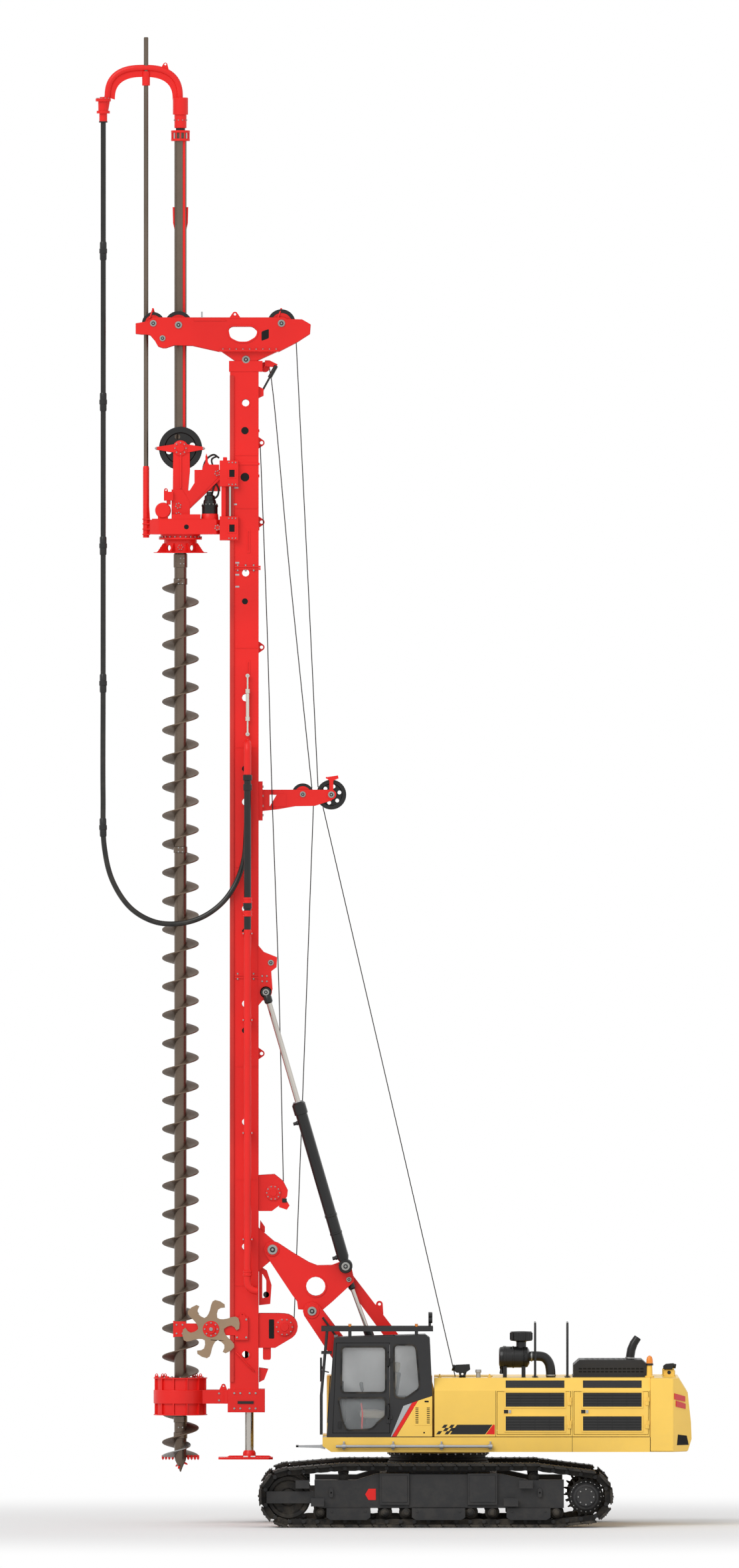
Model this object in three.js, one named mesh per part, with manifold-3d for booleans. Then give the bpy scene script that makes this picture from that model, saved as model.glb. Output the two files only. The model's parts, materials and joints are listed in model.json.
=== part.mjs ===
// A crawler-mounted rotary piling rig set up for long continuous flight augers.
// Millimetres, +Z up. The machine faces -X, its left side is -Y, and the ground is z = 0. The origin is on
// the ground under the middle of the whole machine. Pieces that touch keep a gap of GAP; pieces that swing
// or slide past each other keep CLEAR; a pin runs in its bore with RUN.

import * as THREE from "three";
import { mergeVertices } from "three/addons/utils/BufferGeometryUtils.js";
import Module from "manifold-3d";

const wasm = await Module();
wasm.setup();

// ---------------------------------------------------------------- driving dimensions

const GAP = 0.3;
const RUN = 0.9;
const CLEAR = 6;

const SLEW = { x: 678, ringR: 740, boreR: 560, raceR: 777, bottom: 960, split: 1085 };
const DECK = { bottom: 1120, top: 1340, nose: -1060, back: 3860, halfWidth: 1480, wall: 40 };
DECK.slotHalf = 450;
DECK.slotEnd = -330;
const BODY = { front: 620, top: 2230, shoulder: 2040, bevel: 180, wall: 40, channelEnd: 1500 };

const TRACK = { y: 1775, shoe: 800, thick: 130, shoes: 52, notch: 24 };
const IDLER = { x: -1570, z: 450, r: 320 };
const SPROCKET = { x: 2890, z: 460, r: 280 };
const ROLLERS = { first: -1090, last: 2450, count: 12, z: 225, r: 95 };
const CARRIERS = { front: -750, back: 2110, z: 750, r: 90 };
const FRAME = { front: -1180, back: 2560, bottom: 290, top: 710, half: 220 };
const CARBODY = { front: -100, back: 1456, half: 900, bottom: 400, top: 900, wall: 40 };
const CROSS_BEAMS = { x: [20, 1340], width: 440, bottom: 350, top: 800 };

const MAST = { front: -2455, depth: 430, width: 560, wall: 18, bottom: 1690, top: 17370 };
MAST.block = 350;
MAST.cap = 150;
const MAST_HALF = MAST.width / 2;
const MAST_BACK = MAST.front + MAST.depth;
const MAST_X = MAST.front + MAST.depth / 2;
const RAIL = { depth: 60, proud: 30, from: MAST.bottom + 460, to: MAST.top - 70 };
const JACK = { x: -2165, r: 67, bottom: 980, thick: 55, hub: 95, top: 3050 };
const JACK_FOOT = { x: JACK.x - 55, halfX: 410, halfY: 300 };

// The head hangs from the top of the mast, and the drill string hangs in the head.
const HEAD = { z: MAST.top - 2355, halfHeight: 115, halfWidth: 350, front: -3660 };
HEAD.carriageFront = -2610;
HEAD.hookBack = -2330;
const AUGER = { x: -3202, pipeR: 92.5, flightR: 277.5, boreR: 62, pitch: 429, steps: 8, plate: 26 };
AUGER.top = HEAD.z - 605;
AUGER.tip = 790;
AUGER.firstFlight = AUGER.tip + 230;
AUGER.lastFlight = AUGER.top - 160;
const TUBE = { length: 6585, collarR: 143, collar: 160 };
TUBE.top = AUGER.top + TUBE.length;
const PULLEY = { x: -3200, z: HEAD.z + 1190, r: 325, thick: 60, y: 140, axleR: 40 };
const GOOSE = { left: -4365, pipeR: 48, legZ: TUBE.top + 495, top: TUBE.top + 990 };
GOOSE.wristZ = TUBE.top + 305;
const POLE = { x: -3720, r: 35, top: GOOSE.top + 415, socketR: 47 };
POLE.socketBottom = HEAD.z - 155;
POLE.socketTop = HEAD.z + 925;
const LINE = { x: -2190, y: -MAST_HALF - 290, r: 55, top: 11330, bottom: 3700 };
const HOSE = { r: 40, bendX: LINE.x, bendY: -MAST_HALF - 90, bendZ: LINE.top };

// Hinge points of the linkage that carries the mast, in the middle plane.
const BOOM_FOOT = [-80, 1705];
const LINK_FOOT = [475, 2180];
const LUFF_FOOT = [137, 1500];
const BOOM_TIP = [-1220, 3215];
const LINK_TIP = [-665, 3690];
const MAST_PIN = [-1815, 4140];
const CYLINDER_PIN = [-715, 3890];
const CYLINDER_EYE = [-1915, 8015];

// Layers of the linkage outwards from the middle plane, each beside the one before.
const CYLINDER = { y: MAST_HALF + 70, r: 87.5, rodR: 40, gland: 2570, pinR: 50 };
CYLINDER.eyeHalf = CYLINDER.r - 7.5;
const DELTA = { outer: CYLINDER.y - CYLINDER.r - 2 * CLEAR, plate: 44 };
DELTA.inner = DELTA.outer - DELTA.plate;
const LUG = { outer: DELTA.inner - CLEAR, plate: 60 };
LUG.inner = LUG.outer - LUG.plate;
const BOOM = { inner: DELTA.outer + CLEAR, plate: 75, pinR: 60 };
BOOM.outer = BOOM.inner + BOOM.plate;
const BOOM_LUG = { inner: BOOM.outer + CLEAR, plate: 45 };
const LUFF = { r: 55, rodR: 32, gland: 1560, pinR: 34 };
LUFF.y = DELTA.inner - CLEAR - LUFF.r;
const LINK = { half: LUFF.y - LUFF.r - CLEAR, pinR: 45 };

const MAST_HEAD = { base: MAST.top + MAST.cap + 140, half: 335, plate: 20, throat: 160 };
MAST_HEAD.top = MAST_HEAD.base + 515;
const WINCH = { half: Math.min(MAST_HALF - 35, BOOM.inner - 2 * CLEAR) };
const GUIDE = { boreR: 305, outerR: 405, bottom: 1645, top: 2210, armBottom: 1820, armTop: 2025 };
const CLEANER = { x: -2740, z: 2945, r: 445, hubR: 110, pinR: 30, arm: 32, wheel: 22 };
CLEANER.armInner = MAST_HALF + 10;
const REAR_ARM = { top: 11190, bottom: 10600, inner: 62, plate: 20 };
const REAR_SHEAVE = { x: -930, z: 10990, r: 225, axleR: 40, half: 52 };

const CAB = { outer: DECK.halfWidth, inner: 520, wall: 50, bottom: DECK.top + GAP };
const CAB_ROOF = [2840, 2880];
const DOOR = { front: -890, back: -50, bottom: 1400, top: 2760, thick: 45 };
const SERVICE_DOORS = { edges: [1535, 2690, 3855], bottom: 1380, top: 2030, post: 22, thick: 40 };
const HINGE = { r: 12, out: 15, length: 60 };

// ---------------------------------------------------------------- materials

const finish = (color, roughness, metalness) =>
  new THREE.MeshStandardMaterial({ color, roughness, metalness, flatShading: true });

const RED = finish(0xe43430, 0.42, 0.1);
const YELLOW = finish(0xf6ce5c, 0.45, 0.1);
const DARK = finish(0x3a3a3a, 0.6, 0.2);
const BLACK = finish(0x1c1c1c, 0.5, 0.1);
const STEEL = finish(0x6e6259, 0.5, 0.7);
const CHROME = finish(0xc9cac8, 0.18, 0.95);
const TAN = finish(0xa68f76, 0.55, 0.4);
const GLASS = finish(0xb9c0c2, 0.08, 0);
const CLOTH = finish(0xb5a88c, 0.85, 0);
const HOSE_RUBBER = finish(0x151515, 0.7, 0);

// ---------------------------------------------------------------- making solids

// A closed geometry as a solid for joining and cutting.
function solidOf(geometry) {
  const bare = geometry.index ? geometry.clone() : geometry;
  bare.deleteAttribute("normal");
  bare.deleteAttribute("uv");
  const merged = mergeVertices(bare, 1e-4);
  const index = merged.index.array;
  const triVerts = [];
  for (let i = 0; i < index.length; i += 3) {
    const [a, b, c] = index.slice(i, i + 3);
    if (a !== b && b !== c && c !== a) triVerts.push(a, b, c);
  }
  const mesh = new wasm.Mesh({
    numProp: 3,
    vertProperties: new Float32Array(merged.attributes.position.array),
    triVerts: new Uint32Array(triVerts),
  });
  return new wasm.Manifold(mesh);
}

const join = (...solids) => solids.flat().reduce((a, b) => a.add(b));
const cut = (solid, ...tools) => tools.flat().reduce((a, b) => a.subtract(b), solid);

function geometryOf(solid) {
  const { vertProperties, triVerts } = solid.getMesh();
  return new THREE.BufferGeometry()
    .setAttribute("position", new THREE.BufferAttribute(vertProperties, 3))
    .setIndex(new THREE.BufferAttribute(triVerts, 1));
}

function piece(name, solid, material) {
  const mesh = new THREE.Mesh(geometryOf(solid), material);
  mesh.name = name;
  return mesh;
}

function group(...children) {
  const made = new THREE.Group();
  made.add(...children.flat());
  return made;
}

// The same left-hand piece on both sides of the machine: the right one is its mirror image.
function bothSides(name, solid, material) {
  const right = group(piece(name + "_right", solid, material));
  right.scale.y = -1;
  return [piece(name + "_left", solid, material), right];
}

// A block between two values along each axis; the y values come in either order.
function box([x0, x1], [y0, y1], [z0, z1]) {
  const g = new THREE.BoxGeometry(x1 - x0, Math.abs(y1 - y0), z1 - z0);
  return solidOf(g.translate((x0 + x1) / 2, (y0 + y1) / 2, (z0 + z1) / 2));
}

function extruded(points, holes, depth) {
  const flat = (list) => list.map(([a, b]) => new THREE.Vector2(a, b));
  const shape = new THREE.Shape(flat(points));
  for (const hole of holes) shape.holes.push(new THREE.Path(flat(hole)));
  return new THREE.ExtrudeGeometry(shape, { depth, bevelEnabled: false, steps: 1 });
}

// A side outline of [x, z] points, running from y0 to y1.
function plate(points, [y0, y1], holes = []) {
  const [low, high] = [Math.min(y0, y1), Math.max(y0, y1)];
  return solidOf(extruded(points, holes, high - low).rotateX(Math.PI / 2).translate(0, high, 0));
}

// A plan outline of [x, y] points, running from z0 to z1.
function slab(points, [z0, z1]) {
  return solidOf(extruded(points, [], z1 - z0).translate(0, 0, z0));
}

// A cross section of [y, z] points, running from x0 to x1.
function bar(points, [x0, x1]) {
  const g = extruded(points, [], x1 - x0).rotateX(Math.PI / 2).rotateZ(Math.PI / 2);
  return solidOf(g.translate(x0, 0, 0));
}

// Cylinders along the axes. The first pair is the centre line, the last the two ends.
function discY([x, z], r, [y0, y1], sides = 12) {
  const g = new THREE.CylinderGeometry(r, r, Math.abs(y1 - y0), sides);
  return solidOf(g.translate(x, (y0 + y1) / 2, z));
}

function discZ([x, y], r, [z0, z1], sides = 12, topR = r) {
  const g = new THREE.CylinderGeometry(topR, r, z1 - z0, sides).rotateX(Math.PI / 2);
  return solidOf(g.translate(x, y, (z0 + z1) / 2));
}

function discX([y, z], r, [x0, x1], sides = 12) {
  const g = new THREE.CylinderGeometry(r, r, x1 - x0, sides).rotateZ(Math.PI / 2);
  return solidOf(g.translate((x0 + x1) / 2, y, z));
}

// A round rod between two points of the middle plane, moved sideways to y.
function rod([xa, za], [xb, zb], y, r, sides = 12) {
  const length = Math.hypot(xb - xa, zb - za);
  const g = new THREE.CylinderGeometry(r, r, length, sides).rotateX(Math.PI / 2);
  return solidOf(g.rotateY(Math.atan2(xb - xa, zb - za)).translate((xa + xb) / 2, y, (za + zb) / 2));
}

// A round tube through 3-D points, as a closed solid.
function tube(points, r, steps, sides = 10) {
  const ring = Array.from({ length: sides }, (_, i) => {
    const a = (i / sides) * 2 * Math.PI;
    return new THREE.Vector2(r * Math.cos(a), r * Math.sin(a));
  });
  const stops = points.map((p) => new THREE.Vector3(...p));
  const extrudePath = new THREE.CatmullRomCurve3(stops, false, "centripetal");
  const options = { steps, extrudePath, bevelEnabled: false };
  return solidOf(new THREE.ExtrudeGeometry(new THREE.Shape(ring), options));
}

// The points of a circle, and of the tight outline round several circles.
function circle([x, z], r, sides = 16) {
  return Array.from({ length: sides }, (_, i) => {
    const a = (i / sides) * 2 * Math.PI;
    return [x + r * Math.cos(a), z + r * Math.sin(a)];
  });
}

function hull(points) {
  const sorted = [...points].sort((a, b) => a[0] - b[0] || a[1] - b[1]);
  const turn = (o, a, b) => (a[0] - o[0]) * (b[1] - o[1]) - (a[1] - o[1]) * (b[0] - o[0]);
  const chain = (list) => {
    const kept = [];
    for (const p of list) {
      while (kept.length > 1 && turn(kept.at(-2), kept.at(-1), p) <= 1e-9) kept.pop();
      kept.push(p);
    }
    kept.pop();
    return kept;
  };
  return [...chain(sorted), ...chain(sorted.reverse())];
}

const around = (...circles) => hull(circles.flatMap(([x, z, r]) => circle([x, z], r, 16)));

// ---------------------------------------------------------------- undercarriage

// The line that the track runs on, grown outwards by the given distance.
function trackLine(grow) {
  const rounds = [
    [IDLER.x, IDLER.z, IDLER.r],
    [SPROCKET.x, SPROCKET.z, SPROCKET.r],
    [ROLLERS.first, ROLLERS.z, ROLLERS.r],
    [ROLLERS.last, ROLLERS.z, ROLLERS.r],
    [CARRIERS.front, CARRIERS.z, CARRIERS.r],
    [CARRIERS.back, CARRIERS.z, CARRIERS.r],
  ];
  return around(...rounds.map(([x, z, r]) => [x, z, r + grow]));
}

// The outer outline again, with a notch between each shoe and the next.
function shoeOutline() {
  const line = trackLine(TRACK.thick);
  const ends = line.map((p, i) => [p, line[(i + 1) % line.length]]);
  const lengths = ends.map(([a, b]) => Math.hypot(b[0] - a[0], b[1] - a[1]));
  const total = lengths.reduce((a, b) => a + b);
  const at = (s, inward) => {
    let i = 0;
    while (i < ends.length - 1 && s > lengths[i]) s -= lengths[i++];
    const [[ax, az], [bx, bz]] = ends[i];
    const [ux, uz] = [(bx - ax) / lengths[i], (bz - az) / lengths[i]];
    return [ax + ux * s - uz * inward, az + uz * s + ux * inward];
  };
  const pitch = total / TRACK.shoes;
  return Array.from({ length: TRACK.shoes }, (_, i) => [
    at(i * pitch, 0),
    at((i + 0.86) * pitch, 0),
    at((i + 0.93) * pitch, TRACK.notch),
  ]).flat();
}

function track() {
  const half = TRACK.shoe / 2;
  return plate(shoeOutline(), [-TRACK.y - half, -TRACK.y + half], [trackLine(0)]);
}

// The side frame of one track with its rollers, its idler in the front yoke, and its drive wheel.
function trackFrame() {
  const y = -TRACK.y;
  const across = (half) => [y - half, y + half];
  const beam = box([FRAME.front, FRAME.back], across(FRAME.half), [FRAME.bottom, FRAME.top]);
  const yoke = [-1, 1].map((side) =>
    box([IDLER.x - 110, FRAME.front + 20], [y + side * 200, y + side * 160], [IDLER.z - 80, IDLER.z + 80]),
  );
  const step = (ROLLERS.last - ROLLERS.first) / (ROLLERS.count - 1);
  const rollers = Array.from({ length: ROLLERS.count }, (_, i) =>
    discY([ROLLERS.first + i * step, ROLLERS.z], ROLLERS.r - GAP, across(260), 8),
  );
  const carriers = [CARRIERS.front, CARRIERS.back].map((x) =>
    join(
      discY([x, CARRIERS.z], CARRIERS.r - CLEAR, across(120), 10),
      box([x - 60, x + 60], across(60), [FRAME.top - 10, CARRIERS.z]),
    ),
  );
  const saddles = crossBeams([y - FRAME.half - 30, y + FRAME.half]);
  const seat = join(
    discY([SPROCKET.x, SPROCKET.z], 190, [y + 70, y + FRAME.half], 16),
    box([FRAME.back - 20, SPROCKET.x], [y + 70, y + FRAME.half], [SPROCKET.z - 150, SPROCKET.z + 150]),
  );
  return join(beam, yoke, rollers, carriers, saddles, seat, idler(), driveWheel());
}

function idler() {
  const y = -TRACK.y;
  const rim = discY([IDLER.x, IDLER.z], IDLER.r - 8, [y - 110, y + 110], 20);
  const hub = discY([IDLER.x, IDLER.z], 75, [y - 190, y + 190], 12);
  return join(rim, hub);
}

// The drive wheel with the round case of its gear drive on the outer side.
function driveWheel() {
  const y = -TRACK.y;
  const wheel = discY([SPROCKET.x, SPROCKET.z], SPROCKET.r - 8, [y - 70, y + 75], 20);
  const drum = discY([SPROCKET.x, SPROCKET.z], 215, [y - 300, y - 60], 20);
  const cover = discY([SPROCKET.x, SPROCKET.z], 150, [y - 345, y - 290], 16);
  return join(wheel, drum, cover);
}

// The two beams that cross the machine, or the stretch of them between two y values.
function crossBeams(y) {
  const { x, width, bottom, top } = CROSS_BEAMS;
  return x.map((mid) => box([mid - width / 2, mid + width / 2], y, [bottom, top]));
}

function carbody() {
  const { front, back, half, bottom, top, wall } = CARBODY;
  const inner = TRACK.y - FRAME.half - GAP;
  const middle = box([front, back], [-half, half], [bottom, top]);
  const seat = discZ([SLEW.x, 0], SLEW.ringR + 20, [top - 10, SLEW.bottom - GAP], 24);
  const hollow = box([front + wall, back - wall], [-half + wall, half - wall], [bottom - 60, top - wall]);
  return cut(join(middle, crossBeams([-inner, inner]), seat), hollow);
}

function slewRing() {
  const ring = discZ([SLEW.x, 0], SLEW.ringR, [SLEW.bottom, SLEW.split - GAP], 24);
  return cut(ring, discZ([SLEW.x, 0], SLEW.boreR, [SLEW.bottom - 10, SLEW.split + 10], 20));
}

// ---------------------------------------------------------------- upper carriage

function upperFrame() {
  const h = DECK.halfWidth;
  const deck = plate(
    [
      [DECK.nose, DECK.top],
      [DECK.nose, DECK.bottom + 90],
      [DECK.nose + 130, DECK.bottom],
      [DECK.back, DECK.bottom],
      [DECK.back, DECK.top],
    ],
    [-h, h],
  );
  const lane = DECK.slotHalf;
  const slot = box([DECK.nose - 10, DECK.slotEnd], [-lane, lane], [DECK.bottom - 10, DECK.top + 10]);
  const race = discZ([SLEW.x, 0], SLEW.raceR, [SLEW.split, DECK.bottom + 20], 24);
  const well = discZ([SLEW.x, 0], SLEW.boreR, [SLEW.split - 10, DECK.bottom + 60], 16);
  const w = DECK.wall;
  const pockets = [
    [DECK.nose + 170, DECK.back - w, SLEW.raceR + w, h - w],
    [DECK.nose + 170, DECK.back - w, -h + w, -SLEW.raceR - w],
    [SLEW.x + SLEW.raceR + w, DECK.back - w, -SLEW.raceR, SLEW.raceR],
  ].map(([x0, x1, y0, y1]) => box([x0, x1], [y0, y1], [DECK.bottom - 10, DECK.top - w]));
  return join(cut(join(cut(deck, slot, pockets), race), well), boomFeet());
}

// Plates on the deck that hold the feet of the boom, the link and the luffing cylinders, with their pins.
function boomFeet() {
  const base = DECK.top - 10;
  const sides = [-1, 1];
  const ears = sides.flatMap((side) => {
    const [bi, bo] = [BOOM_LUG.inner, BOOM_LUG.inner + BOOM_LUG.plate];
    const boomEar = plate(
      hull([...circle(BOOM_FOOT, 130, 12), [BOOM_FOOT[0] - 230, base], [BOOM_FOOT[0] + 330, base]]),
      [side * bi, side * bo],
    );
    const boomPin = discY(BOOM_FOOT, BOOM.pinR, [side * (BOOM.inner - 20), side * bo], 24);
    const linkInner = LINK.half + CLEAR;
    const linkEar = plate(
      hull([...circle(LINK_FOOT, 105, 12), [LINK_FOOT[0] - 170, base], [LINK_FOOT[0] + 330, base]]),
      [side * linkInner, side * (linkInner + 40)],
    );
    const linkPin = discY(LINK_FOOT, LINK.pinR, [side * 1, side * (linkInner + 40)], 20);
    const luffInner = LUFF.y + LUFF.r + CLEAR;
    const luffEar = plate(
      hull([...circle(LUFF_FOOT, 75, 12), [LUFF_FOOT[0] - 110, base], [LUFF_FOOT[0] + 110, base]]),
      [side * luffInner, side * (luffInner + 38)],
    );
    const luffPin = discY(LUFF_FOOT, LUFF.pinR, [side * (LUFF.y - 10), side * (luffInner + 38)], 16);
    return [boomEar, boomPin, linkEar, linkPin, luffEar, luffPin];
  });
  const linkBolt = discY(LINK_FOOT, LINK.pinR, [-10, 10], 20);
  return join(ears, linkBolt);
}

// The cross section of the engine housing at a given distance inside its skin.
function housingSection(inset, floor) {
  const h = DECK.halfWidth - inset;
  const top = BODY.top - inset;
  const shoulder = BODY.shoulder - inset * 0.4;
  const flat = DECK.halfWidth - BODY.bevel - inset * 0.6;
  return [
    [-h, floor],
    [h, floor],
    [h, shoulder],
    [flat, top],
    [-flat, top],
    [-h, shoulder],
  ];
}

function engineHousing() {
  const floor = DECK.top + GAP;
  const w = BODY.wall;
  const back = DECK.back - GAP;
  const shell = bar(housingSection(0, floor), [BODY.front, back]);
  const lane = DECK.slotHalf;
  const channel = box([BODY.front - 10, BODY.channelEnd], [-lane, lane], [floor - 10, BODY.top + 10]);
  const room = cut(
    bar(housingSection(w, floor - 20), [BODY.front + w, back - w]),
    box([BODY.front, BODY.channelEnd + w], [-lane - w, lane + w], [floor - 30, BODY.top + 10]),
  );
  const { edges, post, bottom, top } = SERVICE_DOORS;
  const doorways = [0, 1].flatMap((i) =>
    [-1, 1].map((side) =>
      box(
        [edges[i] + post, edges[i + 1] - post],
        [side * (DECK.halfWidth + 20), side * (DECK.halfWidth - w - 10)],
        [bottom, top],
      ),
    ),
  );
  const knuckles = [0, 1].flatMap((i) => [1, -1].flatMap((side) => hingeHalves(i, side, true)));
  return join(cut(shell, channel, room, doorways), knuckles);
}

// Hinge halves of service door i: those of the housing stand above those of the door, on one axis.
function hingeHalves(i, side, fixed) {
  const { edges, post, bottom, top } = SERVICE_DOORS;
  const x = edges[i + 1] - post - CLEAR / 2;
  const y = side * (DECK.halfWidth + HINGE.out);
  const face = side * DECK.halfWidth;
  return [bottom + 90, top - 90 - 2 * HINGE.length].map((z) => {
    const z0 = fixed ? z + HINGE.length + GAP : z;
    const knuckle = discZ([x, y], HINGE.r, [z0, z0 + HINGE.length], 8);
    const reach = fixed ? [x + 3, x + 20] : [x - 45, x - 3];
    const leaf = box(reach, [face - side * 2, y], [z0, z0 + HINGE.length]);
    return join(knuckle, leaf);
  });
}

function serviceDoor(i) {
  const { edges, post, bottom, top, thick } = SERVICE_DOORS;
  const panel = box(
    [edges[i] + post + CLEAR, edges[i + 1] - post - CLEAR],
    [-DECK.halfWidth, -DECK.halfWidth + thick],
    [bottom + CLEAR, top - CLEAR],
  );
  return join(panel, hingeHalves(i, -1, false));
}

const engineBlock = () => box([2250, 3500], [-520, 520], [DECK.top + GAP, 1960]);

function counterweight() {
  const h = DECK.halfWidth;
  const x = DECK.back;
  const body = plate(
    [
      [x, DECK.bottom],
      [x + 565, DECK.bottom],
      [x + 625, DECK.bottom + 190],
      [x + 615, DECK.bottom + 440],
      [x + 565, DECK.bottom + 890],
      [x + 430, BODY.top],
      [x, BODY.top],
    ],
    [-h, h],
  );
  const corners = [-1, 1].map((side) =>
    slab(
      [
        [x + 340, side * (h + 1)],
        [x + 640, side * (h - 430)],
        [x + 640, side * (h + 1)],
      ],
      [DECK.bottom - 10, BODY.top + 10],
    ),
  );
  const lugs = [-1, 1].map((side) =>
    box([x + 200, x + 380], [side * 700 - 40, side * 700 + 40], [BODY.top - 20, BODY.top + 120]),
  );
  return join(cut(body, corners), lugs);
}

function radiatorHood() {
  const z = BODY.top + GAP;
  const hood = plate(
    [
      [2710, z],
      [3830, z],
      [3830, z + 180],
      [3740, z + 260],
      [2800, z + 260],
      [2710, z + 180],
    ],
    [-760, 760],
  );
  const inside = box([2730, 3810], [-740, 740], [z - 10, z + 170]);
  const pipe = rod([3590, z + 200], [3610, z + 590], -420, 70, 14);
  return join(cut(hood, inside), pipe);
}

// The air cleaner: a level canister on two feet, its rain cap, and the pipe down into the housing.
function airCleaner() {
  const z = BODY.top + GAP;
  const y = -880;
  const canister = discX([y, z + 305], 165, [1590, 2050], 18);
  const feet = [1650, 1950].map((x) => box([x, x + 60], [y - 90, y + 90], [z, z + 200]));
  const neck = discZ([1925, y], 75, [z + 420, z + 540], 12);
  const cap = discZ([1925, y], 160, [z + 520, z + 675], 16);
  const intake = tube(
    [
      [2000, y, z + 305],
      [2200, y, z + 300],
      [2330, y, z + 250],
      [2370, y, z + 120],
      [2370, y, z],
    ],
    70,
    10,
    10,
  );
  return join(canister, feet, neck, cap, cut(intake, box([2200, 2600], [y - 200, y + 200], [z - 200, z])));
}

// The tank beside the boom, as tall as the housing: sheet walls, standing on the deck.
function frontTank() {
  const [x0, x1] = [DECK.nose + 60, BODY.front - 30];
  const [y0, y1] = [520, DECK.halfWidth];
  const floor = DECK.top + GAP;
  const wall = 20;
  const inside = box([x0 + wall, x1 - wall], [y0 + wall, y1 - wall], [floor - 10, BODY.top - wall]);
  return cut(box([x0, x1], [y0, y1], [floor, BODY.top]), inside);
}

// The hoist winch between the boom feet and the housing's rear wall.
function mainWinch() {
  const c = [1130, 1790];
  const half = DECK.slotHalf - 60;
  const cheeks = [-1, 1].map((side) =>
    plate(hull([...circle(c, 300, 20), [c[0] - 300, DECK.top + GAP], [c[0] + 300, DECK.top + GAP]]), [
      side * (half - 50),
      side * half,
    ]),
  );
  const sill = box([c[0] - 280, c[0] + 280], [-half, half], [DECK.top + GAP, DECK.top + 60]);
  return join(cheeks, sill, discY(c, 230, [-half, half], 20));
}

// ---------------------------------------------------------------- cab

const cabOutline = (inset) => {
  const i = inset;
  return [
    [-1000 + i * 1.05, CAB.bottom + i],
    [590 - i, CAB.bottom + i],
    [590 - i, 1980],
    [550 - i, 2830 - i * 0.3],
    [480 - i * 0.6, CAB_ROOF[1] - i],
    [-840 + i * 0.5, CAB_ROOF[0] - i],
    [-890 + i, 2810 - i * 0.5],
  ];
};

function cabShell() {
  const y = [-CAB.outer, -CAB.inner];
  const inner = [-CAB.outer + CAB.wall, -CAB.inner - CAB.wall];
  const through = [-CAB.outer - 20, -CAB.outer + CAB.wall + 20];
  const right = [-CAB.inner - CAB.wall - 20, -CAB.inner + 20];
  const doorway = plate(
    [
      [DOOR.front - 20, DOOR.bottom],
      [DOOR.back, DOOR.bottom],
      [DOOR.back, DOOR.top],
      [DOOR.front + 35, DOOR.top],
    ],
    through,
  );
  const rearQuarter = plate(
    [
      [20, 2720],
      [30, 1950],
      [180, 1930],
      [390, 2080],
      [340, 2660],
      [310, 2720],
    ],
    through,
  );
  const rightWindow = plate([[-800, 1950], [400, 1950], [370, 2720], [-760, 2720]], right);
  const windscreen = box([-1100, -780], [-CAB.outer + 70, -CAB.inner - 70], [1500, 2740]);
  const rearWindow = box([480, 700], [-CAB.outer + 130, -CAB.inner - 130], [2080, 2720]);
  const roofHatch = box([-620, 20], [-CAB.outer + 180, -CAB.inner - 180], [2700, 3000]);
  const shell = cut(plate(cabOutline(0), y), plate(cabOutline(CAB.wall), inner));
  return cut(shell, doorway, rearQuarter, rightWindow, windscreen, rearWindow, roofHatch);
}

function windscreen() {
  const lean = 110 / 1460;
  const x = (z) => -1000 + (z - CAB.bottom) * lean;
  const [low, high] = [1500 + CLEAR, 2740 - CLEAR];
  const y = [-CAB.outer + 70 + GAP, -CAB.inner - 70 - GAP];
  return plate(
    [
      [x(low) + 12, low],
      [x(low) + 24, low],
      [x(high) + 24, high],
      [x(high) + 12, high],
    ],
    y,
  );
}

const doorOutline = (inset) => [
  [DOOR.front - 20 + CLEAR + 1.1 * inset, DOOR.bottom + CLEAR + inset],
  [DOOR.back - CLEAR - inset, DOOR.bottom + CLEAR + inset],
  [DOOR.back - CLEAR - inset, DOOR.top - CLEAR - inset],
  [DOOR.front + 35 + CLEAR + 0.9 * inset, DOOR.top - CLEAR - inset],
];

const paneOutlines = [
  [
    [-765, 2690],
    [-770, 2020],
    [-120, 2020],
    [-120, 2690],
  ],
  [
    [-820, 1925],
    [-120, 1925],
    [-120, 1660],
    [-220, 1590],
    [-320, 1470],
    [-700, 1450],
    [-760, 1610],
  ],
];

function cabDoor() {
  const y = [-CAB.outer, -CAB.outer + DOOR.thick];
  const panes = paneOutlines.map((outline) => plate(outline, [y[0] - 20, y[1] + 20]));
  const leaf = cut(plate(doorOutline(0), y), panes);
  return join(leaf, cabHinges(false));
}

// The door's hinges stand out from the cab side, below those of the cab, on one axis.
function cabHinges(fixed) {
  const x = DOOR.back - CLEAR / 2;
  const y = -CAB.outer - HINGE.out;
  return [DOOR.bottom + 150, DOOR.top - 350].map((z) => {
    const z0 = fixed ? z + HINGE.length + GAP : z;
    const knuckle = discZ([x, y], HINGE.r, [z0, z0 + HINGE.length], 8);
    const leaf = box(fixed ? [x + 3, x + 45] : [x - 45, x - 3], [y, -CAB.outer + 2], [z0, z0 + HINGE.length]);
    return join(knuckle, leaf);
  });
}

// One sheet behind the door leaf that closes both of its openings.
function doorGlass() {
  const inside = -CAB.outer + DOOR.thick + GAP;
  return plate(doorOutline(30), [inside, inside + 6]);
}

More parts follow.
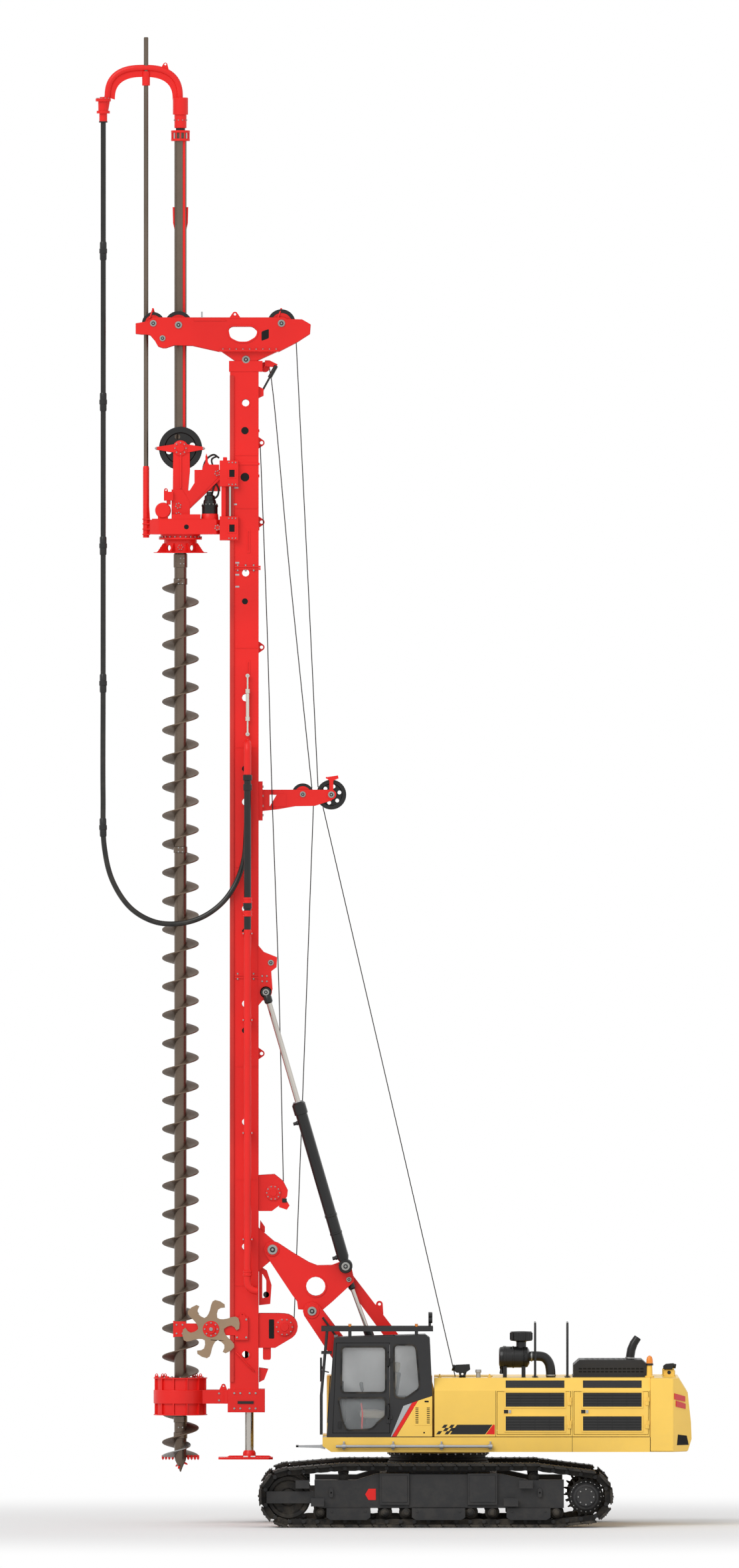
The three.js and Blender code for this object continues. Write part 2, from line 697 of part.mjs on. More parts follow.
// Bars that stand in front of the windscreen and over the roof.
function cabGuard() {
  const [near, far] = [-CAB.outer + 40, -CAB.inner - 40];
  const sides = [near, far].map((y) =>
    join(
      box([-1080, 600], [y - 30, y + 30], [2930, 3000]),
      rod([-990, 2960], [-1080, 1960], y, 22, 8),
      rod([-1080, 1970], [-1080, 1380], y, 22, 8),
      box([-1080, -920], [y - 15, y + 15], [2590, 2620]),
    ),
  );
  const roofAt = (x) => CAB_ROOF[0] + ((x + 840) / 1320) * (CAB_ROOF[1] - CAB_ROOF[0]);
  const posts = [-650, 350].flatMap((x) =>
    [near, far].map((y) => box([x - 25, x + 25], [y - 25, y + 25], [roofAt(x + 25) + GAP, 2940])),
  );
  const slats = [-1060, -700, -340, 20, 380, 580].map((x) =>
    box([x - 20, x + 20], [near, far], [2945, 2985]),
  );
  const rungs = [1400, 1820, 2600].map((z) => {
    const x = z < 1970 ? -1080 : -1080 + ((z - 1960) / 1000) * 90;
    return box([x - 15, x + 15], [near, far], [z - 15, z + 15]);
  });
  return join(sides, posts, slats, rungs);
}

function operatorSeat() {
  const y = [-1230, -770];
  const base = box([-400, -60], [-1160, -840], [CAB.bottom + CAB.wall + GAP, 1610]);
  const cushion = box([-480, -60], y, [1590, 1740]);
  const back = plate([[-150, 1700], [-40, 1700], [80, 2290], [-20, 2290]], y);
  const rest = plate([[-10, 2280], [80, 2280], [110, 2460], [30, 2460]], [-1110, -890]);
  const arms = [-1290, -770].map((a) => box([-520, -60], [a, a + 60], [1880, 1950]));
  const struts = [-1290, -770].map((a) => box([-130, -60], [a, a + 60], [1690, 1900]));
  return join(base, cushion, back, rest, arms, struts);
}

function controlConsole() {
  const floor = CAB.bottom + CAB.wall + GAP;
  const post = box([-760, -690], [-720, -650], [floor, 1960]);
  const screen = box([-790, -740], [-840, -600], [1950, 2180]);
  const pedals = box([-820, -700], [-1200, -650], [floor, floor + 90]);
  return join(post, screen, pedals, box([-790, -700], [-720, -650], [1930, 1990]));
}

// ---------------------------------------------------------------- boom, link and delta frame

function boomArm() {
  const rounds = [circle(BOOM_TIP, 138, 12), circle([-700, 2480], 165, 12), circle(BOOM_FOOT, 150, 12)];
  const outline = hull(rounds.flat());
  const arms = [-1, 1].map((side) => plate(outline, [side * BOOM.inner, side * BOOM.outer]));
  const tie = discY([-700, 2460], 90, [-BOOM.outer + 10, BOOM.outer - 10], 12);
  const through = [-BOOM.outer - 10, BOOM.outer + 10];
  const bores = [BOOM_TIP, BOOM_FOOT].map((c) => discY(c, BOOM.pinR + RUN, through, 24));
  return cut(join(arms, tie), bores);
}

function boomLink() {
  const outline = around([...LINK_FOOT, 100], [...LINK_TIP, 85]);
  const bore = discY(LINK_FOOT, LINK.pinR + RUN, [-LINK.half - 10, LINK.half + 10], 20);
  return cut(plate(outline, [-LINK.half, LINK.half]), bore);
}

// Two triangular plates with the pins of the mast, the boom and the mast cylinders between and beside them.
function deltaFrame() {
  const lobe = ([x, z], r, from, to) =>
    Array.from({ length: 5 }, (_, i) => {
      const a = ((from + ((to - from) * i) / 4) * Math.PI) / 180;
      return [x + r * Math.cos(a), z + r * Math.sin(a)];
    });
  const outline = [
    ...lobe(MAST_PIN, 130, 215, 50),
    [-1520, 4100],
    [-1270, 3950],
    [-1140, 3900],
    [-920, 3905],
    ...lobe(CYLINDER_PIN, 92, 130, -15),
    ...lobe(LINK_TIP, 78, 25, -60),
    [-920, 3350],
    ...lobe(BOOM_TIP, 92, -40, -190),
    [-1430, 3240],
    [-1445, 3360],
    [-1520, 3460],
  ];
  const eye = circle([-1165, 3585], 145, 16);
  const plates = [-1, 1].map((side) => plate(outline, [side * DELTA.inner, side * DELTA.outer], [eye]));
  const mastPins = [-1, 1].map((side) =>
    discY(MAST_PIN, BOOM.pinR, [side * (LUG.inner - 10), side * (DELTA.outer + 22)], 24),
  );
  const shaftEnd = CYLINDER.y + CYLINDER.eyeHalf + 10;
  const shaft = discY(CYLINDER_PIN, CYLINDER.pinR, [-shaftEnd, shaftEnd], 20);
  const boomShaft = discY(BOOM_TIP, BOOM.pinR, [-BOOM.outer - 15, BOOM.outer + 15], 24);
  const tie = discY([-1450, 3800], 75, [-DELTA.inner - 10, DELTA.inner + 10], 12);
  return join(plates, mastPins, shaft, boomShaft, tie);
}

// A point on the line from one hinge point to another, at a distance from the first.
function along([xa, za], [xb, zb], distance) {
  const length = Math.hypot(xb - xa, zb - za);
  return [xa + ((xb - xa) * distance) / length, za + ((zb - za) * distance) / length];
}

function luffBarrels() {
  const barrels = [-1, 1].map((side) =>
    rod(LUFF_FOOT, along(LUFF_FOOT, LINK_TIP, LUFF.gland), side * LUFF.y, LUFF.r, 12),
  );
  const foot = discY(LUFF_FOOT, LUFF.r + 8, [-LUFF.y - LUFF.r, LUFF.y + LUFF.r], 16);
  const bores = [-1, 1].map((side) =>
    rod(
      along(LUFF_FOOT, LINK_TIP, 380),
      along(LUFF_FOOT, LINK_TIP, LUFF.gland + 10),
      side * LUFF.y,
      LUFF.rodR + RUN,
      12,
    ),
  );
  return cut(join(barrels, foot), bores, discY(LUFF_FOOT, LUFF.pinR + RUN, [-LUFF.y - 99, LUFF.y + 99], 16));
}

// The left luffing rod, with the eye that ends beside the link's tip.
function luffRod() {
  const shank = rod(along(LUFF_FOOT, LINK_TIP, 900), LINK_TIP, -LUFF.y, LUFF.rodR, 12);
  const eye = discY(LINK_TIP, 62, [-LUFF.y - LUFF.r, -LUFF.y + LUFF.r], 16);
  return join(shank, eye);
}

function mastCylinder() {
  const foot = CYLINDER_PIN;
  const barrel = rod(foot, along(foot, CYLINDER_EYE, CYLINDER.gland), -CYLINDER.y, CYLINDER.r, 14);
  const collar = rod(
    along(foot, CYLINDER_EYE, CYLINDER.gland - 170),
    along(foot, CYLINDER_EYE, CYLINDER.gland - 20),
    -CYLINDER.y,
    CYLINDER.r + 14,
    14,
  );
  const across = (half) => [-CYLINDER.y - half, -CYLINDER.y + half];
  const eye = discY(foot, 105, across(CYLINDER.eyeHalf), 14);
  const bore = rod(
    along(foot, CYLINDER_EYE, 500),
    along(foot, CYLINDER_EYE, CYLINDER.gland + 20),
    -CYLINDER.y,
    CYLINDER.rodR + RUN,
    12,
  );
  const pinBore = discY(foot, CYLINDER.pinR + RUN, across(CYLINDER.r + 12), 20);
  return cut(join(barrel, collar, eye), bore, pinBore);
}

function mastRod() {
  const foot = CYLINDER_PIN;
  const shank = rod(along(foot, CYLINDER_EYE, 1100), CYLINDER_EYE, -CYLINDER.y, CYLINDER.rodR, 12);
  const eye = discY(CYLINDER_EYE, 75, [-CYLINDER.y - 38, -CYLINDER.y + 38], 14);
  return join(shank, eye);
}

// ---------------------------------------------------------------- mast

function mast() {
  const { bottom, top, wall } = MAST;
  const h = MAST_HALF;
  const skin = box([MAST.front, MAST_BACK], [-h, h], [bottom, top]);
  const floor = bottom + MAST.block;
  const hollow = box([MAST.front + wall, MAST_BACK - wall], [-h + wall, h - wall], [floor, top - 40]);
  const shoe = box([MAST.front - 35, MAST_BACK + 95], [-h - 10, h + 10], [bottom, floor]);
  const jackBore = discZ([JACK.x, 0], JACK.r + RUN, [bottom - 10, floor + 10], 20);
  const rails = [-1, 1].map((side) =>
    box(
      [MAST.front, MAST.front + RAIL.depth],
      [side * (h - 5), side * (h + RAIL.proud)],
      [RAIL.from, RAIL.to],
    ),
  );
  const cap = box([MAST.front - 15, MAST_BACK + 60], [-h - 10, h + 10], [top - 10, top + MAST.cap]);
  const holes = [2560, 4180, 6060, 7840, 9270, 10880, 12450, HEAD.z - 685, top - 480].map((z) =>
    discY([MAST_X + 20, z], 58, [-h - 20, h + 20], 8),
  );
  return cut(join(cut(skin, hollow), shoe, rails, cap, mastLugs(), cylinderBracket()), jackBore, holes);
}

// The rear lugs that the delta frame's pins pass through.
function mastLugs() {
  const z = MAST_PIN[1];
  const ears = [-1, 1].map((side) =>
    plate(hull([...circle(MAST_PIN, 110, 20), [MAST_BACK - 5, z - 330], [MAST_BACK - 5, z + 330]]), [
      side * LUG.inner,
      side * LUG.outer,
    ]),
  );
  const bores = discY(MAST_PIN, BOOM.pinR + RUN, [-LUG.outer - 10, LUG.outer + 10], 24);
  const pad = box([MAST_BACK - 15, MAST_BACK + 5], [-LUG.outer, LUG.outer], [z - 330, z + 330]);
  return cut(join(ears, pad), bores);
}

// The rear bracket beside which the mast cylinders' rods end.
function cylinderBracket() {
  const outer = CYLINDER.y - 38 - CLEAR;
  const back = MAST_BACK;
  return plate(
    [
      [back - 5, 8720],
      [back + 80, 8620],
      [back + 280, 8540],
      [back + 270, 8390],
      [back + 190, 8330],
      [back + 210, 8060],
      [back + 160, 7915],
      [back + 60, 7890],
      [back - 5, 7810],
    ],
    [-outer, outer],
  );
}

// The fork at the top that carries the rope sheaves and lets the tube and the guide pole pass.
function mastHead() {
  const { base, top, half, plate: t, throat } = MAST_HEAD;
  const outline = [
    [-3875, base + 270],
    [-3660, base + 250],
    [-3590, base + 170],
    [-3540, base + 80],
    [-3470, base + 55],
    [-3420, base + 55],
    [-3300, base + 95],
    [-3020, base + 90],
    [-2620, base],
    [-1720, base],
    [-1450, base + 140],
    [-1250, base + 270],
    [-1240, base + 410],
    [-1370, base + 485],
    [-1600, base + 490],
    [-1640, top],
    [-3610, top],
    [-3700, top - 60],
    [-3875, top - 90],
  ];
  const window = [
    [-2480, base + 340],
    [-2430, base + 380],
    [-2120, base + 380],
    [-2040, base + 310],
    [-2070, base + 220],
    [-2190, base + 150],
    [-2330, base + 150],
    [-2450, base + 210],
  ];
  const rims = [half, throat + t];
  const plates = [-1, 1].flatMap((side) =>
    rims.map((y) => plate(outline, [side * (y - t), side * y], [window])),
  );
  const inner = throat + t - 5;
  const nose = [-1, 1].map((side) =>
    box([-3870, -3780], [side * inner, side * (half - 5)], [base + 275, top - 95]),
  );
  const sheaves = [
    [-3610, top - 90, 165],
    [-3230, top - 115, 205],
    [-1680, top - 90, 205],
  ].flatMap(([x, z, r]) =>
    [-1, 1].map((side) => {
      const mid = side * ((half + throat) / 2);
      return join(
        discY([x, z], r, [mid - 45, mid + 45], 14),
        discY([x, z], 45, [side * (throat + t - 2), side * (half - t + 2)], 8),
      );
    }),
  );
  const floor = box([-2620, -1720], [-half, half], [base, base + 40]);
  const pivot = plate(
    [
      [-2380, MAST.top + MAST.cap + GAP],
      [-2050, MAST.top + MAST.cap + GAP],
      [-1720, base + 10],
      [-2600, base + 10],
    ],
    [-half + 60, half - 60],
  );
  return join(plates, nose, sheaves, floor, pivot);
}

function rearSheaveArm() {
  const { top, bottom, inner, plate: t } = REAR_ARM;
  const back = MAST_BACK + GAP;
  const foot = box([back, back + 60], [-200, 200], [bottom, top]);
  const outline = [
    [back + 40, bottom + 140],
    [back + 300, bottom + 170],
    [back + 555, bottom + 215],
    [back + 845, bottom + 220],
    [back + 1100, bottom + 300],
    [back + 1150, bottom + 390],
    [back + 1100, bottom + 465],
    [back + 40, top - 125],
  ];
  const window = [
    [back + 165, bottom + 210],
    [back + 400, bottom + 230],
    [back + 400, bottom + 380],
    [back + 165, bottom + 390],
  ];
  const plates = [-1, 1].map((side) => plate(outline, [side * inner, side * (inner + t)], [window]));
  const middle = [back + 665, REAR_SHEAVE.z + 5];
  const small = join(discY(middle, 160, [-40, 40], 20), discY(middle, 35, [-inner - 5, inner + 5], 12));
  const axle = discY([REAR_SHEAVE.x, REAR_SHEAVE.z], REAR_SHEAVE.axleR, [-inner - 5, inner + 5], 16);
  return join(foot, plates, small, axle);
}

function rearSheave() {
  const c = [REAR_SHEAVE.x, REAR_SHEAVE.z];
  const h = REAR_SHEAVE.half;
  const holes = circle(c, 130, 6).map((p) => discY(p, 40, [-h - 5, h + 5], 8));
  const wheel = cut(discY(c, REAR_SHEAVE.r, [-h + 10, h - 10], 20), holes);
  return cut(join(wheel, discY(c, 75, [-h, h], 16)), discY(c, REAR_SHEAVE.axleR + RUN, [-h - 5, h + 5], 16));
}

function upperWinch() {
  const back = MAST_BACK + GAP;
  const outline = [
    [back, 4720],
    [back + 200, 4720],
    [back + 360, 4840],
    [back + 430, 4940],
    [back + 440, 5030],
    [back + 370, 5170],
    [back + 240, 5275],
    [back, 5260],
  ];
  const cheeks = [-1, 1].map((side) => plate(outline, [side * (WINCH.half - 40), side * WINCH.half]));
  const across = [-WINCH.half, WINCH.half];
  const drum = discY([back + 220, 4995], 150, across, 20);
  return join(cheeks, drum, box([back, back + 30], across, [4760, 5220]));
}

function lowerWinch() {
  const back = MAST_BACK + GAP;
  const c = [back + 390, 2975];
  const corners = [[back, 2660], [back, 3180], [back + 300, 3180], [back + 250, 2660]];
  const outline = hull([...circle(c, 200, 20), ...corners]);
  const cheeks = [-1, 1].map((side) => plate(outline, [side * (WINCH.half - 40), side * WINCH.half]));
  const across = [-WINCH.half, WINCH.half];
  return join(cheeks, discY(c, 165, across, 20), box([back, back + 30], across, [2700, 3140]));
}

// The fixed concrete line down the mast's left side, with the return bend that the hose ends in.
function concretePipe() {
  const { x, y, r, top, bottom } = LINE;
  const rise = (HOSE.bendY - y) / 2;
  const bend = Array.from({ length: 9 }, (_, i) => {
    const a = Math.PI * (1 - i / 8);
    return [x, y + rise + rise * Math.cos(a), top + 440 + rise * Math.sin(a)];
  });
  const shoulder = top + 300;
  const route = [[x, y, top], [x, y, shoulder], ...bend, [x, HOSE.bendY, shoulder], [x, HOSE.bendY, top]];
  const pipe = tube(route, r, 14, 8);
  const straight = discZ([x, y], r, [bottom, top + 20], 8);
  const drop = [[0, 60], [0, -60], [60, -150], [150, -180]];
  const elbow = tube(drop.map(([dx, dz]) => [x + dx, y, bottom + dz]), r, 5, 8);
  const collars = [bottom + 90, 9200, 9400, top - 80].map((z) => discZ([x, y], r + 14, [z, z + 90], 8));
  const clamps = [4300, 5900, 7600, 8900].map((z) =>
    box([x - 80, x + 80], [y - 20, -MAST_HALF - GAP], [z, z + 50]),
  );
  const hold = box([x - 80, x + 80], [HOSE.bendY - 20, -MAST_HALF - GAP], [top + 120, top + 180]);
  return join(pipe, straight, elbow, collars, clamps, hold);
}

function concreteHose() {
  const z = GOOSE.wristZ - 180;
  const x = GOOSE.left;
  const route = [
    [x, 0, z],
    [x, 0, z - 400],
    [x, -8, 19500],
    [x, -40, 17800],
    [x, -100, 16000],
    [x, -180, 14200],
    [x, -270, 12500],
    [x, -350, 11000],
    [x + 20, -395, 10200],
    [x + 145, -425, 9690],
    [x + 420, -440, 9280],
    [x + 780, -445, 9075],
    [x + 1150, -445, 9050],
    [x + 1500, -435, 9150],
    [x + 1800, -410, 9370],
    [x + 2000, -385, 9660],
    [x + 2120, -373, 10020],
    [HOSE.bendX - 20, HOSE.bendY, 10450],
    [HOSE.bendX, HOSE.bendY, 10900],
    [HOSE.bendX, HOSE.bendY, HOSE.bendZ - GAP],
  ];
  return tube(route, HOSE.r, 66, 8);
}

// A steadying collar round the foot of the auger, on two arms from the mast's front.
function guideRing() {
  const x = AUGER.x;
  const { boreR, outerR, bottom, top, armBottom, armTop } = GUIDE;
  const collar = join(
    discZ([x, 0], outerR - 35, [bottom, top], 20),
    discZ([x, 0], outerR, [armBottom, armTop], 20),
  );
  const arms = [-1, 1].map((side) =>
    box([x, MAST.front - 35 - GAP], [side * 180, side * 230], [armBottom, armTop]),
  );
  const pad = box([MAST.front - 85, MAST.front - 35 - GAP], [-MAST_HALF, MAST_HALF], [armBottom, armTop]);
  return cut(join(collar, arms, pad), discZ([x, 0], boreR, [bottom - 10, top + 10], 20));
}

function cleanerArm() {
  const y = [-CLEANER.armInner - CLEANER.arm, -CLEANER.armInner];
  const beam = box([-3140, MAST.front - GAP], y, [2850, 3030]);
  const bridge = box([MAST.front - 60, MAST_X - 30], [y[0], -MAST_HALF - RAIL.proud - GAP], [2850, 3030]);
  const pad = box([-2380, -2180], [y[0], -MAST_HALF - GAP], [2780, 3130]);
  const clamp = box([-3300, -3120], y, [2830, 3060]);
  const pin = discY([CLEANER.x, CLEANER.z], CLEANER.pinR, [y[0] - CLEAR - CLEANER.wheel - 4, y[1] - 5], 16);
  return join(beam, bridge, pad, clamp, pin);
}

// A wheel of six hooked teeth that strips the soil off the flights.
function cleanerWheel() {
  const face = -CLEANER.armInner - CLEANER.arm - CLEAR;
  const teeth = 6;
  const outline = Array.from({ length: teeth }, (_, i) => {
    const at = (share, r) => {
      const a = ((i + share) / teeth) * 2 * Math.PI;
      return [CLEANER.x + r * Math.cos(a), CLEANER.z + r * Math.sin(a)];
    };
    const tooth = [[0, 0.36], [0.3, 0.7], [0.42, 1], [0.62, 1], [0.66, 0.72], [0.85, 0.42]];
    return tooth.map(([share, reach]) => at(share, reach * CLEANER.r));
  }).flat();
  const wheel = join(
    plate(outline, [face - CLEANER.wheel, face]),
    discY([CLEANER.x, CLEANER.z], CLEANER.hubR, [face - CLEANER.wheel - 14, face], 18),
  );
  return cut(wheel, discY([CLEANER.x, CLEANER.z], CLEANER.pinR + RUN, [face - 99, face + 5], 16));
}

function supportJack() {
  const { x, r, bottom, thick, hub, top } = JACK;
  const face = bottom + thick;
  const stem = discZ([x, 0], r, [face, top], 20);
  const boss = discZ([x, 0], r + 30, [face - 20, face + hub - 15], 16);
  const { halfX, halfY } = JACK_FOOT;
  const foot = box([JACK_FOOT.x - halfX, JACK_FOOT.x + halfX], [-halfY, halfY], [bottom, face]);
  return join(stem, boss, foot);
}

// ---------------------------------------------------------------- rotary head

// The carriage on the mast's rails, with the braces and posts that carry the rope pulleys.
function headFrame() {
  const h = MAST_HALF;
  const z = HEAD.z;
  const front = HEAD.carriageFront;
  const face = MAST.front - 0.5;
  const railBack = MAST.front + RAIL.depth;
  const blocks = [
    [z - 195, z + 165],
    [z + 615, z + 1005],
  ].flatMap(([z0, z1]) => [
    box([front, face], [-h - RAIL.proud - 70, h + RAIL.proud + 70], [z0, z1]),
    ...[-1, 1].flatMap((side) => {
      const from = h + RAIL.proud + CLEAR;
      const out = h + RAIL.proud + 70;
      const cheek = side < 0 ? [-out, -from] : [from, out];
      const hook = side < 0 ? [-out, -h - CLEAR] : [h + CLEAR, out];
      return [
        box([face - 10, HEAD.hookBack], cheek, [z0, z1]),
        box([railBack + CLEAR, HEAD.hookBack], hook, [z0, z1]),
      ];
    }),
  ]);
  const spine = box([front + 50, face], [-h + 20, h - 20], [z + 85, z + 685]);
  const postY = PULLEY.y + PULLEY.thick / 2 + CLEAR;
  const posts = [-1, 1].flatMap((side) => {
    const y = [side * postY, side * (postY + 50)];
    const braced = plate(
      [
        [-2990, z + 865],
        [front + 10, z + 865],
        [front + 10, z + 725],
        [-2920, z + 415],
        [-3150, z + 195],
        [-3320, z + 195],
        [-3320, z + 555],
        [-2990, z + 555],
      ],
      y,
    );
    const post = plate(
      [
        [-3320, z + 195],
        [-3120, z + 195],
        [-3060, z + 845],
        [-3060, PULLEY.z],
        [-3310, PULLEY.z],
      ],
      y,
    );
    const cheek = discY([PULLEY.x, PULLEY.z], 120, y, 20);
    const axleInner = PULLEY.y - PULLEY.thick / 2 - 2;
    const axle = discY([PULLEY.x, PULLEY.z], PULLEY.axleR, [side * axleInner, side * (postY + 20)], 16);
    return [braced, post, cheek, axle];
  });
  const tie = box([-2990, front + 10], [-postY - 20, postY + 20], [z + 545, z + 865]);
  return join(blocks, spine, posts, cut(tie, discZ([AUGER.x, 0], TUBE.collarR + 17, [z, z + 1500], 20)));
}

function headPulley() {
  const c = [PULLEY.x, PULLEY.z];
  const y = [-PULLEY.y - PULLEY.thick / 2, -PULLEY.y + PULLEY.thick / 2];
  const rim = cut(
    discY(c, PULLEY.r, y, 24),
    [60, 120, 240, 300].map((deg) => {
      const a = (deg * Math.PI) / 180;
      return discY([c[0] + 205 * Math.cos(a), c[1] + 205 * Math.sin(a)], 50, [y[0] - 5, y[1] + 5], 8);
    }),
  );
  return cut(rim, discY(c, PULLEY.axleR + RUN, [y[0] - 5, y[1] + 5], 16));
}

// The gearbox with its round flange, its flared skirt and its motors.
function rotaryDrive() {
  const { z, halfHeight, halfWidth, front, carriageFront } = HEAD;
  const c = [AUGER.x, 0];
  const gearCase = slab(
    [
      [front + 120, -halfWidth],
      [carriageFront - GAP, -halfWidth],
      [carriageFront - GAP, halfWidth],
      [front + 120, halfWidth],
      [front, halfWidth - 150],
      [front, -halfWidth + 150],
    ],
    [z - halfHeight, z + halfHeight],
  );
  const flange = discZ(c, 325, [z - halfHeight - 70, z - halfHeight + 10], 20);
  const throat = discZ(c, 245, [z - halfHeight - 130, z - halfHeight - 60], 20);
  const skirt = discZ(c, 410, [z - halfHeight - 270, z - halfHeight - 125], 20, 270);
  const motors = [-1, 1].flatMap((side) => [
    discZ([-2760, side * 205], 115, [z + halfHeight - 10, z + 320], 12),
    discZ([-2760, side * 205], 85, [z + 310, z + 470], 12),
    discY([-3465, z + 255], 120, [side * 120, side * 330], 12),
    box([-3540, -3390], [side * 140, side * 300], [z + halfHeight - 10, z + 200]),
  ]);
  const shoulder = [-1, 1].map((side) =>
    box([-3330, -2900], [side * 190, side * (halfWidth - 20)], [z + halfHeight - 10, z + 195 - GAP]),
  );
  const solid = join(gearCase, flange, throat, skirt, motors, shoulder);
  const hollow = discZ(c, 350, [z - halfHeight - 280, z - halfHeight - 130], 20, 215);
  const windows = [0, 60, 120].map((deg) => {
    const slot = new THREE.BoxGeometry(1000, 110, 60).rotateZ((deg * Math.PI) / 180);
    return solidOf(slot.translate(c[0], c[1], z - halfHeight - 200));
  });
  return cut(solid, hollow, windows, discZ(c, AUGER.pipeR + 1, [z - 600, z + 400], 24));
}

// The pole that keeps the gooseneck from turning with the tube.
function guidePole() {
  const { x, r, top, socketR, socketBottom, socketTop } = POLE;
  const shaft = discZ([x, 0], r, [socketBottom + 20, top], 16);
  const socket = discZ([x, 0], socketR, [socketBottom, socketTop], 16);
  const gusset = plate(
    [
      [x, HEAD.z - 115],
      [HEAD.front - GAP, HEAD.z - 115],
      [HEAD.front - GAP, HEAD.z + 115],
      [x + 70, HEAD.z + 485],
      [x, HEAD.z + 685],
    ],
    [-25, 25],
  );
  return join(shaft, socket, gusset);
}

// The bend that turns the concrete line over, from the hose to the top of the drill string.
function gooseneck() {
  const { left, top, pipeR, legZ, wristZ } = GOOSE;
  const right = AUGER.x;
  const mid = (left + right) / 2;
  const half = (right - left) / 2;
  const rise = top - pipeR - legZ;
  const arch = Array.from({ length: 11 }, (_, i) => {
    const a = Math.PI * (1 - i / 10);
    return [mid + half * Math.cos(a), 0, legZ + rise * Math.sin(a)];
  });
  const pipe = tube([[left, 0, wristZ - 20], ...arch, [right, 0, legZ - 60]], pipeR, 14, 8);
  const web = plate(
    arch.map(([x, , z]) => [mid + (x - mid) * 0.96, z]).slice(2, 9).concat([
      [mid + half * 0.62, legZ + rise * 0.42],
      [mid, legZ + rise * 0.62],
      [mid - half * 0.62, legZ + rise * 0.42],
    ]),
    [-12, 12],
  );
  const sleeve = discZ([POLE.x, 0], POLE.r + 25, [legZ + 180, legZ + 395], 12);
  const leftFlanges = join(
    discZ([left - 5, 0], 115, [legZ - 50, legZ - 5], 12),
    discZ([left, 0], 75, [wristZ - 10, legZ], 10),
    discZ([left, 0], 100, [wristZ - 40, wristZ], 10),
    discZ([left, 0], 60, [wristZ - 180 + GAP, wristZ - 30], 10),
  );
  const swivel = join(
    discZ([right, 0], 115, [legZ - 250, legZ], 14),
    discZ([right, 0], 92, [TUBE.top + 35, legZ - 240], 14),
    discZ([right, 0], 70, [TUBE.top + GAP, TUBE.top + 45], 12),
  );
  const solid = join(pipe, web, sleeve, leftFlanges, swivel);
  return cut(solid, discZ([POLE.x, 0], POLE.r + RUN, [legZ - 190, POLE.top], 16));
}

// ---------------------------------------------------------------- drill string

function extensionTube() {
  const c = [AUGER.x, 0];
  const body = discZ(c, AUGER.pipeR, [AUGER.top + GAP, TUBE.top - 10], 24);
  const collar = discZ(c, TUBE.collarR, [TUBE.top - TUBE.collar, TUBE.top], 20);
  const coupler = discZ(c, AUGER.pipeR + 12, [AUGER.top + GAP, HEAD.z - HEAD.halfHeight - 280], 16);
  return cut(join(body, collar, coupler), discZ(c, AUGER.boreR, [AUGER.top - 10, TUBE.top + 10], 12));
}

// The pipe and its single right-hand flight as one closed skin: at each step round the pipe there is one
// ring of four points on the flight, and the next turn's ring lies one pitch above.
function auger() {
  const { pipeR, flightR, boreR, pitch, steps, plate: t, tip, top, firstFlight, lastFlight } = AUGER;
  const count = Math.round(((lastFlight - firstFlight) / pitch) * steps);
  const points = [];
  const faces = [];
  const add = (r, step, z) => points.push([r, step, z]) - 1;
  const face = (...corners) => {
    for (let i = 1; i < corners.length - 1; i++) faces.push([corners[0], corners[i], corners[i + 1]]);
  };
  const rings = Array.from({ length: count + 1 }, (_, i) => {
    const z = firstFlight + (i * pitch) / steps;
    return {
      low: add(pipeR, i, z - t / 2),
      lowEdge: add(flightR, i, z - t / 2),
      highEdge: add(flightR, i, z + t / 2),
      high: add(pipeR, i, z + t / 2),
    };
  });
  const shoulder = firstFlight - t;
  const foot = Array.from({ length: steps }, (_, i) => add(pipeR, i, shoulder));
  const head = Array.from({ length: steps }, (_, i) => add(pipeR, i, top));
  const mouth = Array.from({ length: steps }, (_, i) => add(boreR, i, top));
  const sump = Array.from({ length: steps }, (_, i) => add(boreR, i, firstFlight + 200));
  const nose = add(0, 0, tip);
  const floor = add(0, 0, firstFlight + 200);
  for (let i = 0; i < count; i++) {
    const [a, b] = [rings[i], rings[i + 1]];
    face(a.low, b.low, b.lowEdge, a.lowEdge);
    face(a.lowEdge, b.lowEdge, b.highEdge, a.highEdge);
    face(a.highEdge, b.highEdge, b.high, a.high);
    if (i + steps < count) face(a.high, b.high, rings[i + steps + 1].low, rings[i + steps].low);
  }
  const [first, last] = [rings[0], rings[count]];
  face(first.low, first.lowEdge, first.highEdge, first.high);
  face(last.low, last.high, last.highEdge, last.lowEdge);
  for (let i = 0; i < steps - 1; i++) face(foot[i], foot[i + 1], rings[i + 1].low, rings[i].low);
  face(foot[steps - 1], foot[0], first.low, first.high, rings[steps].low, rings[steps - 1].low);
  const above = (i) => head[i % steps];
  for (let i = count - steps + 1; i < count; i++) {
    face(rings[i].high, rings[i + 1].high, above(i + 1), above(i));
  }
  const before = rings[count - steps];
  face(before.high, rings[count - steps + 1].high, above(count + 1), above(count), last.high, last.low);
  for (let i = 0; i < steps; i++) {
    const j = (i + 1) % steps;
    face(nose, foot[j], foot[i]);
    face(head[i], head[j], mouth[j], mouth[i]);
    face(mouth[i], mouth[j], sump[j], sump[i]);
    face(sump[i], sump[j], floor);
  }
  const place = ([r, step, z]) => {
    const a = (step / steps) * 2 * Math.PI;
    return [AUGER.x + r * Math.cos(a), r * Math.sin(a), z];
  };
  const geometry = new THREE.BufferGeometry()
    .setAttribute("position", new THREE.Float32BufferAttribute(points.flatMap(place), 3))
    .setIndex(faces.flat());
  return solidOf(geometry);
}

// ---------------------------------------------------------------- the machine

const undercarriage = group(
  piece("carbody", carbody(), DARK),
  piece("slew_ring", slewRing(), DARK),
  bothSides("track_frame", trackFrame(), DARK),
  bothSides("track", track(), DARK),
);

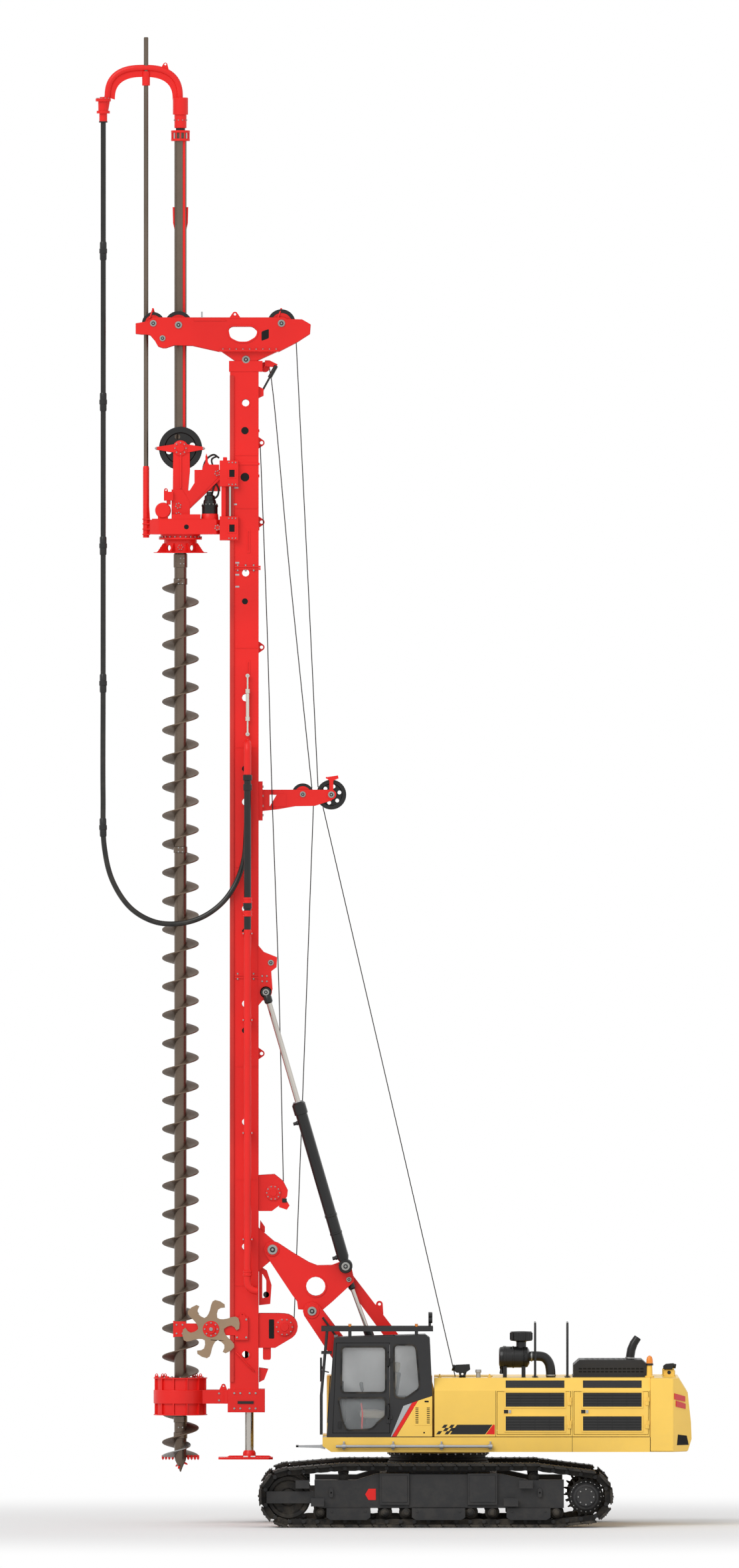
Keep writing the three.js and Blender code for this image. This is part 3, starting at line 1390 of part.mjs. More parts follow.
const cab = group(
  piece("cab", join(cabShell(), cabHinges(true)), DARK),
  piece("windscreen", windscreen(), GLASS),
  piece("cab_guard", cabGuard(), DARK),
  piece("operator_seat", operatorSeat(), CLOTH),
  piece("control_console", controlConsole(), BLACK),
  piece("cab_door", cabDoor(), DARK),
  piece("door_glass", doorGlass(), GLASS),
);

const upper = group(
  piece("upper_frame", upperFrame(), YELLOW),
  piece("engine_housing", engineHousing(), YELLOW),
  bothSides("service_door_front", serviceDoor(0), YELLOW),
  bothSides("service_door_rear", serviceDoor(1), YELLOW),
  piece("engine_block", engineBlock(), DARK),
  piece("counterweight", counterweight(), YELLOW),
  piece("radiator_hood", radiatorHood(), BLACK),
  piece("air_cleaner", airCleaner(), BLACK),
  piece("front_tank", frontTank(), YELLOW),
  piece("main_winch", mainWinch(), DARK),
  cab,
);

const linkage = group(
  piece("boom_arm", boomArm(), RED),
  piece("boom_link", boomLink(), RED),
  piece("delta_frame", deltaFrame(), RED),
  piece("luff_barrels", luffBarrels(), BLACK),
  bothSides("luff_rod", luffRod(), CHROME),
  bothSides("mast_cylinder", mastCylinder(), BLACK),
  bothSides("mast_rod", mastRod(), CHROME),
);

const mastGroup = group(
  piece("mast", mast(), RED),
  piece("mast_head", mastHead(), RED),
  piece("rear_sheave_arm", rearSheaveArm(), RED),
  piece("rear_sheave", rearSheave(), BLACK),
  piece("upper_winch", upperWinch(), RED),
  piece("lower_winch", lowerWinch(), RED),
  piece("concrete_pipe", concretePipe(), RED),
  piece("concrete_hose", concreteHose(), HOSE_RUBBER),
  piece("guide_ring", guideRing(), RED),
  piece("cleaner_arm", cleanerArm(), RED),
  piece("cleaner_wheel", cleanerWheel(), TAN),
  piece("support_jack", supportJack(), CHROME),
);

const headGroup = group(
  piece("head_frame", headFrame(), RED),
  bothSides("head_pulley", headPulley(), DARK),
  piece("rotary_drive", rotaryDrive(), RED),
  piece("guide_pole", guidePole(), STEEL),
  piece("gooseneck", gooseneck(), RED),
  piece("extension_tube", extensionTube(), STEEL),
  piece("auger", auger(), STEEL),
);

export default group(undercarriage, upper, linkage, mastGroup, headGroup);
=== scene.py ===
import json
import math

import bmesh
import bpy
from mathutils import Matrix, Vector
from mathutils.geometry import tessellate_polygon

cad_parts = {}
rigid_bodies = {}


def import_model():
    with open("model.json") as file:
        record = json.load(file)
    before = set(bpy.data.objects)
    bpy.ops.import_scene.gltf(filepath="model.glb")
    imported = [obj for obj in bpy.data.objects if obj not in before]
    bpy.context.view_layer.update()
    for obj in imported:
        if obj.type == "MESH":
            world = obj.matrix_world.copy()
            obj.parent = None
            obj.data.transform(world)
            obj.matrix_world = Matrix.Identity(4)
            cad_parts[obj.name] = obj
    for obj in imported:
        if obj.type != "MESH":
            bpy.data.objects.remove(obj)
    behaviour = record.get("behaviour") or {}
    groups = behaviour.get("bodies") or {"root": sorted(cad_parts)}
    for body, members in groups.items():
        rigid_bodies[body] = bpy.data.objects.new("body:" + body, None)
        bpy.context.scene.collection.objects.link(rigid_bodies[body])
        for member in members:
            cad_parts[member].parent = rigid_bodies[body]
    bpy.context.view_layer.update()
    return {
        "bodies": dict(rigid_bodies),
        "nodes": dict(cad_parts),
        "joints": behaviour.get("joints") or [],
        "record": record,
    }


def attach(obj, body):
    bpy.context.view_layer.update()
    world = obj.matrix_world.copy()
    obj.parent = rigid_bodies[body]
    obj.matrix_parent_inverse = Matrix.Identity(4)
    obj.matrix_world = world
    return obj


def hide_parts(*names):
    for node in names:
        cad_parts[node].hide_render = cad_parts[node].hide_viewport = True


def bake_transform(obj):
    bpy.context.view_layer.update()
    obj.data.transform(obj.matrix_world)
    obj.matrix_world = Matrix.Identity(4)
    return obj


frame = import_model()
LEFT, RIGHT = -1, 1


# ---------- studio
# A side view through a very long lens, so that the tall mast stands straight.
# The lamps are one wide soft sun from the front left, and an even sky all round.
scene = bpy.context.scene
scene.view_settings.view_transform = "Standard"

LENS_MM, SENSOR_MM = 700, 36
VIEW_HEIGHT, VIEW_X, VIEW_Z = 23.62, -0.355, 11.15
camera = bpy.data.objects.new("camera", bpy.data.cameras.new("camera"))
camera.data.lens = LENS_MM
camera.data.sensor_width = SENSOR_MM
camera.data.clip_end = 2000
camera.location = (VIEW_X, -VIEW_HEIGHT * LENS_MM / SENSOR_MM, VIEW_Z)
camera.rotation_euler = (math.radians(90), 0, 0)
scene.collection.objects.link(camera)
scene.camera = camera


def lamp(name, strength, angle, direction):
    light = bpy.data.lights.new(name, "SUN")
    light.energy = strength
    light.angle = math.radians(angle)
    made = bpy.data.objects.new(name, light)
    made.rotation_euler = (-Vector(direction)).to_track_quat("Z", "Y").to_euler()
    scene.collection.objects.link(made)


lamp("key", 1.45, 40, (0.45, 0.75, -0.65))
lamp("fill", 0.35, 90, (-0.7, 0.5, -0.2))

world = bpy.data.worlds.new("studio")
scene.world = world
world.use_nodes = True
sky = world.node_tree
sky.nodes.clear()
path = sky.nodes.new("ShaderNodeLightPath")
seen = sky.nodes.new("ShaderNodeMath")
seen.operation = "MAXIMUM"
seen_clear = sky.nodes.new("ShaderNodeMath")
seen_clear.operation = "MAXIMUM"
sky.links.new(path.outputs["Is Camera Ray"], seen.inputs[0])
sky.links.new(path.outputs["Is Transmission Ray"], seen.inputs[1])
sky.links.new(seen.outputs[0], seen_clear.inputs[0])
sky.links.new(path.outputs["Is Glossy Ray"], seen_clear.inputs[1])
level = sky.nodes.new("ShaderNodeMix")
level.inputs["A"].default_value = 0.6
level.inputs["B"].default_value = 1.0
sky.links.new(seen_clear.outputs[0], level.inputs["Factor"])
backdrop = sky.nodes.new("ShaderNodeBackground")
backdrop.inputs["Color"].default_value = (1, 1, 1, 1)
sky.links.new(level.outputs["Result"], backdrop.inputs["Strength"])
out = sky.nodes.new("ShaderNodeOutputWorld")
sky.links.new(backdrop.outputs[0], out.inputs["Surface"])


# ---------- floor
# A pale studio floor, which fades into the white backdrop away from the machine.
FLOOR_R = 400


def new_material(name):
    made = bpy.data.materials.new(name)
    made.use_nodes = True
    tree = made.node_tree
    return made, tree, tree.nodes["Principled BSDF"]


floor_paint, tree, bsdf = new_material("floor_paint")
bsdf.inputs["Base Color"].default_value = (0.86, 0.86, 0.86, 1)
bsdf.inputs["Roughness"].default_value = 0.9
white = tree.nodes.new("ShaderNodeEmission")
white.inputs["Strength"].default_value = 1.0
place = tree.nodes.new("ShaderNodeNewGeometry")
distance = tree.nodes.new("ShaderNodeVectorMath")
distance.operation = "LENGTH"
fade = tree.nodes.new("ShaderNodeMapRange")
fade.interpolation_type = "SMOOTHSTEP"
fade.inputs["From Min"].default_value = 7
fade.inputs["From Max"].default_value = 20
tree.links.new(place.outputs["Position"], distance.inputs[0])
tree.links.new(distance.outputs["Value"], fade.inputs["Value"])
blend = tree.nodes.new("ShaderNodeMixShader")
tree.links.new(fade.outputs["Result"], blend.inputs["Fac"])
tree.links.new(bsdf.outputs[0], blend.inputs[1])
tree.links.new(white.outputs[0], blend.inputs[2])
tree.links.new(blend.outputs[0], tree.nodes["Material Output"].inputs["Surface"])
bpy.ops.mesh.primitive_circle_add(vertices=64, radius=FLOOR_R, fill_type="NGON")
floor = bpy.context.object
floor.name = "floor"
floor.location.z = -0.002
floor.data.materials.append(floor_paint)


# ---------- concrete hose
# Reinforced rubber hose, 80 mm, from the gooseneck to the line on the mast: it hangs down beside the
# drill string, turns in one loose loop in front of it, and rises to the return bend. Steel couplings
# join its lengths. The points are those of the part, in metres.
HOSE_R = 0.04
HOSE_TOP = 21.12
HOSE_ROUTE = [
    (-4.365, 0, HOSE_TOP),
    (-4.365, 0, 20.72),
    (-4.365, -0.008, 19.5),
    (-4.365, -0.04, 17.8),
    (-4.365, -0.1, 16.0),
    (-4.365, -0.18, 14.2),
    (-4.365, -0.27, 12.5),
    (-4.365, -0.35, 11.0),
    (-4.345, -0.395, 10.2),
    (-4.22, -0.425, 9.69),
    (-3.945, -0.44, 9.28),
    (-3.585, -0.445, 9.075),
    (-3.215, -0.445, 9.05),
    (-2.865, -0.435, 9.15),
    (-2.565, -0.41, 9.37),
    (-2.365, -0.385, 9.66),
    (-2.245, -0.373, 10.02),
    (-2.21, -0.37, 10.45),
    (-2.19, -0.37, 10.9),
    (-2.19, -0.37, 11.3297),
]
COUPLING_HEIGHTS = (19.12, 16.96, 14.75, 12.59, 10.5)


def smooth_line(points, each=10):
    """Points along the centripetal curve that passes through the given ones."""
    points = [Vector(p) for p in points]
    ends = [2 * points[0] - points[1], *points, 2 * points[-1] - points[-2]]
    line = []
    for a, b, c, d in zip(ends, ends[1:], ends[2:], ends[3:]):
        ta, tb = 0, (b - a).length ** 0.5
        tc = tb + (c - b).length ** 0.5
        td = tc + (d - c).length ** 0.5
        for i in range(each):
            t = tb + (tc - tb) * i / each
            ab = a.lerp(b, (t - ta) / (tb - ta))
            bc = b.lerp(c, (t - tb) / (tc - tb))
            cd = c.lerp(d, (t - tc) / (td - tc))
            abc = ab.lerp(bc, (t - ta) / (tc - ta))
            bcd = bc.lerp(cd, (t - tb) / (td - tb))
            line.append(abc.lerp(bcd, (t - tb) / (tc - tb)))
    return line + [points[-1]]


class Build:
    """Solids that are gathered into one piece. Lengths are in metres."""

    def __init__(self):
        self.bm = bmesh.new()
        self.materials = []
        self.index = 0

    def use(self, material):
        if material not in self.materials:
            self.materials.append(material)
        self.index = self.materials.index(material)
        return self

    def faces(self, points, polygons):
        corners = [self.bm.verts.new(p) for p in points]
        for polygon in polygons:
            face = self.bm.faces.new([corners[i] for i in polygon])
            face.material_index = self.index
        return self

    def rings(self, rings, closed=False):
        """A skin through rings of points. Its ends are capped unless it closes on itself."""
        n = len(rings[0])
        points = [p for ring in rings for p in ring]
        polygons = []
        for i in range(len(rings) - (0 if closed else 1)):
            a, b = i * n, (i + 1) % len(rings) * n
            polygons += [(a + k, a + (k + 1) % n, b + (k + 1) % n, b + k) for k in range(n)]
        if not closed:
            polygons += [tuple(reversed(range(n))), tuple(range(len(points) - n, len(points)))]
        return self.faces(points, polygons)

    def turned(self, at, axis, profile, sides=32, closed=False):
        """A turned piece: profile is (distance along the axis, radius) from the point at."""
        along = Vector(axis).normalized()
        across = along.orthogonal().normalized()
        other = along.cross(across)
        rings = []
        for distance, radius in profile:
            middle = Vector(at) + along * distance
            turn = [i / sides * math.tau for i in range(sides)]
            rings.append([middle + (across * math.cos(a) + other * math.sin(a)) * max(radius,
                1e-4) for a in turn])
        return self.rings(rings, closed)

    def rod(self, start, end, radius, sides=24):
        length = (Vector(end) - Vector(start)).length
        return self.turned(start, Vector(end) - Vector(start), [(0, radius), (length, radius)], sides)

    def pipe(self, line, radius, sides=20):
        """A round pipe along a line of points."""
        line = [Vector(p) for p in line]
        across = (line[1] - line[0]).orthogonal().normalized()
        rings = []
        for i, middle in enumerate(line):
            along = (line[min(i + 1, len(line) - 1)] - line[max(i - 1, 0)]).normalized()
            across = (across - along * across.dot(along)).normalized()
            other = along.cross(across)
            r = radius[i] if isinstance(radius, list) else radius
            turn = [k / sides * math.tau for k in range(sides)]
            rings.append([middle + (across * math.cos(a) + other * math.sin(a)) * r for a in turn])
        return self.rings(rings)

    def block(self, x, y, z):
        (x0, x1), (y0, y1), (z0, z1) = x, sorted(y), z
        base = [(x0, y0), (x1, y0), (x1, y1), (x0, y1)]
        return self.rings([[(a, b, z0) for a, b in base], [(a, b, z1) for a, b in base]])

    def plate(self, outline, ends, holes=(), plane="xz"):
        """A flat plate of that outline: plane xz runs along y, xy along z, and yz along x."""
        low, high = sorted(ends)
        put = {
            "xz": lambda a, b, c: (a, c, b),
            "xy": lambda a, b, c: (a, b, c),
            "yz": lambda a, b, c: (c, a, b),
        }[plane]
        loops = [outline, *holes]
        flat = [Vector((a, b, 0)) for loop in loops for a, b in loop]
        caps = tessellate_polygon([[Vector((a, b, 0)) for a, b in loop] for loop in loops])
        n = len(flat)
        points = [put(p.x, p.y, low) for p in flat] + [put(p.x, p.y, high) for p in flat]
        polygons = [tuple(t) for t in caps] + [tuple(i + n for i in reversed(t)) for t in caps]
        start = 0
        for loop in loops:
            m = len(loop)
            polygons += [(start + k, start + (k + 1) % m, start + (k + 1) % m + n,
                start + k + n) for k in range(m)]
            start += m
        return self.faces(points, polygons)

    def bolts(self, centres, axis, radius=0.016, height=0.014):
        for centre in centres:
            self.turned(centre, axis, [(-0.004, radius), (height, radius)], 6)
        return self

    def mirrored(self):
        """Adds the same again on the other side of the machine."""
        kept = bmesh.ops.duplicate(self.bm,
            geom=self.bm.faces[:] + self.bm.edges[:] + self.bm.verts[:])["geom"]
        for v in (g for g in kept if isinstance(g, bmesh.types.BMVert)):
            v.co.y = -v.co.y
        bmesh.ops.reverse_faces(self.bm, faces=[g for g in kept if isinstance(g, bmesh.types.BMFace)])
        return self

    def piece(self, name, body, slot=None, replaces=(), bevel=0.004, between=None):
        """The finished piece, on its body, with its edges broken."""
        mesh = bpy.data.meshes.new(name)
        bmesh.ops.recalc_face_normals(self.bm, faces=self.bm.faces)
        self.bm.to_mesh(mesh)
        self.bm.free()
        for material in self.materials:
            mesh.materials.append(material)
        made = bpy.data.objects.new(name, mesh)
        scene.collection.objects.link(made)
        finish_edges(made, bevel)
        if between:
            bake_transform(made)
        else:
            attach(made, body)
        if replaces:
            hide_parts(*replaces)
        return made


SMOOTH_UNDER = math.radians(32)


def finish_edges(made, bevel):
    """Smooth shading across shallow angles, and a small chamfer on every sharp edge."""
    made.data.polygons.foreach_set("use_smooth", [True] * len(made.data.polygons))
    made.data.set_sharp_from_angle(angle=SMOOTH_UNDER)
    if bevel:
        chamfer = made.modifiers.new("edges", "BEVEL")
        chamfer.width = bevel
        chamfer.segments = 2
        chamfer.limit_method = "ANGLE"
        chamfer.angle_limit = math.radians(40)
        chamfer.use_clamp_overlap = True
        chamfer.harden_normals = False


def new_group(name, inputs, outputs):
    """A shader node group with named inputs (name, default) and named outputs."""
    made = bpy.data.node_groups.new(name, "ShaderNodeTree")
    for title, value in inputs:
        kind = "NodeSocketColor" if isinstance(value, tuple) else "NodeSocketFloat"
        made.interface.new_socket(title, in_out="INPUT", socket_type=kind).default_value = value
    for title, kind in outputs:
        made.interface.new_socket(title, in_out="OUTPUT", socket_type=kind)
    start = made.nodes.new("NodeGroupInput")
    end = made.nodes.new("NodeGroupOutput")
    return made, start, end


# Paint, dust and wear: a slow drift of tone, fine dirt that gathers low down, and small scratches.
weathering, start, end = new_group(
    "weathering",
    [("Paint", (0.8, 0.03, 0.03, 1)), ("Dust", (0.35, 0.3, 0.24, 1)), ("Tone", 0.12), ("Dust Amount", 0.1),
     ("Dust Height", 1.2), ("Roughness", 0.4)],
    [("Color", "NodeSocketColor"), ("Roughness", "NodeSocketFloat"), ("Height", "NodeSocketFloat")],
)
nodes, links = weathering.nodes, weathering.links
spot = nodes.new("ShaderNodeTexCoord")
slow = nodes.new("ShaderNodeTexNoise")
slow.inputs["Scale"].default_value = 0.9
slow.inputs["Detail"].default_value = 5
fine = nodes.new("ShaderNodeTexNoise")
fine.inputs["Scale"].default_value = 38
fine.inputs["Detail"].default_value = 6
fine.inputs["Roughness"].default_value = 0.7
patch = nodes.new("ShaderNodeTexNoise")
patch.inputs["Scale"].default_value = 5.5
patch.inputs["Detail"].default_value = 8
patch.inputs["Roughness"].default_value = 0.65
for texture in (slow, fine, patch):
    links.new(spot.outputs["Object"], texture.inputs["Vector"])
tone = nodes.new("ShaderNodeMapRange")
tone.inputs["From Min"].default_value = 0.3
tone.inputs["From Max"].default_value = 0.7
spread = nodes.new("ShaderNodeMath")
spread.operation = "SUBTRACT"
spread.inputs[0].default_value = 1.0
links.new(start.outputs["Tone"], spread.inputs[1])
links.new(slow.outputs["Fac"], tone.inputs["Value"])
links.new(spread.outputs[0], tone.inputs["To Min"])
tone.inputs["To Max"].default_value = 1.04
shade = nodes.new("ShaderNodeMix")
shade.data_type = "RGBA"
shade.blend_type = "MULTIPLY"
shade.inputs["Factor"].default_value = 1.0
links.new(start.outputs["Paint"], shade.inputs["A"])
links.new(tone.outputs["Result"], shade.inputs["B"])
split = nodes.new("ShaderNodeSeparateXYZ")
links.new(spot.outputs["Object"], split.inputs[0])
low = nodes.new("ShaderNodeMapRange")
low.inputs["From Min"].default_value = 0
low.inputs["To Min"].default_value = 1
low.inputs["To Max"].default_value = 0.12
links.new(split.outputs["Z"], low.inputs["Value"])
links.new(start.outputs["Dust Height"], low.inputs["From Max"])
dirt = nodes.new("ShaderNodeMapRange")
dirt.inputs["From Min"].default_value = 0.42
dirt.inputs["From Max"].default_value = 0.6
links.new(patch.outputs["Fac"], dirt.inputs["Value"])
some = nodes.new("ShaderNodeMath")
some.operation = "MULTIPLY"
links.new(low.outputs["Result"], some.inputs[0])
links.new(dirt.outputs["Result"], some.inputs[1])
amount = nodes.new("ShaderNodeMath")
amount.operation = "MULTIPLY"
links.new(some.outputs[0], amount.inputs[0])
links.new(start.outputs["Dust Amount"], amount.inputs[1])
dusty = nodes.new("ShaderNodeMix")
dusty.data_type = "RGBA"
links.new(amount.outputs[0], dusty.inputs["Factor"])
links.new(shade.outputs["Result"], dusty.inputs["A"])
links.new(start.outputs["Dust"], dusty.inputs["B"])
links.new(dusty.outputs["Result"], end.inputs["Color"])
grain = nodes.new("ShaderNodeMath")
grain.operation = "MULTIPLY_ADD"
grain.inputs[1].default_value = 0.22
links.new(fine.outputs["Fac"], grain.inputs[0])
links.new(start.outputs["Roughness"], grain.inputs[2])
dull = nodes.new("ShaderNodeMath")
dull.operation = "ADD"
dull.use_clamp = True
links.new(grain.outputs[0], dull.inputs[0])
links.new(amount.outputs[0], dull.inputs[1])
links.new(dull.outputs[0], end.inputs["Roughness"])
links.new(fine.outputs["Fac"], end.inputs["Height"])


def finish_of(name, paint, roughness=0.4, metallic=0.0, coat=0.0, dust=0.1, tone=0.1, bump=0.1,
    dust_height=1.2,
              dust_color=(0.30, 0.25, 0.19)):
    """A finished surface over the shared weathering."""
    made, tree, bsdf = new_material(name)
    weather = tree.nodes.new("ShaderNodeGroup")
    weather.node_tree = weathering
    weather.inputs["Paint"].default_value = (*paint, 1)
    weather.inputs["Dust"].default_value = (*dust_color, 1)
    weather.inputs["Tone"].default_value = tone
    weather.inputs["Dust Amount"].default_value = dust
    weather.inputs["Dust Height"].default_value = dust_height
    weather.inputs["Roughness"].default_value = roughness - 0.11
    relief = tree.nodes.new("ShaderNodeBump")
    relief.inputs["Strength"].default_value = bump
    relief.inputs["Distance"].default_value = 0.001
    tree.links.new(weather.outputs["Color"], bsdf.inputs["Base Color"])
    tree.links.new(weather.outputs["Roughness"], bsdf.inputs["Roughness"])
    tree.links.new(weather.outputs["Height"], relief.inputs["Height"])
    tree.links.new(relief.outputs["Normal"], bsdf.inputs["Normal"])
    bsdf.inputs["Metallic"].default_value = metallic
    bsdf.inputs["Specular IOR Level"].default_value = 0.25
    if coat:
        bsdf.inputs["Coat Weight"].default_value = coat
        bsdf.inputs["Coat Roughness"].default_value = 0.12
    return made


RUBBER = finish_of("hose_rubber_black", (0.010, 0.010, 0.009), 0.32, coat=0.25, dust=0.12, tone=0.2,
    bump=0.25, dust_height=14)
BOLT_STEEL = finish_of("bolt_steel", (0.32, 0.32, 0.31), 0.38, metallic=0.9, dust=0.1)
BLACK_STEEL = finish_of("black_steel", (0.018, 0.018, 0.018), 0.4, metallic=0.3, coat=0.2)

HOSE_ENDS = ("mast", "head", (-2.19, 0, 11.0), (-5.96, 0, 11.636))
line = smooth_line(HOSE_ROUTE)
hose = Build().use(RUBBER).pipe(line, HOSE_R, 20).piece(
    "concrete_hose_run", None, "hose_rubber", ["concrete_hose"], 0, HOSE_ENDS
)
couplings = Build().use(BLACK_STEEL)
for height in COUPLING_HEIGHTS:
    at = min(range(len(line) // 2), key=lambda i: abs(line[i].z - height))
    along = line[at + 1] - line[at - 1]
    couplings.turned(
        line[at] - along.normalized() * 0.14, along,
        [(0, 0.046), (0.02, 0.052), (0.1, 0.052), (0.11, 0.06), (0.17, 0.06), (0.18, 0.052), (0.26, 0.052),
         (0.28, 0.046)],
        20,
    )
hose_couplings = couplings.piece("hose_couplings", None, "hose_rubber", (), 0.002, HOSE_ENDS)


# ---------- crawler tracks
# Triple-grouser shoes, bolted to a sealed chain of links that runs on rollers. Cast and forged
# steel, black with oil and dry soil. One closed loop on each side.
DARK = finish_of("dark_grey_paint", (0.024, 0.024, 0.025), 0.5, coat=0.08, tone=0.12, dust=0.05, bump=0.2)
CAST = finish_of("track_steel", (0.022, 0.021, 0.020), 0.55, metallic=0.3, tone=0.3, dust=0.2, bump=0.5)


def circle(centre, radius, count=32, start=0.0):
    """Points round a circle in the plane of the first two coordinates."""
    turn = [start + i / count * math.tau for i in range(count)]
    return [(centre[0] + radius * math.cos(a), centre[1] + radius * math.sin(a)) for a in turn]


def hull(points):
    """The convex outline round 2-D points, anticlockwise."""
    ordered = sorted(set(points))

    def chain(items):
        kept = []
        for p in items:
            while len(kept) > 1:
                (ax, ay), (bx, by) = kept[-2], kept[-1]
                if (bx - ax) * (p[1] - ay) - (by - ay) * (p[0] - ax) > 1e-12:
                    break
                kept.pop()
            kept.append(p)
        return kept[:-1]

    return chain(ordered) + chain(ordered[::-1])


TRACK_Y, SHOE, SHOES = 1.775, 0.8, 52
IDLER, SPROCKET = (-1.57, 0.45, 0.32), (2.89, 0.46, 0.28)
ROLLER_FIRST, ROLLER_LAST, ROLLER_COUNT, ROLLER_Z, ROLLER_R = -1.09, 2.45, 12, 0.225, 0.095
CARRIER_X, CARRIER_Z = (-0.75, 2.11), 0.75
rounds = [IDLER, SPROCKET, (ROLLER_FIRST, ROLLER_Z, ROLLER_R), (ROLLER_LAST, ROLLER_Z, ROLLER_R)]
rounds += [(x, CARRIER_Z, 0.09) for x in CARRIER_X]
loop = hull([p for x, z, r in rounds for p in circle((x, z), r, 96)])
spans = [(Vector(a), Vector(b)) for a, b in zip(loop, loop[1:] + loop[:1])]
loop_length = sum((b - a).length for a, b in spans)


def on_loop(distance):
    """The point, the way along and the way out of the track line, at a distance round it."""
    distance %= loop_length
    for a, b in spans:
        if distance <= (b - a).length:
            along = (b - a).normalized()
            return a + along * distance, along, Vector((along.y, -along.x))
        distance -= (b - a).length
    return spans[0][0], Vector((1, 0)), Vector((0, -1))


PITCH = loop_length / SHOES
EDGE = PITCH / 2 - 0.003
SHOE_SECTION = [
    (-EDGE - 0.02, 0.085), (-EDGE - 0.02, 0.102), (-EDGE, 0.104), (-EDGE, 0.123), (-0.05, 0.123),
        (-0.043, 0.13),
    (-0.03, 0.13), (-0.023, 0.123), (0.023, 0.123), (0.03, 0.13), (0.043, 0.13), (0.05, 0.123),
        (EDGE, 0.123),
    (EDGE + 0.02, 0.121), (EDGE + 0.02, 0.106), (EDGE, 0.106), (EDGE, 0.085),
]
LINK_SECTION = [
    (-0.135, 0.045), (-0.115, 0.014), (-0.05, 0.004), (0.05, 0.004), (0.115, 0.014), (0.135, 0.045),
    (0.1, 0.084), (-0.1, 0.084),
]
tracks = Build().use(CAST)
for i in range(SHOES):
    middle, along, outward = on_loop(i * PITCH)
    place = lambda u, w: tuple(middle + along * u + outward * w)
    tracks.plate([place(*p) for p in SHOE_SECTION], (-TRACK_Y - SHOE / 2, -TRACK_Y + SHOE / 2))
    for side in (LEFT, RIGHT):
        y = -TRACK_Y + side * 0.105
        tracks.plate([place(*p) for p in LINK_SECTION], (y - 0.024, y + 0.024))
    joint_at, along, outward = on_loop((i + 0.5) * PITCH)
    pin = joint_at + outward * 0.045
    tracks.use(DARK).rod((pin.x, -TRACK_Y - 0.165, pin.y), (pin.x, -TRACK_Y + 0.165, pin.y), 0.03, 14)
    tracks.use(CAST)
    for u in (-0.05, 0.05):
        for y in (-0.105, 0.105):
            bolt = middle + along * u + outward * 0.115
            tracks.turned((bolt.x, -TRACK_Y + y, bolt.y), (outward.x, 0, outward.y),
                [(0, 0.016), (0.014, 0.016)], 6)
tracks.mirrored().piece("track_chains", "undercarriage", "track_steel", ["track_left", "track_right"], 0)


# ---------- track frames
# Welded box frames that carry the flanged rollers, the idler in its front yoke, and the drive wheel
# with its gear case. Steps, guards and lugs are welded on. The small plate is plain red.
RED = finish_of("rig_red", (0.76, 0.012, 0.009), 0.42, coat=0.12, tone=0.1, dust=0.02, bump=0.12)
FRAME_HALF = 0.22
OUTER = -TRACK_Y - FRAME_HALF
BEAM_X, BEAM_W = (0.02, 1.34), 0.44
side_frame = Build().use(DARK)
side_frame.plate(
    [
        (-1.18, 0.33), (-1.1, 0.29), (2.56, 0.29), (2.56, 0.71), (2.02, 0.71), (1.62, 0.8), (-0.26, 0.8),
        (-0.55, 0.71), (-1.18, 0.71),
    ],
    (OUTER, OUTER + 2 * FRAME_HALF),
)
side_frame.block((-1.9, -1.1), (-TRACK_Y - 0.2, -TRACK_Y - 0.16), (0.36, 0.54))
side_frame.block((-1.9, -1.1), (-TRACK_Y + 0.16, -TRACK_Y + 0.2), (0.36, 0.54))
for x in BEAM_X:
    low, high = x - BEAM_W / 2, x + BEAM_W / 2
    side_frame.block((low, high), (OUTER - 0.06, OUTER + 0.01), (0.34, 0.81))
    side_frame.block((low + 0.03, high - 0.03), (OUTER - 0.075, OUTER), (0.38, 0.78))
side_frame.block((0.24, 1.12), (OUTER - 0.012, OUTER), (0.3, 0.79))
for x, z, w in ((-1.36, 0.59, 0.2), (1.99, 0.59, 0.2), (-1.135, 0.32, 0.19), (1.765, 0.32, 0.21)):
    side_frame.block((x - w / 2, x + w / 2), (OUTER - 0.12, OUTER + 0.01), (z, z + 0.09))
    side_frame.block((x - w / 2 - 0.004, x + w / 2 + 0.004), (OUTER - 0.128, OUTER - 0.115),
        (z - 0.004, z + 0.12))
for x in (-0.93, 2.2):
    lug = hull(circle((x, 0.48), 0.03, 20) + circle((x, 0.56), 0.03, 20))
    side_frame.plate(lug, (OUTER - 0.05, OUTER), [circle((x, 0.52), 0.014, 12)])
for low, high in ((-1.0, -0.34), (0.28, 1.08), (1.7, 2.36)):
    guard = [(low, 0.29), (high, 0.29), (high, 0.15), (high - 0.06, 0.11), (low + 0.06, 0.11), (low, 0.15)]
    for y in (-TRACK_Y - 0.275, -TRACK_Y + 0.255):
        side_frame.plate(guard, (y, y + 0.02))
    side_frame.bolts([(x, OUTER - 0.055, 0.24) for x in (low + 0.08, high - 0.08)], (0, -1, 0))
for x in CARRIER_X:
    side_frame.block((x - 0.06, x + 0.06), (-TRACK_Y - 0.06, -TRACK_Y + 0.06), (0.7, CARRIER_Z))
side_frame.use(CAST)
for i in range(ROLLER_COUNT):
    x = ROLLER_FIRST + i * (ROLLER_LAST - ROLLER_FIRST) / (ROLLER_COUNT - 1)
    side_frame.turned(
        (x, -TRACK_Y - 0.26, ROLLER_Z), (0, 1, 0),
        [(0, 0.028), (0.006, 0.042), (0.03, 0.045), (0.035, 0.062), (0.07, 0.066), (0.1, 0.094),
            (0.19, 0.094),
         (0.195, 0.11), (0.325, 0.11), (0.33, 0.094), (0.42, 0.094), (0.45, 0.066), (0.49, 0.045),
             (0.52, 0.042)],
        28,
    )
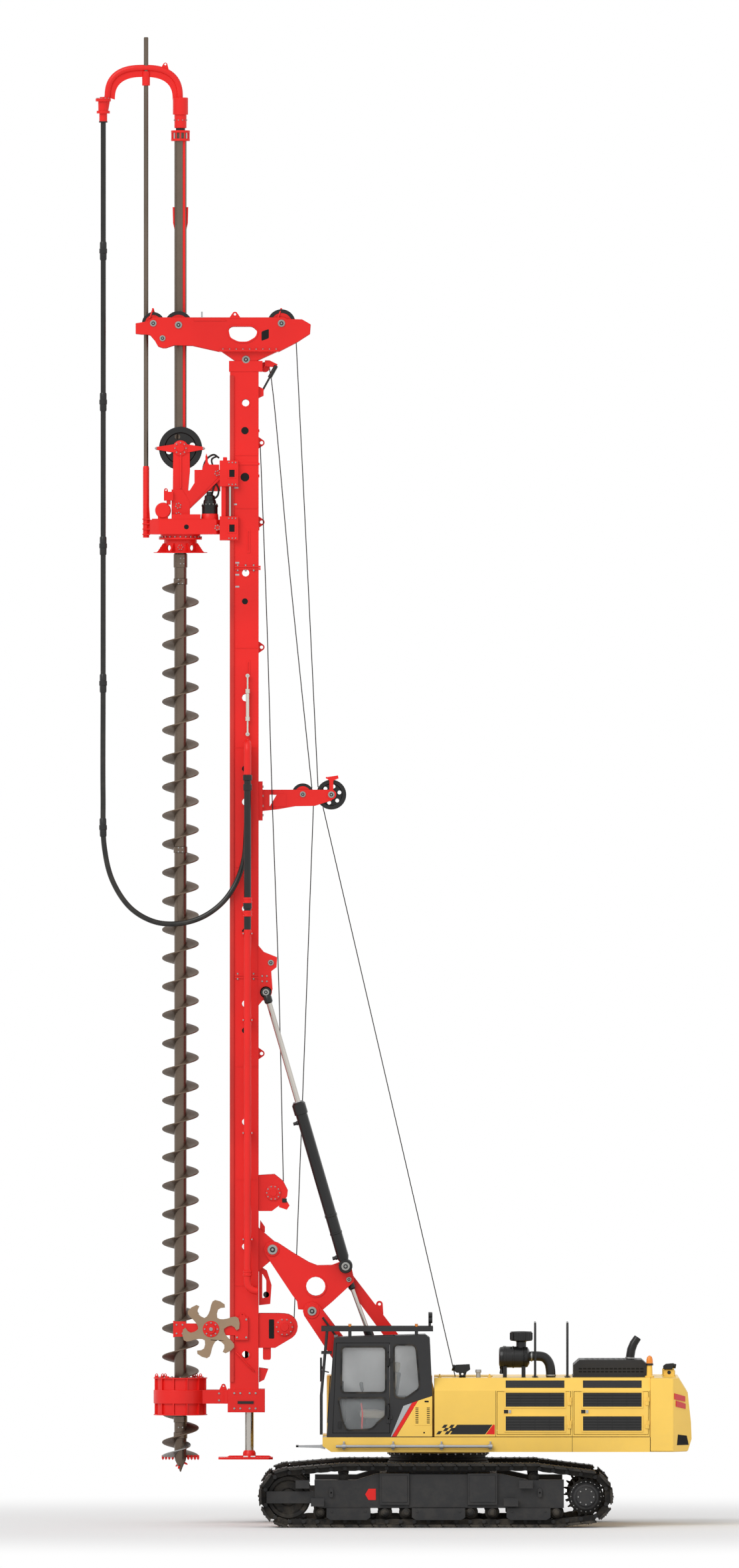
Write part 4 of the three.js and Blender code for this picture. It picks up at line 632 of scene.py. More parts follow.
for x in CARRIER_X:
    side_frame.turned(
        (x, -TRACK_Y - 0.13, CARRIER_Z), (0, 1, 0),
        [(0, 0.03), (0.005, 0.05), (0.02, 0.052), (0.03, 0.083), (0.1, 0.083), (0.11, 0.07), (0.15, 0.07),
         (0.16, 0.083), (0.24, 0.083)],
        28,
    )
side_frame.turned(
    (IDLER[0], -TRACK_Y - 0.19, IDLER[1]), (0, 1, 0),
    [(0, 0.05), (0.01, 0.07), (0.06, 0.075), (0.07, 0.12), (0.1, 0.14), (0.11, 0.24), (0.08, 0.262),
        (0.08, 0.311),
     (0.14, 0.311), (0.145, 0.335), (0.235, 0.335), (0.24, 0.311), (0.3, 0.311), (0.3, 0.262),
         (0.27, 0.24),
     (0.28, 0.12), (0.32, 0.075), (0.38, 0.07)],
    56,
)
TEETH = 18
gear = []
for i in range(TEETH):
    for share, r in ((0.0, 0.262), (0.28, 0.262), (0.42, 0.312), (0.58, 0.312), (0.72, 0.262)):
        a = (i + share) / TEETH * math.tau
        gear.append((SPROCKET[0] + r * math.cos(a), SPROCKET[1] + r * math.sin(a)))
side_frame.plate(gear, (-TRACK_Y - 0.03, -TRACK_Y + 0.03), [circle(SPROCKET[:2], 0.2, 32)])
side_frame.use(DARK)
side_frame.turned(
    (SPROCKET[0], -TRACK_Y - 0.345, SPROCKET[1]), (0, 1, 0),
    [(0, 0.07), (0, 0.135), (0.012, 0.15), (0.045, 0.155), (0.05, 0.185), (0.07, 0.205), (0.1, 0.215),
        (0.2, 0.215),
     (0.21, 0.238), (0.3, 0.238), (0.31, 0.215), (0.4, 0.215), (0.41, 0.19), (0.56, 0.19)],
    56,
)
side_frame.use(BOLT_STEEL)
side_frame.bolts([(x, -TRACK_Y - 0.135, z) for x, z in circle(SPROCKET[:2], 0.226, 20)], (0, -1, 0), 0.011)
side_frame.bolts([(x, -TRACK_Y - 0.343, z) for x, z in circle(SPROCKET[:2], 0.115, 8)], (0, -1, 0), 0.012)
side_frame.use(RED)
side_frame.plate(
    [(-0.26, 0.41), (-0.26, 0.58), (-0.37, 0.58), (-0.42, 0.495), (-0.37, 0.41)], (OUTER - 0.006, OUTER)
)
side_frame.mirrored().piece(
    "track_side_frames", "undercarriage", "undercarriage_paint",
        ["track_frame_left", "track_frame_right"], 0.004
)


# ---------- carbody and slewing ring
# The welded centre box between the tracks, and the bolted slewing ring with its outer teeth.

# Shading of the kept CAD nodes: doubled vertices are merged, and only their sharp edges stay sharp.
edge_tree = bpy.data.node_groups.new("merge_and_smooth", "GeometryNodeTree")
edge_tree.interface.new_socket("Mesh", in_out="INPUT", socket_type="NodeSocketGeometry")
edge_tree.interface.new_socket("Mesh", in_out="OUTPUT", socket_type="NodeSocketGeometry")
start, end = edge_tree.nodes.new("NodeGroupInput"), edge_tree.nodes.new("NodeGroupOutput")
merge = edge_tree.nodes.new("GeometryNodeMergeByDistance")
merge.inputs["Distance"].default_value = 0.0002
angle = edge_tree.nodes.new("GeometryNodeInputMeshEdgeAngle")
shallow = edge_tree.nodes.new("FunctionNodeCompare")
shallow.operation = "LESS_THAN"
shallow.inputs["B"].default_value = SMOOTH_UNDER
by_face = edge_tree.nodes.new("GeometryNodeSetShadeSmooth")
by_edge = edge_tree.nodes.new("GeometryNodeSetShadeSmooth")
by_edge.domain = "EDGE"
edge_tree.links.new(start.outputs[0], merge.inputs[0])
edge_tree.links.new(merge.outputs[0], by_face.inputs["Geometry"])
edge_tree.links.new(by_face.outputs[0], by_edge.inputs["Geometry"])
edge_tree.links.new(angle.outputs["Unsigned Angle"], shallow.inputs["A"])
edge_tree.links.new(shallow.outputs[0], by_edge.inputs["Shade Smooth"])
edge_tree.links.new(by_edge.outputs[0], end.inputs[0])


def keep_nodes(material, *names, bevel=0.006):
    """CAD nodes that stay in view get their finish, and a broken edge."""
    for name in names:
        node = frame["nodes"][name]
        node.data.materials.clear()
        node.data.materials.append(material)
        if "custom_normal" in node.data.attributes:
            node.data.attributes.remove(node.data.attributes["custom_normal"])
        node.modifiers.new("shading", "NODES").node_group = edge_tree
        chamfer = node.modifiers.new("edges", "BEVEL")
        chamfer.width = bevel
        chamfer.segments = 1
        chamfer.limit_method = "ANGLE"
        chamfer.angle_limit = math.radians(40)
        chamfer.harden_normals = True


keep_nodes(DARK, "carbody", bevel=0.01)
SLEW_X = 0.678
ring = Build().use(CAST).turned(
    (SLEW_X, 0, 0.961), (0, 0, 1),
    [(0, 0.565), (0, 0.735), (0.008, 0.74), (0.045, 0.74), (0.05, 0.715), (0.075, 0.715), (0.08, 0.74),
        (0.123, 0.74),
     (0.123, 0.565)],
    96, True,
)
ring.use(BOLT_STEEL).bolts([(SLEW_X + x, y, 1.078) for x, y in circle((0, 0), 0.755, 36)], (0, 0, -1),
    0.012, 0.02)
ring.piece("slewing_ring", "undercarriage", "undercarriage_paint", ["slew_ring"], 0)


# ---------- deck of the upper carriage
# A welded platform of yellow plate, with a folded lower edge. A grey tube rail stands off its left
# side on clamps, and a short step bar folds out in front of it.
YELLOW = finish_of("rig_yellow", (0.93, 0.60, 0.11), 0.4, coat=0.2, tone=0.07, dust=0.07, dust_height=2.2)
GREY = finish_of("galvanised_grey", (0.42, 0.43, 0.44), 0.45, metallic=0.35, tone=0.12, dust=0.1)
# SHADOW is a flat near-black. It is painted shade in holes, slots, windows and recesses, and the plain
# dark of the panel joints.
SHADOW = finish_of("painted_shade_and_joint_black", (0.006, 0.006, 0.006), 0.8, dust=0.05, bump=0.05)
SIDE_Y = -1.48
DECK_Z = (1.12, 1.34)
keep_nodes(YELLOW, "upper_frame", bevel=0.01)
trim = Build().use(GREY)
trim.rod((-0.86, SIDE_Y - 0.055, 1.205), (1.48, SIDE_Y - 0.055, 1.205), 0.021)
for x in (-0.74, 0.0, 0.725, 1.46):
    trim.block((x - 0.012, x + 0.012), (SIDE_Y - 0.03, SIDE_Y), (1.15, 1.28))
    trim.turned((x - 0.03, SIDE_Y - 0.055, 1.205), (1, 0, 0), [(0, 0.034), (0.06, 0.034)], 20)
    trim.bolts([(x, SIDE_Y - 0.03, z) for z in (1.165, 1.265)], (0, -1, 0), 0.012)
trim.plate(
    [(-1.46, 1.19), (-1.1, 1.18), (-1.02, 1.16), (-1.02, 1.24), (-1.1, 1.225), (-1.46, 1.22)],
    (SIDE_Y + 0.02, SIDE_Y + 0.07),
)
trim.block((-1.46, -1.42), (SIDE_Y + 0.02, SIDE_Y + 0.4), (1.19, 1.22))
trim.piece("deck_rail", "upper", "frame_paint", (), 0.002)

seams = Build().use(SHADOW)
for x in (0.86 + 1.83, 3.858):
    seams.block((x - 0.003, x + 0.003), (SIDE_Y - 0.001, SIDE_Y + 0.01), DECK_Z)
    seams.block((x - 0.003, x + 0.003), (-SIDE_Y + 0.001, -SIDE_Y - 0.01), DECK_Z)
seams.piece("deck_seams", "upper", "black_paint", (), 0)


# ---------- engine housing and its doors
# Folded sheet panels over the engine. Each side has two hinged doors. Every door holds two sets of black
# louvres, and a third set lies on the slope above it. Paddle latches are plain.
BLACK = finish_of("black_paint", (0.008, 0.008, 0.008), 0.34, coat=0.25, tone=0.2, dust=0.04)
keep_nodes(YELLOW, "engine_housing", "front_tank", bevel=0.012)
DOORS = {"front": (1.69, 2.57), "rear": (2.85, 3.73)}
DOOR_ROWS = ((1.80, 2.01), (1.44, 1.655))
SLOPE = ((SIDE_Y, 2.04), (-1.3, 2.23))


def louvres(build, x, z, y, out):
    """A framed opening with sloping blades, on the face at y that looks the way out points. A near-black
    plate behind the blades is painted shade.
    """
    low, high = x
    build.use(YELLOW)
    for a, b, c, d in ((low - 0.022, high + 0.022, z[0] - 0.02, z[0]),
        (low - 0.022, high + 0.022, z[1], z[1] + 0.02),
                       (low - 0.022, low, z[0], z[1]), (high, high + 0.022, z[0], z[1])):
        build.block((a, b), (y, y + out * 0.012), (c, d))
    # A thin near-black plate behind the blades: painted shade in the opening.
    build.use(SHADOW).block((low, high), (y, y + out * 0.002), z)
    build.use(BLACK)
    blades = max(2, round((z[1] - z[0]) / 0.042))
    step = (z[1] - z[0]) / blades
    for i in range(blades):
        foot = z[0] + i * step
        section = [(y + out * 0.002, foot + step), (y + out * 0.002, foot + step * 0.8),
            (y + out * 0.01, foot),
                   (y + out * 0.01, foot + step * 0.22)]
        build.plate(section, (low, high), plane="yz")
    for share in (0.25, 0.5, 0.75):
        x_mid = low + (high - low) * share
        build.block((x_mid - 0.004, x_mid + 0.004), (y, y + out * 0.011), z)


def latch(build, x, z, y, out):
    build.use(YELLOW).block((x - 0.065, x + 0.065), (y, y + out * 0.006), (z - 0.036, z + 0.036))
    build.use(BLACK).block((x - 0.052, x + 0.01), (y, y + out * 0.012), (z - 0.026, z + 0.026))
    build.use(GREY).block((x + 0.018, x + 0.054), (y, y + out * 0.014), (z - 0.022, z + 0.022))


for end_name, span in DOORS.items():
    for side, side_name in ((LEFT, "left"), (RIGHT, "right")):
        keep_nodes(YELLOW, f"service_door_{end_name}_{side_name}", bevel=0.006)
        fitted = Build()
        for row in DOOR_ROWS:
            louvres(fitted, span, row, -side * SIDE_Y, side)
        latch(fitted, span[0] + 0.025, 1.727, -side * SIDE_Y, side)
        fitted.piece(f"door_louvres_{end_name}_{side_name}", f"service_door_{end_name}_{side_name}",
                     "black_paint", (), 0.0015)

upper_vents = Build()
for span in DOORS.values():
    (y0, z0), (y1, z1) = SLOPE
    out = Vector((z1 - z0, y0 - y1)).normalized()
    at = lambda share, lift: (y0 + (y1 - y0) * share - out.x * lift, z0 + (z1 - z0) * share - out.y * lift)
    upper_vents.use(BLACK).plate([at(0.22, -0.004), at(0.78, -0.004), at(0.78, 0.006), at(0.22, 0.006)],
        span, plane="yz")
    for i in range(4):
        share = 0.26 + i * 0.13
        upper_vents.plate([at(share, 0.006), at(share + 0.1, 0.006), at(share + 0.07, 0.014)],
                          (span[0] + 0.015, span[1] - 0.015), plane="yz")
upper_vents.mirrored().piece("slope_louvres", "upper", "black_paint", (), 0.0015)

housing_trim = Build().use(SHADOW)
for x in (0.612, 1.54, 2.69, 3.85):
    housing_trim.block((x - 0.003, x + 0.003), (SIDE_Y - 0.001, SIDE_Y + 0.01), (1.345, 2.04))
housing_trim.block((0.62, 3.85), (SIDE_Y - 0.001, SIDE_Y + 0.01), (1.343, 1.352))
housing_trim.use(YELLOW)
for x in (0.7, 1.45):
    housing_trim.turned((x, -0.9, 2.23), (0, 0, 1),
        [(0, 0.03), (0.012, 0.03), (0.02, 0.012), (0.05, 0.012)], 16)
housing_trim.use(GREY)
housing_trim.turned((1.28, -1.0, 2.23), (0, 0, 1),
    [(0, 0.034), (0.07, 0.034), (0.075, 0.045), (0.115, 0.045),
                                                    (0.12, 0.035)], 28)
housing_trim.piece("housing_trim", "upper", "yellow_paint", (), 0.002)

# Stripes in place of the lettering: a black band with its chequered tail and its red end, left bare.
stripes = Build().use(BLACK)
band = (1.385, 1.53)
slant = 0.11
FACE = (SIDE_Y - 0.0016, SIDE_Y + 0.002)


def slanted(x0, x1, z0, z1):
    shift = lambda z: (z - band[0]) * slant / (band[1] - band[0])
    return [(x0 + shift(z0), z0), (x1 + shift(z0), z0), (x1 + shift(z1), z1), (x0 + shift(z1), z1)]


stripes.plate(slanted(0.85, 1.38, *band), FACE)
row = (band[1] - band[0]) / 3
for i, starts in enumerate(((0.645, 0.77), (0.71, 0.8), (0.655, 0.76))):
    for x in starts:
        stripes.plate(slanted(x, x + 0.055, band[0] + i * row, band[0] + (i + 1) * row), FACE)
stripes.use(RED).plate([(1.39, band[0]), (1.525, band[0]), (1.525, band[1]), (1.39 + slant, band[1])],
    FACE)
stripes.piece("side_stripes", "upper", "yellow_paint", (), 0)


# ---------- roof equipment
# Two hoops of the walkway rail, the black work lamp, the air cleaner with its rain cap and dust valve, the
# radiator hood with its slots, the exhaust, and the amber beacon.
AMBER = finish_of("amber_lens", (0.85, 0.25, 0.01), 0.2, coat=0.6, dust=0.03, bump=0.02)
ROOF = 2.23
rails = Build().use(BLACK)
for x in (2.135, 2.62):
    rails.pipe([(x, -1.18, ROOF), (x, -1.18, 2.99), (x, -1.14, 3.04), (x, -1.08, 3.05), (x, -0.42, 3.05),
                (x, -0.36, 3.04), (x, -0.32, 2.99), (x, -0.32, ROOF)], 0.016, 14)
    for y in (-1.18, -0.32):
        rails.turned((x, y, ROOF), (0, 0, 1), [(0, 0.045), (0.01, 0.045), (0.012, 0.02), (0.03, 0.018)],
            20)
rails.piece("walkway_rail", "upper", "black_paint", (), 0)

LAMP_X, LAMP_Y = 1.04, -0.95
work_lamp = Build().use(BLACK)
work_lamp.block((LAMP_X - 0.05, LAMP_X + 0.05), (LAMP_Y - 0.06, LAMP_Y + 0.06), (ROOF, 2.25))
for y in (LAMP_Y - 0.06, LAMP_Y + 0.05):
    work_lamp.plate([(LAMP_X - 0.04, ROOF), (LAMP_X + 0.04, ROOF), (LAMP_X + 0.08, 2.36),
        (LAMP_X - 0.06, 2.34)],
                    (y, y + 0.01), [circle((LAMP_X, 2.28), 0.018, 16)])
work_lamp.plate([(LAMP_X - 0.13, 2.33), (LAMP_X - 0.1, 2.42), (LAMP_X + 0.11, 2.43), (LAMP_X + 0.12, 2.35),
                 (LAMP_X + 0.06, 2.31), (LAMP_X - 0.08, 2.3)], (LAMP_Y - 0.09, LAMP_Y + 0.09))
work_lamp.turned((LAMP_X - 0.115, LAMP_Y, 2.37), (-1, 0, 0.3),
    [(0, 0.045), (0.03, 0.05), (0.035, 0.042)], 24)
work_lamp.piece("work_lamp", "upper", "black_paint", (), 0.004)

AIR_Y = -0.88
cleaner = Build().use(BLACK)
cleaner.turned(
    (1.59, AIR_Y, 2.535), (1, 0, 0),
    [(0, 0.1), (0.004, 0.13), (0.02, 0.15), (0.06, 0.158), (0.065, 0.168), (0.085, 0.168), (0.09, 0.16),
        (0.2, 0.16),
     (0.205, 0.166), (0.225, 0.166), (0.23, 0.16), (0.36, 0.16), (0.365, 0.166), (0.385, 0.166),
         (0.39, 0.16),
     (0.43, 0.15), (0.46, 0.1)],
    48,
)
for x in (1.68, 1.96):
    cleaner.turned((x - 0.02, AIR_Y, 2.535), (1, 0, 0), [(0, 0.166), (0.04, 0.166)], 48)
    cleaner.block((x - 0.03, x + 0.03), (AIR_Y - 0.09, AIR_Y + 0.09), (ROOF, 2.4))
    cleaner.bolts([(x, AIR_Y + y, 2.235) for y in (-0.115, 0.115)], (0, 0, 1), 0.012)
cleaner.turned((1.925, AIR_Y, 2.66), (0, 0, 1),
    [(0, 0.075), (0.1, 0.075), (0.11, 0.085), (0.12, 0.16), (0.125, 0.165),
                                                 (0.25, 0.165), (0.26, 0.15), (0.265, 0.05)], 48)
for i in range(20):
    a = i / 20 * math.tau
    x, y = 1.925 + 0.16 * math.cos(a), AIR_Y + 0.16 * math.sin(a)
    cleaner.block((x - 0.012, x + 0.012), (y - 0.012, y + 0.012), (2.795, 2.9))
cleaner.turned((1.63, AIR_Y, 2.41), (0, 0, -1),
    [(0, 0.03), (0.04, 0.03), (0.06, 0.022), (0.12, 0.034), (0.13, 0.02)], 24)
duct = smooth_line([(2.0, AIR_Y, 2.54), (2.14, AIR_Y, 2.55), (2.27, AIR_Y, 2.53), (2.34, AIR_Y, 2.45),
                    (2.365, AIR_Y, 2.34), (2.37, AIR_Y, ROOF)], 8)
cleaner.pipe(duct, 0.072, 32)
cleaner.use(BOLT_STEEL)
cleaner.turned((2.07, AIR_Y, 2.545), (1, 0, 0), [(0, 0.078), (0.022, 0.078)], 40)
cleaner.turned((2.37, AIR_Y, 2.25), (0, 0, 1), [(0, 0.078), (0.022, 0.078)], 40)
cleaner.piece("air_cleaner_unit", "upper", "black_paint", ["air_cleaner"], 0.002)

HOOD = ((2.71, ROOF), (3.83, ROOF), (3.83, 2.41), (3.74, 2.49), (2.8, 2.49), (2.71, 2.41))
HOOD_Y = 0.76
hood = Build().use(DARK).plate(HOOD, (-HOOD_Y, HOOD_Y))
hood.block((2.7, 3.84), (-HOOD_Y - 0.01, HOOD_Y + 0.01), (ROOF, 2.25))
# The slots in the hood's sides and top are thin near-black blocks: painted shade in place of openings.
hood.use(SHADOW)
for row, z in enumerate((2.3, 2.345)):
    for i in range(15):
        x = 2.79 + i * 0.066
        hood.block((x, x + 0.052), (-HOOD_Y - 0.0015, HOOD_Y + 0.0015), (z, z + 0.024))
for row, x_start in enumerate((2.88, 2.9)):
    y = 0.25 + row * 0.22
    for side in (LEFT, RIGHT):
        for i in range(10):
            x = x_start + i * 0.08
            hood.block((x, x + 0.062), (side * y, side * (y + 0.12)), (2.485, 2.4915))
hood.use(BLACK).pipe([(3.56, -0.42, 2.45), (3.57, -0.42, 2.55), (3.585, -0.42, 2.64), (3.62, -0.42, 2.73),
                      (3.68, -0.42, 2.82)], [0.066, 0.066, 0.066, 0.062, 0.058], 32)
# A near-black disc inside the exhaust mouth is painted shade.
hood.use(SHADOW).turned((3.677, -0.42, 2.816), (0.55, 0, 0.84), [(0, 0.05), (0.01, 0.05)], 24)
hood.use(BOLT_STEEL).turned((3.563, -0.42, 2.5), (0.05, 0, 1), [(0, 0.073), (0.025, 0.073)], 32)
hood.piece("radiator_hood_shell", "upper", "black_paint", ["radiator_hood"], 0.004)

beacon = Build().use(YELLOW)
beacon.turned((3.855, -0.95, ROOF), (0, 0, 1), [(0, 0.07), (0.02, 0.07), (0.03, 0.045), (0.18, 0.04)], 28)
beacon.use(BLACK).turned((3.855, -0.95, 2.41), (0, 0, 1), [(0, 0.055), (0.03, 0.055)], 32)
beacon.use(AMBER).turned((3.855, -0.95, 2.44), (0, 0, 1),
    [(0, 0.05), (0.06, 0.048), (0.1, 0.035), (0.118, 0.01)], 32)
beacon.piece("beacon", "upper", "yellow_paint", (), 0.001)


# ---------- counterweight
# Cast iron slabs under yellow paint, bolted to the back of the deck, with two lifting lugs, a rear
# camera, and
# plain red lamps and a step recess in its chamfered corners.
LAMP_RED = finish_of("red_lens", (0.62, 0.01, 0.01), 0.2, coat=0.6, dust=0.03, bump=0.02)
keep_nodes(YELLOW, "counterweight", bevel=0.02)
TAIL = Build().use(BLACK)
for y in (-0.7, 0.7):
    TAIL.turned((4.15, y - 0.046, 2.3), (0, 1, 0), [(0, 0.028), (0.092, 0.028)], 20)
TAIL.plate([(4.06, 2.35), (4.2, 2.35), (4.22, 2.44), (4.1, 2.43), (4.06, 2.4)], (-0.78, -0.64))
TAIL.turned((4.21, -0.71, 2.4), (1, 0, -0.2), [(0, 0.035), (0.04, 0.035), (0.045, 0.03)], 24)
TAIL.piece("rear_camera", "upper", "black_paint", (), 0.004)

CORNER_FROM, CORNER_TO = Vector((4.2, -1.48)), Vector((4.5, -1.05))
corner_along = (CORNER_TO - CORNER_FROM).normalized()
corner_out = Vector((corner_along.y, -corner_along.x))


def on_corner(share, lift, z):
    """A point on the chamfered left rear corner."""
    flat = CORNER_FROM + (CORNER_TO - CORNER_FROM) * share + corner_out * lift
    return (flat.x, flat.y, z)


lamps = Build().use(LAMP_RED)
for z, shares in ((1.93, (0.06, 0.6)), (1.82, (0.14, 0.62))):
    a, b = shares
    lamps.rings([[on_corner(a, lift, z - 0.02), on_corner(b, lift, z - 0.06), on_corner(b, lift, z + 0.02),
                  on_corner(a, lift, z + 0.07)] for lift in (-0.01, 0.012)])
# The step recess is a near-black sheet on each rear corner: painted shade in place of a recess.
lamps.use(SHADOW).rings([
    [on_corner(0.2, lift, 1.22), on_corner(0.8, lift, 1.22), on_corner(0.7, lift, 1.36),
        on_corner(0.25, lift, 1.38)]
    for lift in (-0.01, 0.003)
])
lamps.mirrored().piece("tail_lamps", "upper", "black_paint", (), 0.002)


# ---------- cab
# A welded cab shell in dark grey, with rubber-sealed panes, a grab handle, a latch recess and a mirror.
# A yellow panel with a vent covers the lower rear corner, behind a grey and a red stripe.
keep_nodes(DARK, "cab", "cab_door", bevel=0.008)
keep_nodes(DARK, "cab_guard", bevel=0.004)
CAB_Y = -1.48

PANE, tree, bsdf = new_material("tinted_glass")
bsdf.inputs["Base Color"].default_value = (0.60, 0.63, 0.64, 1)
bsdf.inputs["Roughness"].default_value = 0.03
bsdf.inputs["IOR"].default_value = 1.45
bsdf.inputs["Alpha"].default_value = 0.3
smear = tree.nodes.new("ShaderNodeTexNoise")
smear.inputs["Scale"].default_value = 2.5
smear.inputs["Detail"].default_value = 7
film = tree.nodes.new("ShaderNodeMapRange")
film.inputs["From Min"].default_value = 0.35
film.inputs["From Max"].default_value = 0.75
film.inputs["To Min"].default_value = 0.13
film.inputs["To Max"].default_value = 0.22
place = tree.nodes.new("ShaderNodeTexCoord")
tree.links.new(place.outputs["Object"], smear.inputs["Vector"])
tree.links.new(smear.outputs["Fac"], film.inputs["Value"])
tree.links.new(film.outputs["Result"], bsdf.inputs["Alpha"])
keep_nodes(PANE, "windscreen", "door_glass", bevel=0)
RUBBER_SEAL = finish_of("window_seal", (0.012, 0.012, 0.012), 0.7, dust=0.25, bump=0.3, dust_height=4)

QUARTER = [(0.02, 2.72), (0.03, 1.95), (0.18, 1.93), (0.39, 2.08), (0.34, 2.66), (0.31, 2.72)]
DOOR_PANES = (
    [(-0.765, 2.69), (-0.77, 2.02), (-0.12, 2.02), (-0.12, 2.69)],
    [(-0.82, 1.925), (-0.12, 1.925), (-0.12, 1.66), (-0.22, 1.59), (-0.32, 1.47), (-0.7, 1.45),
        (-0.76, 1.61)],
)


def rounded(outline, radius, steps=5):
    """The outline with its corners rounded by quadratic arcs."""
    made = []
    for i, p in enumerate(outline):
        before, here, after = Vector(outline[i - 1]), Vector(p), Vector(outline[(i + 1) % len(outline)])
        start = here + (before - here).normalized() * min(radius, (before - here).length * 0.45)
        stop = here + (after - here).normalized() * min(radius, (after - here).length * 0.45)
        for k in range(steps + 1):
            t = k / steps
            made.append(tuple(start * (1 - t) ** 2 + here * 2 * t * (1 - t) + stop * t * t))
    return made


def grown(outline, by):
    """The outline with every side moved outwards."""
    n = len(outline)
    area = sum(outline[i - 1][0] * outline[i][1] - outline[i][0] * outline[i - 1][1] for i in range(n))
    turn = 1 if area > 0 else -1
    made = []
    for i, p in enumerate(outline):
        here = Vector(p)
        a = (here - Vector(outline[i - 1])).normalized()
        b = (Vector(outline[(i + 1) % n]) - here).normalized()
        out = (Vector((a.y, -a.x)) + Vector((b.y, -b.x))) * turn
        made.append(tuple(here + out.normalized() * by / max(0.5, out.length / 2)))
    return made


def seal(build, outline, y, width=0.022, proud=0.006):
    build.use(RUBBER_SEAL)
    build.plate(rounded(grown(outline, width), 0.07), (y, y - proud),
        [rounded(grown(outline, -0.004), 0.055)])


cab_fit = Build()
seal(cab_fit, QUARTER, CAB_Y)
cab_fit.use(PANE).plate(rounded(QUARTER, 0.05), (CAB_Y + 0.02, CAB_Y + 0.026))
RIGHT_PANE = [(-0.8, 1.95), (0.4, 1.95), (0.37, 2.72), (-0.76, 2.72)]
FILM = finish_of("grey_film", (0.66, 0.66, 0.66), 0.5, dust=0.02, tone=0.03, bump=0.02)
cab_fit.use(FILM).plate(RIGHT_PANE, (-0.545, -0.539))
cab_fit.use(PANE)
cab_fit.plate([(-1.35, 2.08), (-0.65, 2.08), (-0.65, 2.72), (-1.35, 2.72)], (0.556, 0.562), plane="yz")
cab_fit.plate([(-0.62, -1.3), (0.02, -1.3), (0.02, -0.7), (-0.62, -0.7)], (2.835, 2.841), plane="xy")
cab_fit.piece("cab_panes", "upper", "window_glass", (), 0.001)

door_fit = Build()
for outline in DOOR_PANES:
    seal(door_fit, outline, CAB_Y)
door_fit.use(BLACK)
door_fit.plate(rounded([(-0.83, 1.46), (-0.77, 1.46), (-0.77, 1.58), (-0.83, 1.58)], 0.02),
    (CAB_Y, CAB_Y - 0.004))
door_fit.plate(rounded([(-0.82, 1.49), (-0.785, 1.49), (-0.785, 1.56), (-0.82, 1.56)], 0.012),
    (CAB_Y, CAB_Y - 0.02))
for z in (1.62, 2.4):
    door_fit.pipe([(-0.07, CAB_Y, z), (-0.07, CAB_Y - 0.04, z + 0.02), (-0.07, CAB_Y - 0.045, z + 0.05),
                   (-0.07, CAB_Y - 0.045, z + 0.17), (-0.07, CAB_Y - 0.04, z + 0.2),
                       (-0.07, CAB_Y, z + 0.22)], 0.011, 12)
door_fit.piece("door_trim", "cab_door", "cab_paint", (), 0.002)

PANEL_FACE = (CAB_Y - 0.008, CAB_Y + 0.004)
panel = Build().use(YELLOW)
panel.plate([(0.05, 1.352), (0.586, 1.352), (0.586, 1.96), (0.375, 1.89)], PANEL_FACE)
panel.use(RED).plate([(-0.015, 1.352), (0.045, 1.352), (0.37, 1.888), (0.285, 1.858)], PANEL_FACE)
panel.use(GREY).plate([(-0.035, 1.352), (-0.02, 1.352), (0.28, 1.856), (0.155, 1.812)], PANEL_FACE)
panel.use(YELLOW).plate(rounded([(0.31, 1.52), (0.57, 1.52), (0.57, 1.81), (0.31, 1.81)], 0.03),
                        (CAB_Y - 0.013, CAB_Y - 0.006))
# The vent slots, the slot above them and the dot below are thin near-black pieces: painted shade in place
# of openings.
panel.use(SHADOW)
for column in (0.335, 0.505):
    for i in range(9):
        z = 1.55 + i * 0.028
        panel.block((column, column + 0.045), (CAB_Y - 0.0138, CAB_Y - 0.01), (z, z + 0.013))
panel.plate(rounded([(0.47, 1.865), (0.535, 1.865), (0.535, 1.89), (0.47, 1.89)], 0.01),
    (CAB_Y - 0.0095, CAB_Y - 0.004))
panel.turned((0.465, CAB_Y - 0.0095, 1.41), (0, 1, 0), [(0, 0.013), (0.004, 0.013)], 16)
panel.piece("cab_side_panel", "upper", "yellow_paint", (), 0.002)

extras = Build().use(BLACK)
for x, y in ((0.55, -1.36), (0.55, -0.64)):
    extras.rod((x, y, 2.98), (x, y, 3.06), 0.02, 16)
    extras.turned((x - 0.02, y, 3.1), (1, 0, 0), [(0, 0.05), (0.05, 0.05), (0.06, 0.042)], 24)
    extras.turned((x - 0.02, y, 3.17), (1, 0, 0), [(0, 0.036), (0.05, 0.036), (0.06, 0.03)], 24)
extras.pipe([(-0.97, -0.62, 2.3), (-1.05, -0.56, 2.32), (-1.08, -0.54, 2.4), (-1.08, -0.54, 2.5)], 0.01,
    12)
extras.plate(rounded([(-0.62, 2.16), (-0.46, 2.16), (-0.46, 2.52), (-0.62, 2.52)], 0.03), (-1.1, -1.07),
    plane="yz")
extras.pipe([(-0.985, -1.0, 1.55), (-0.965, -0.95, 1.9), (-0.945, -0.78, 2.25)], 0.008, 10)
extras.use(AMBER)
for x in (-0.65, 0.35):
    for y in (-1.44, -0.56):
        extras.turned((x, y, 2.998), (0, 0, 1),
            [(0, 0.016), (0.012, 0.016), (0.016, 0.024), (0.03, 0.024)], 16)
extras.piece("cab_lamps_and_mirror", "upper", "black_paint", (), 0.002)


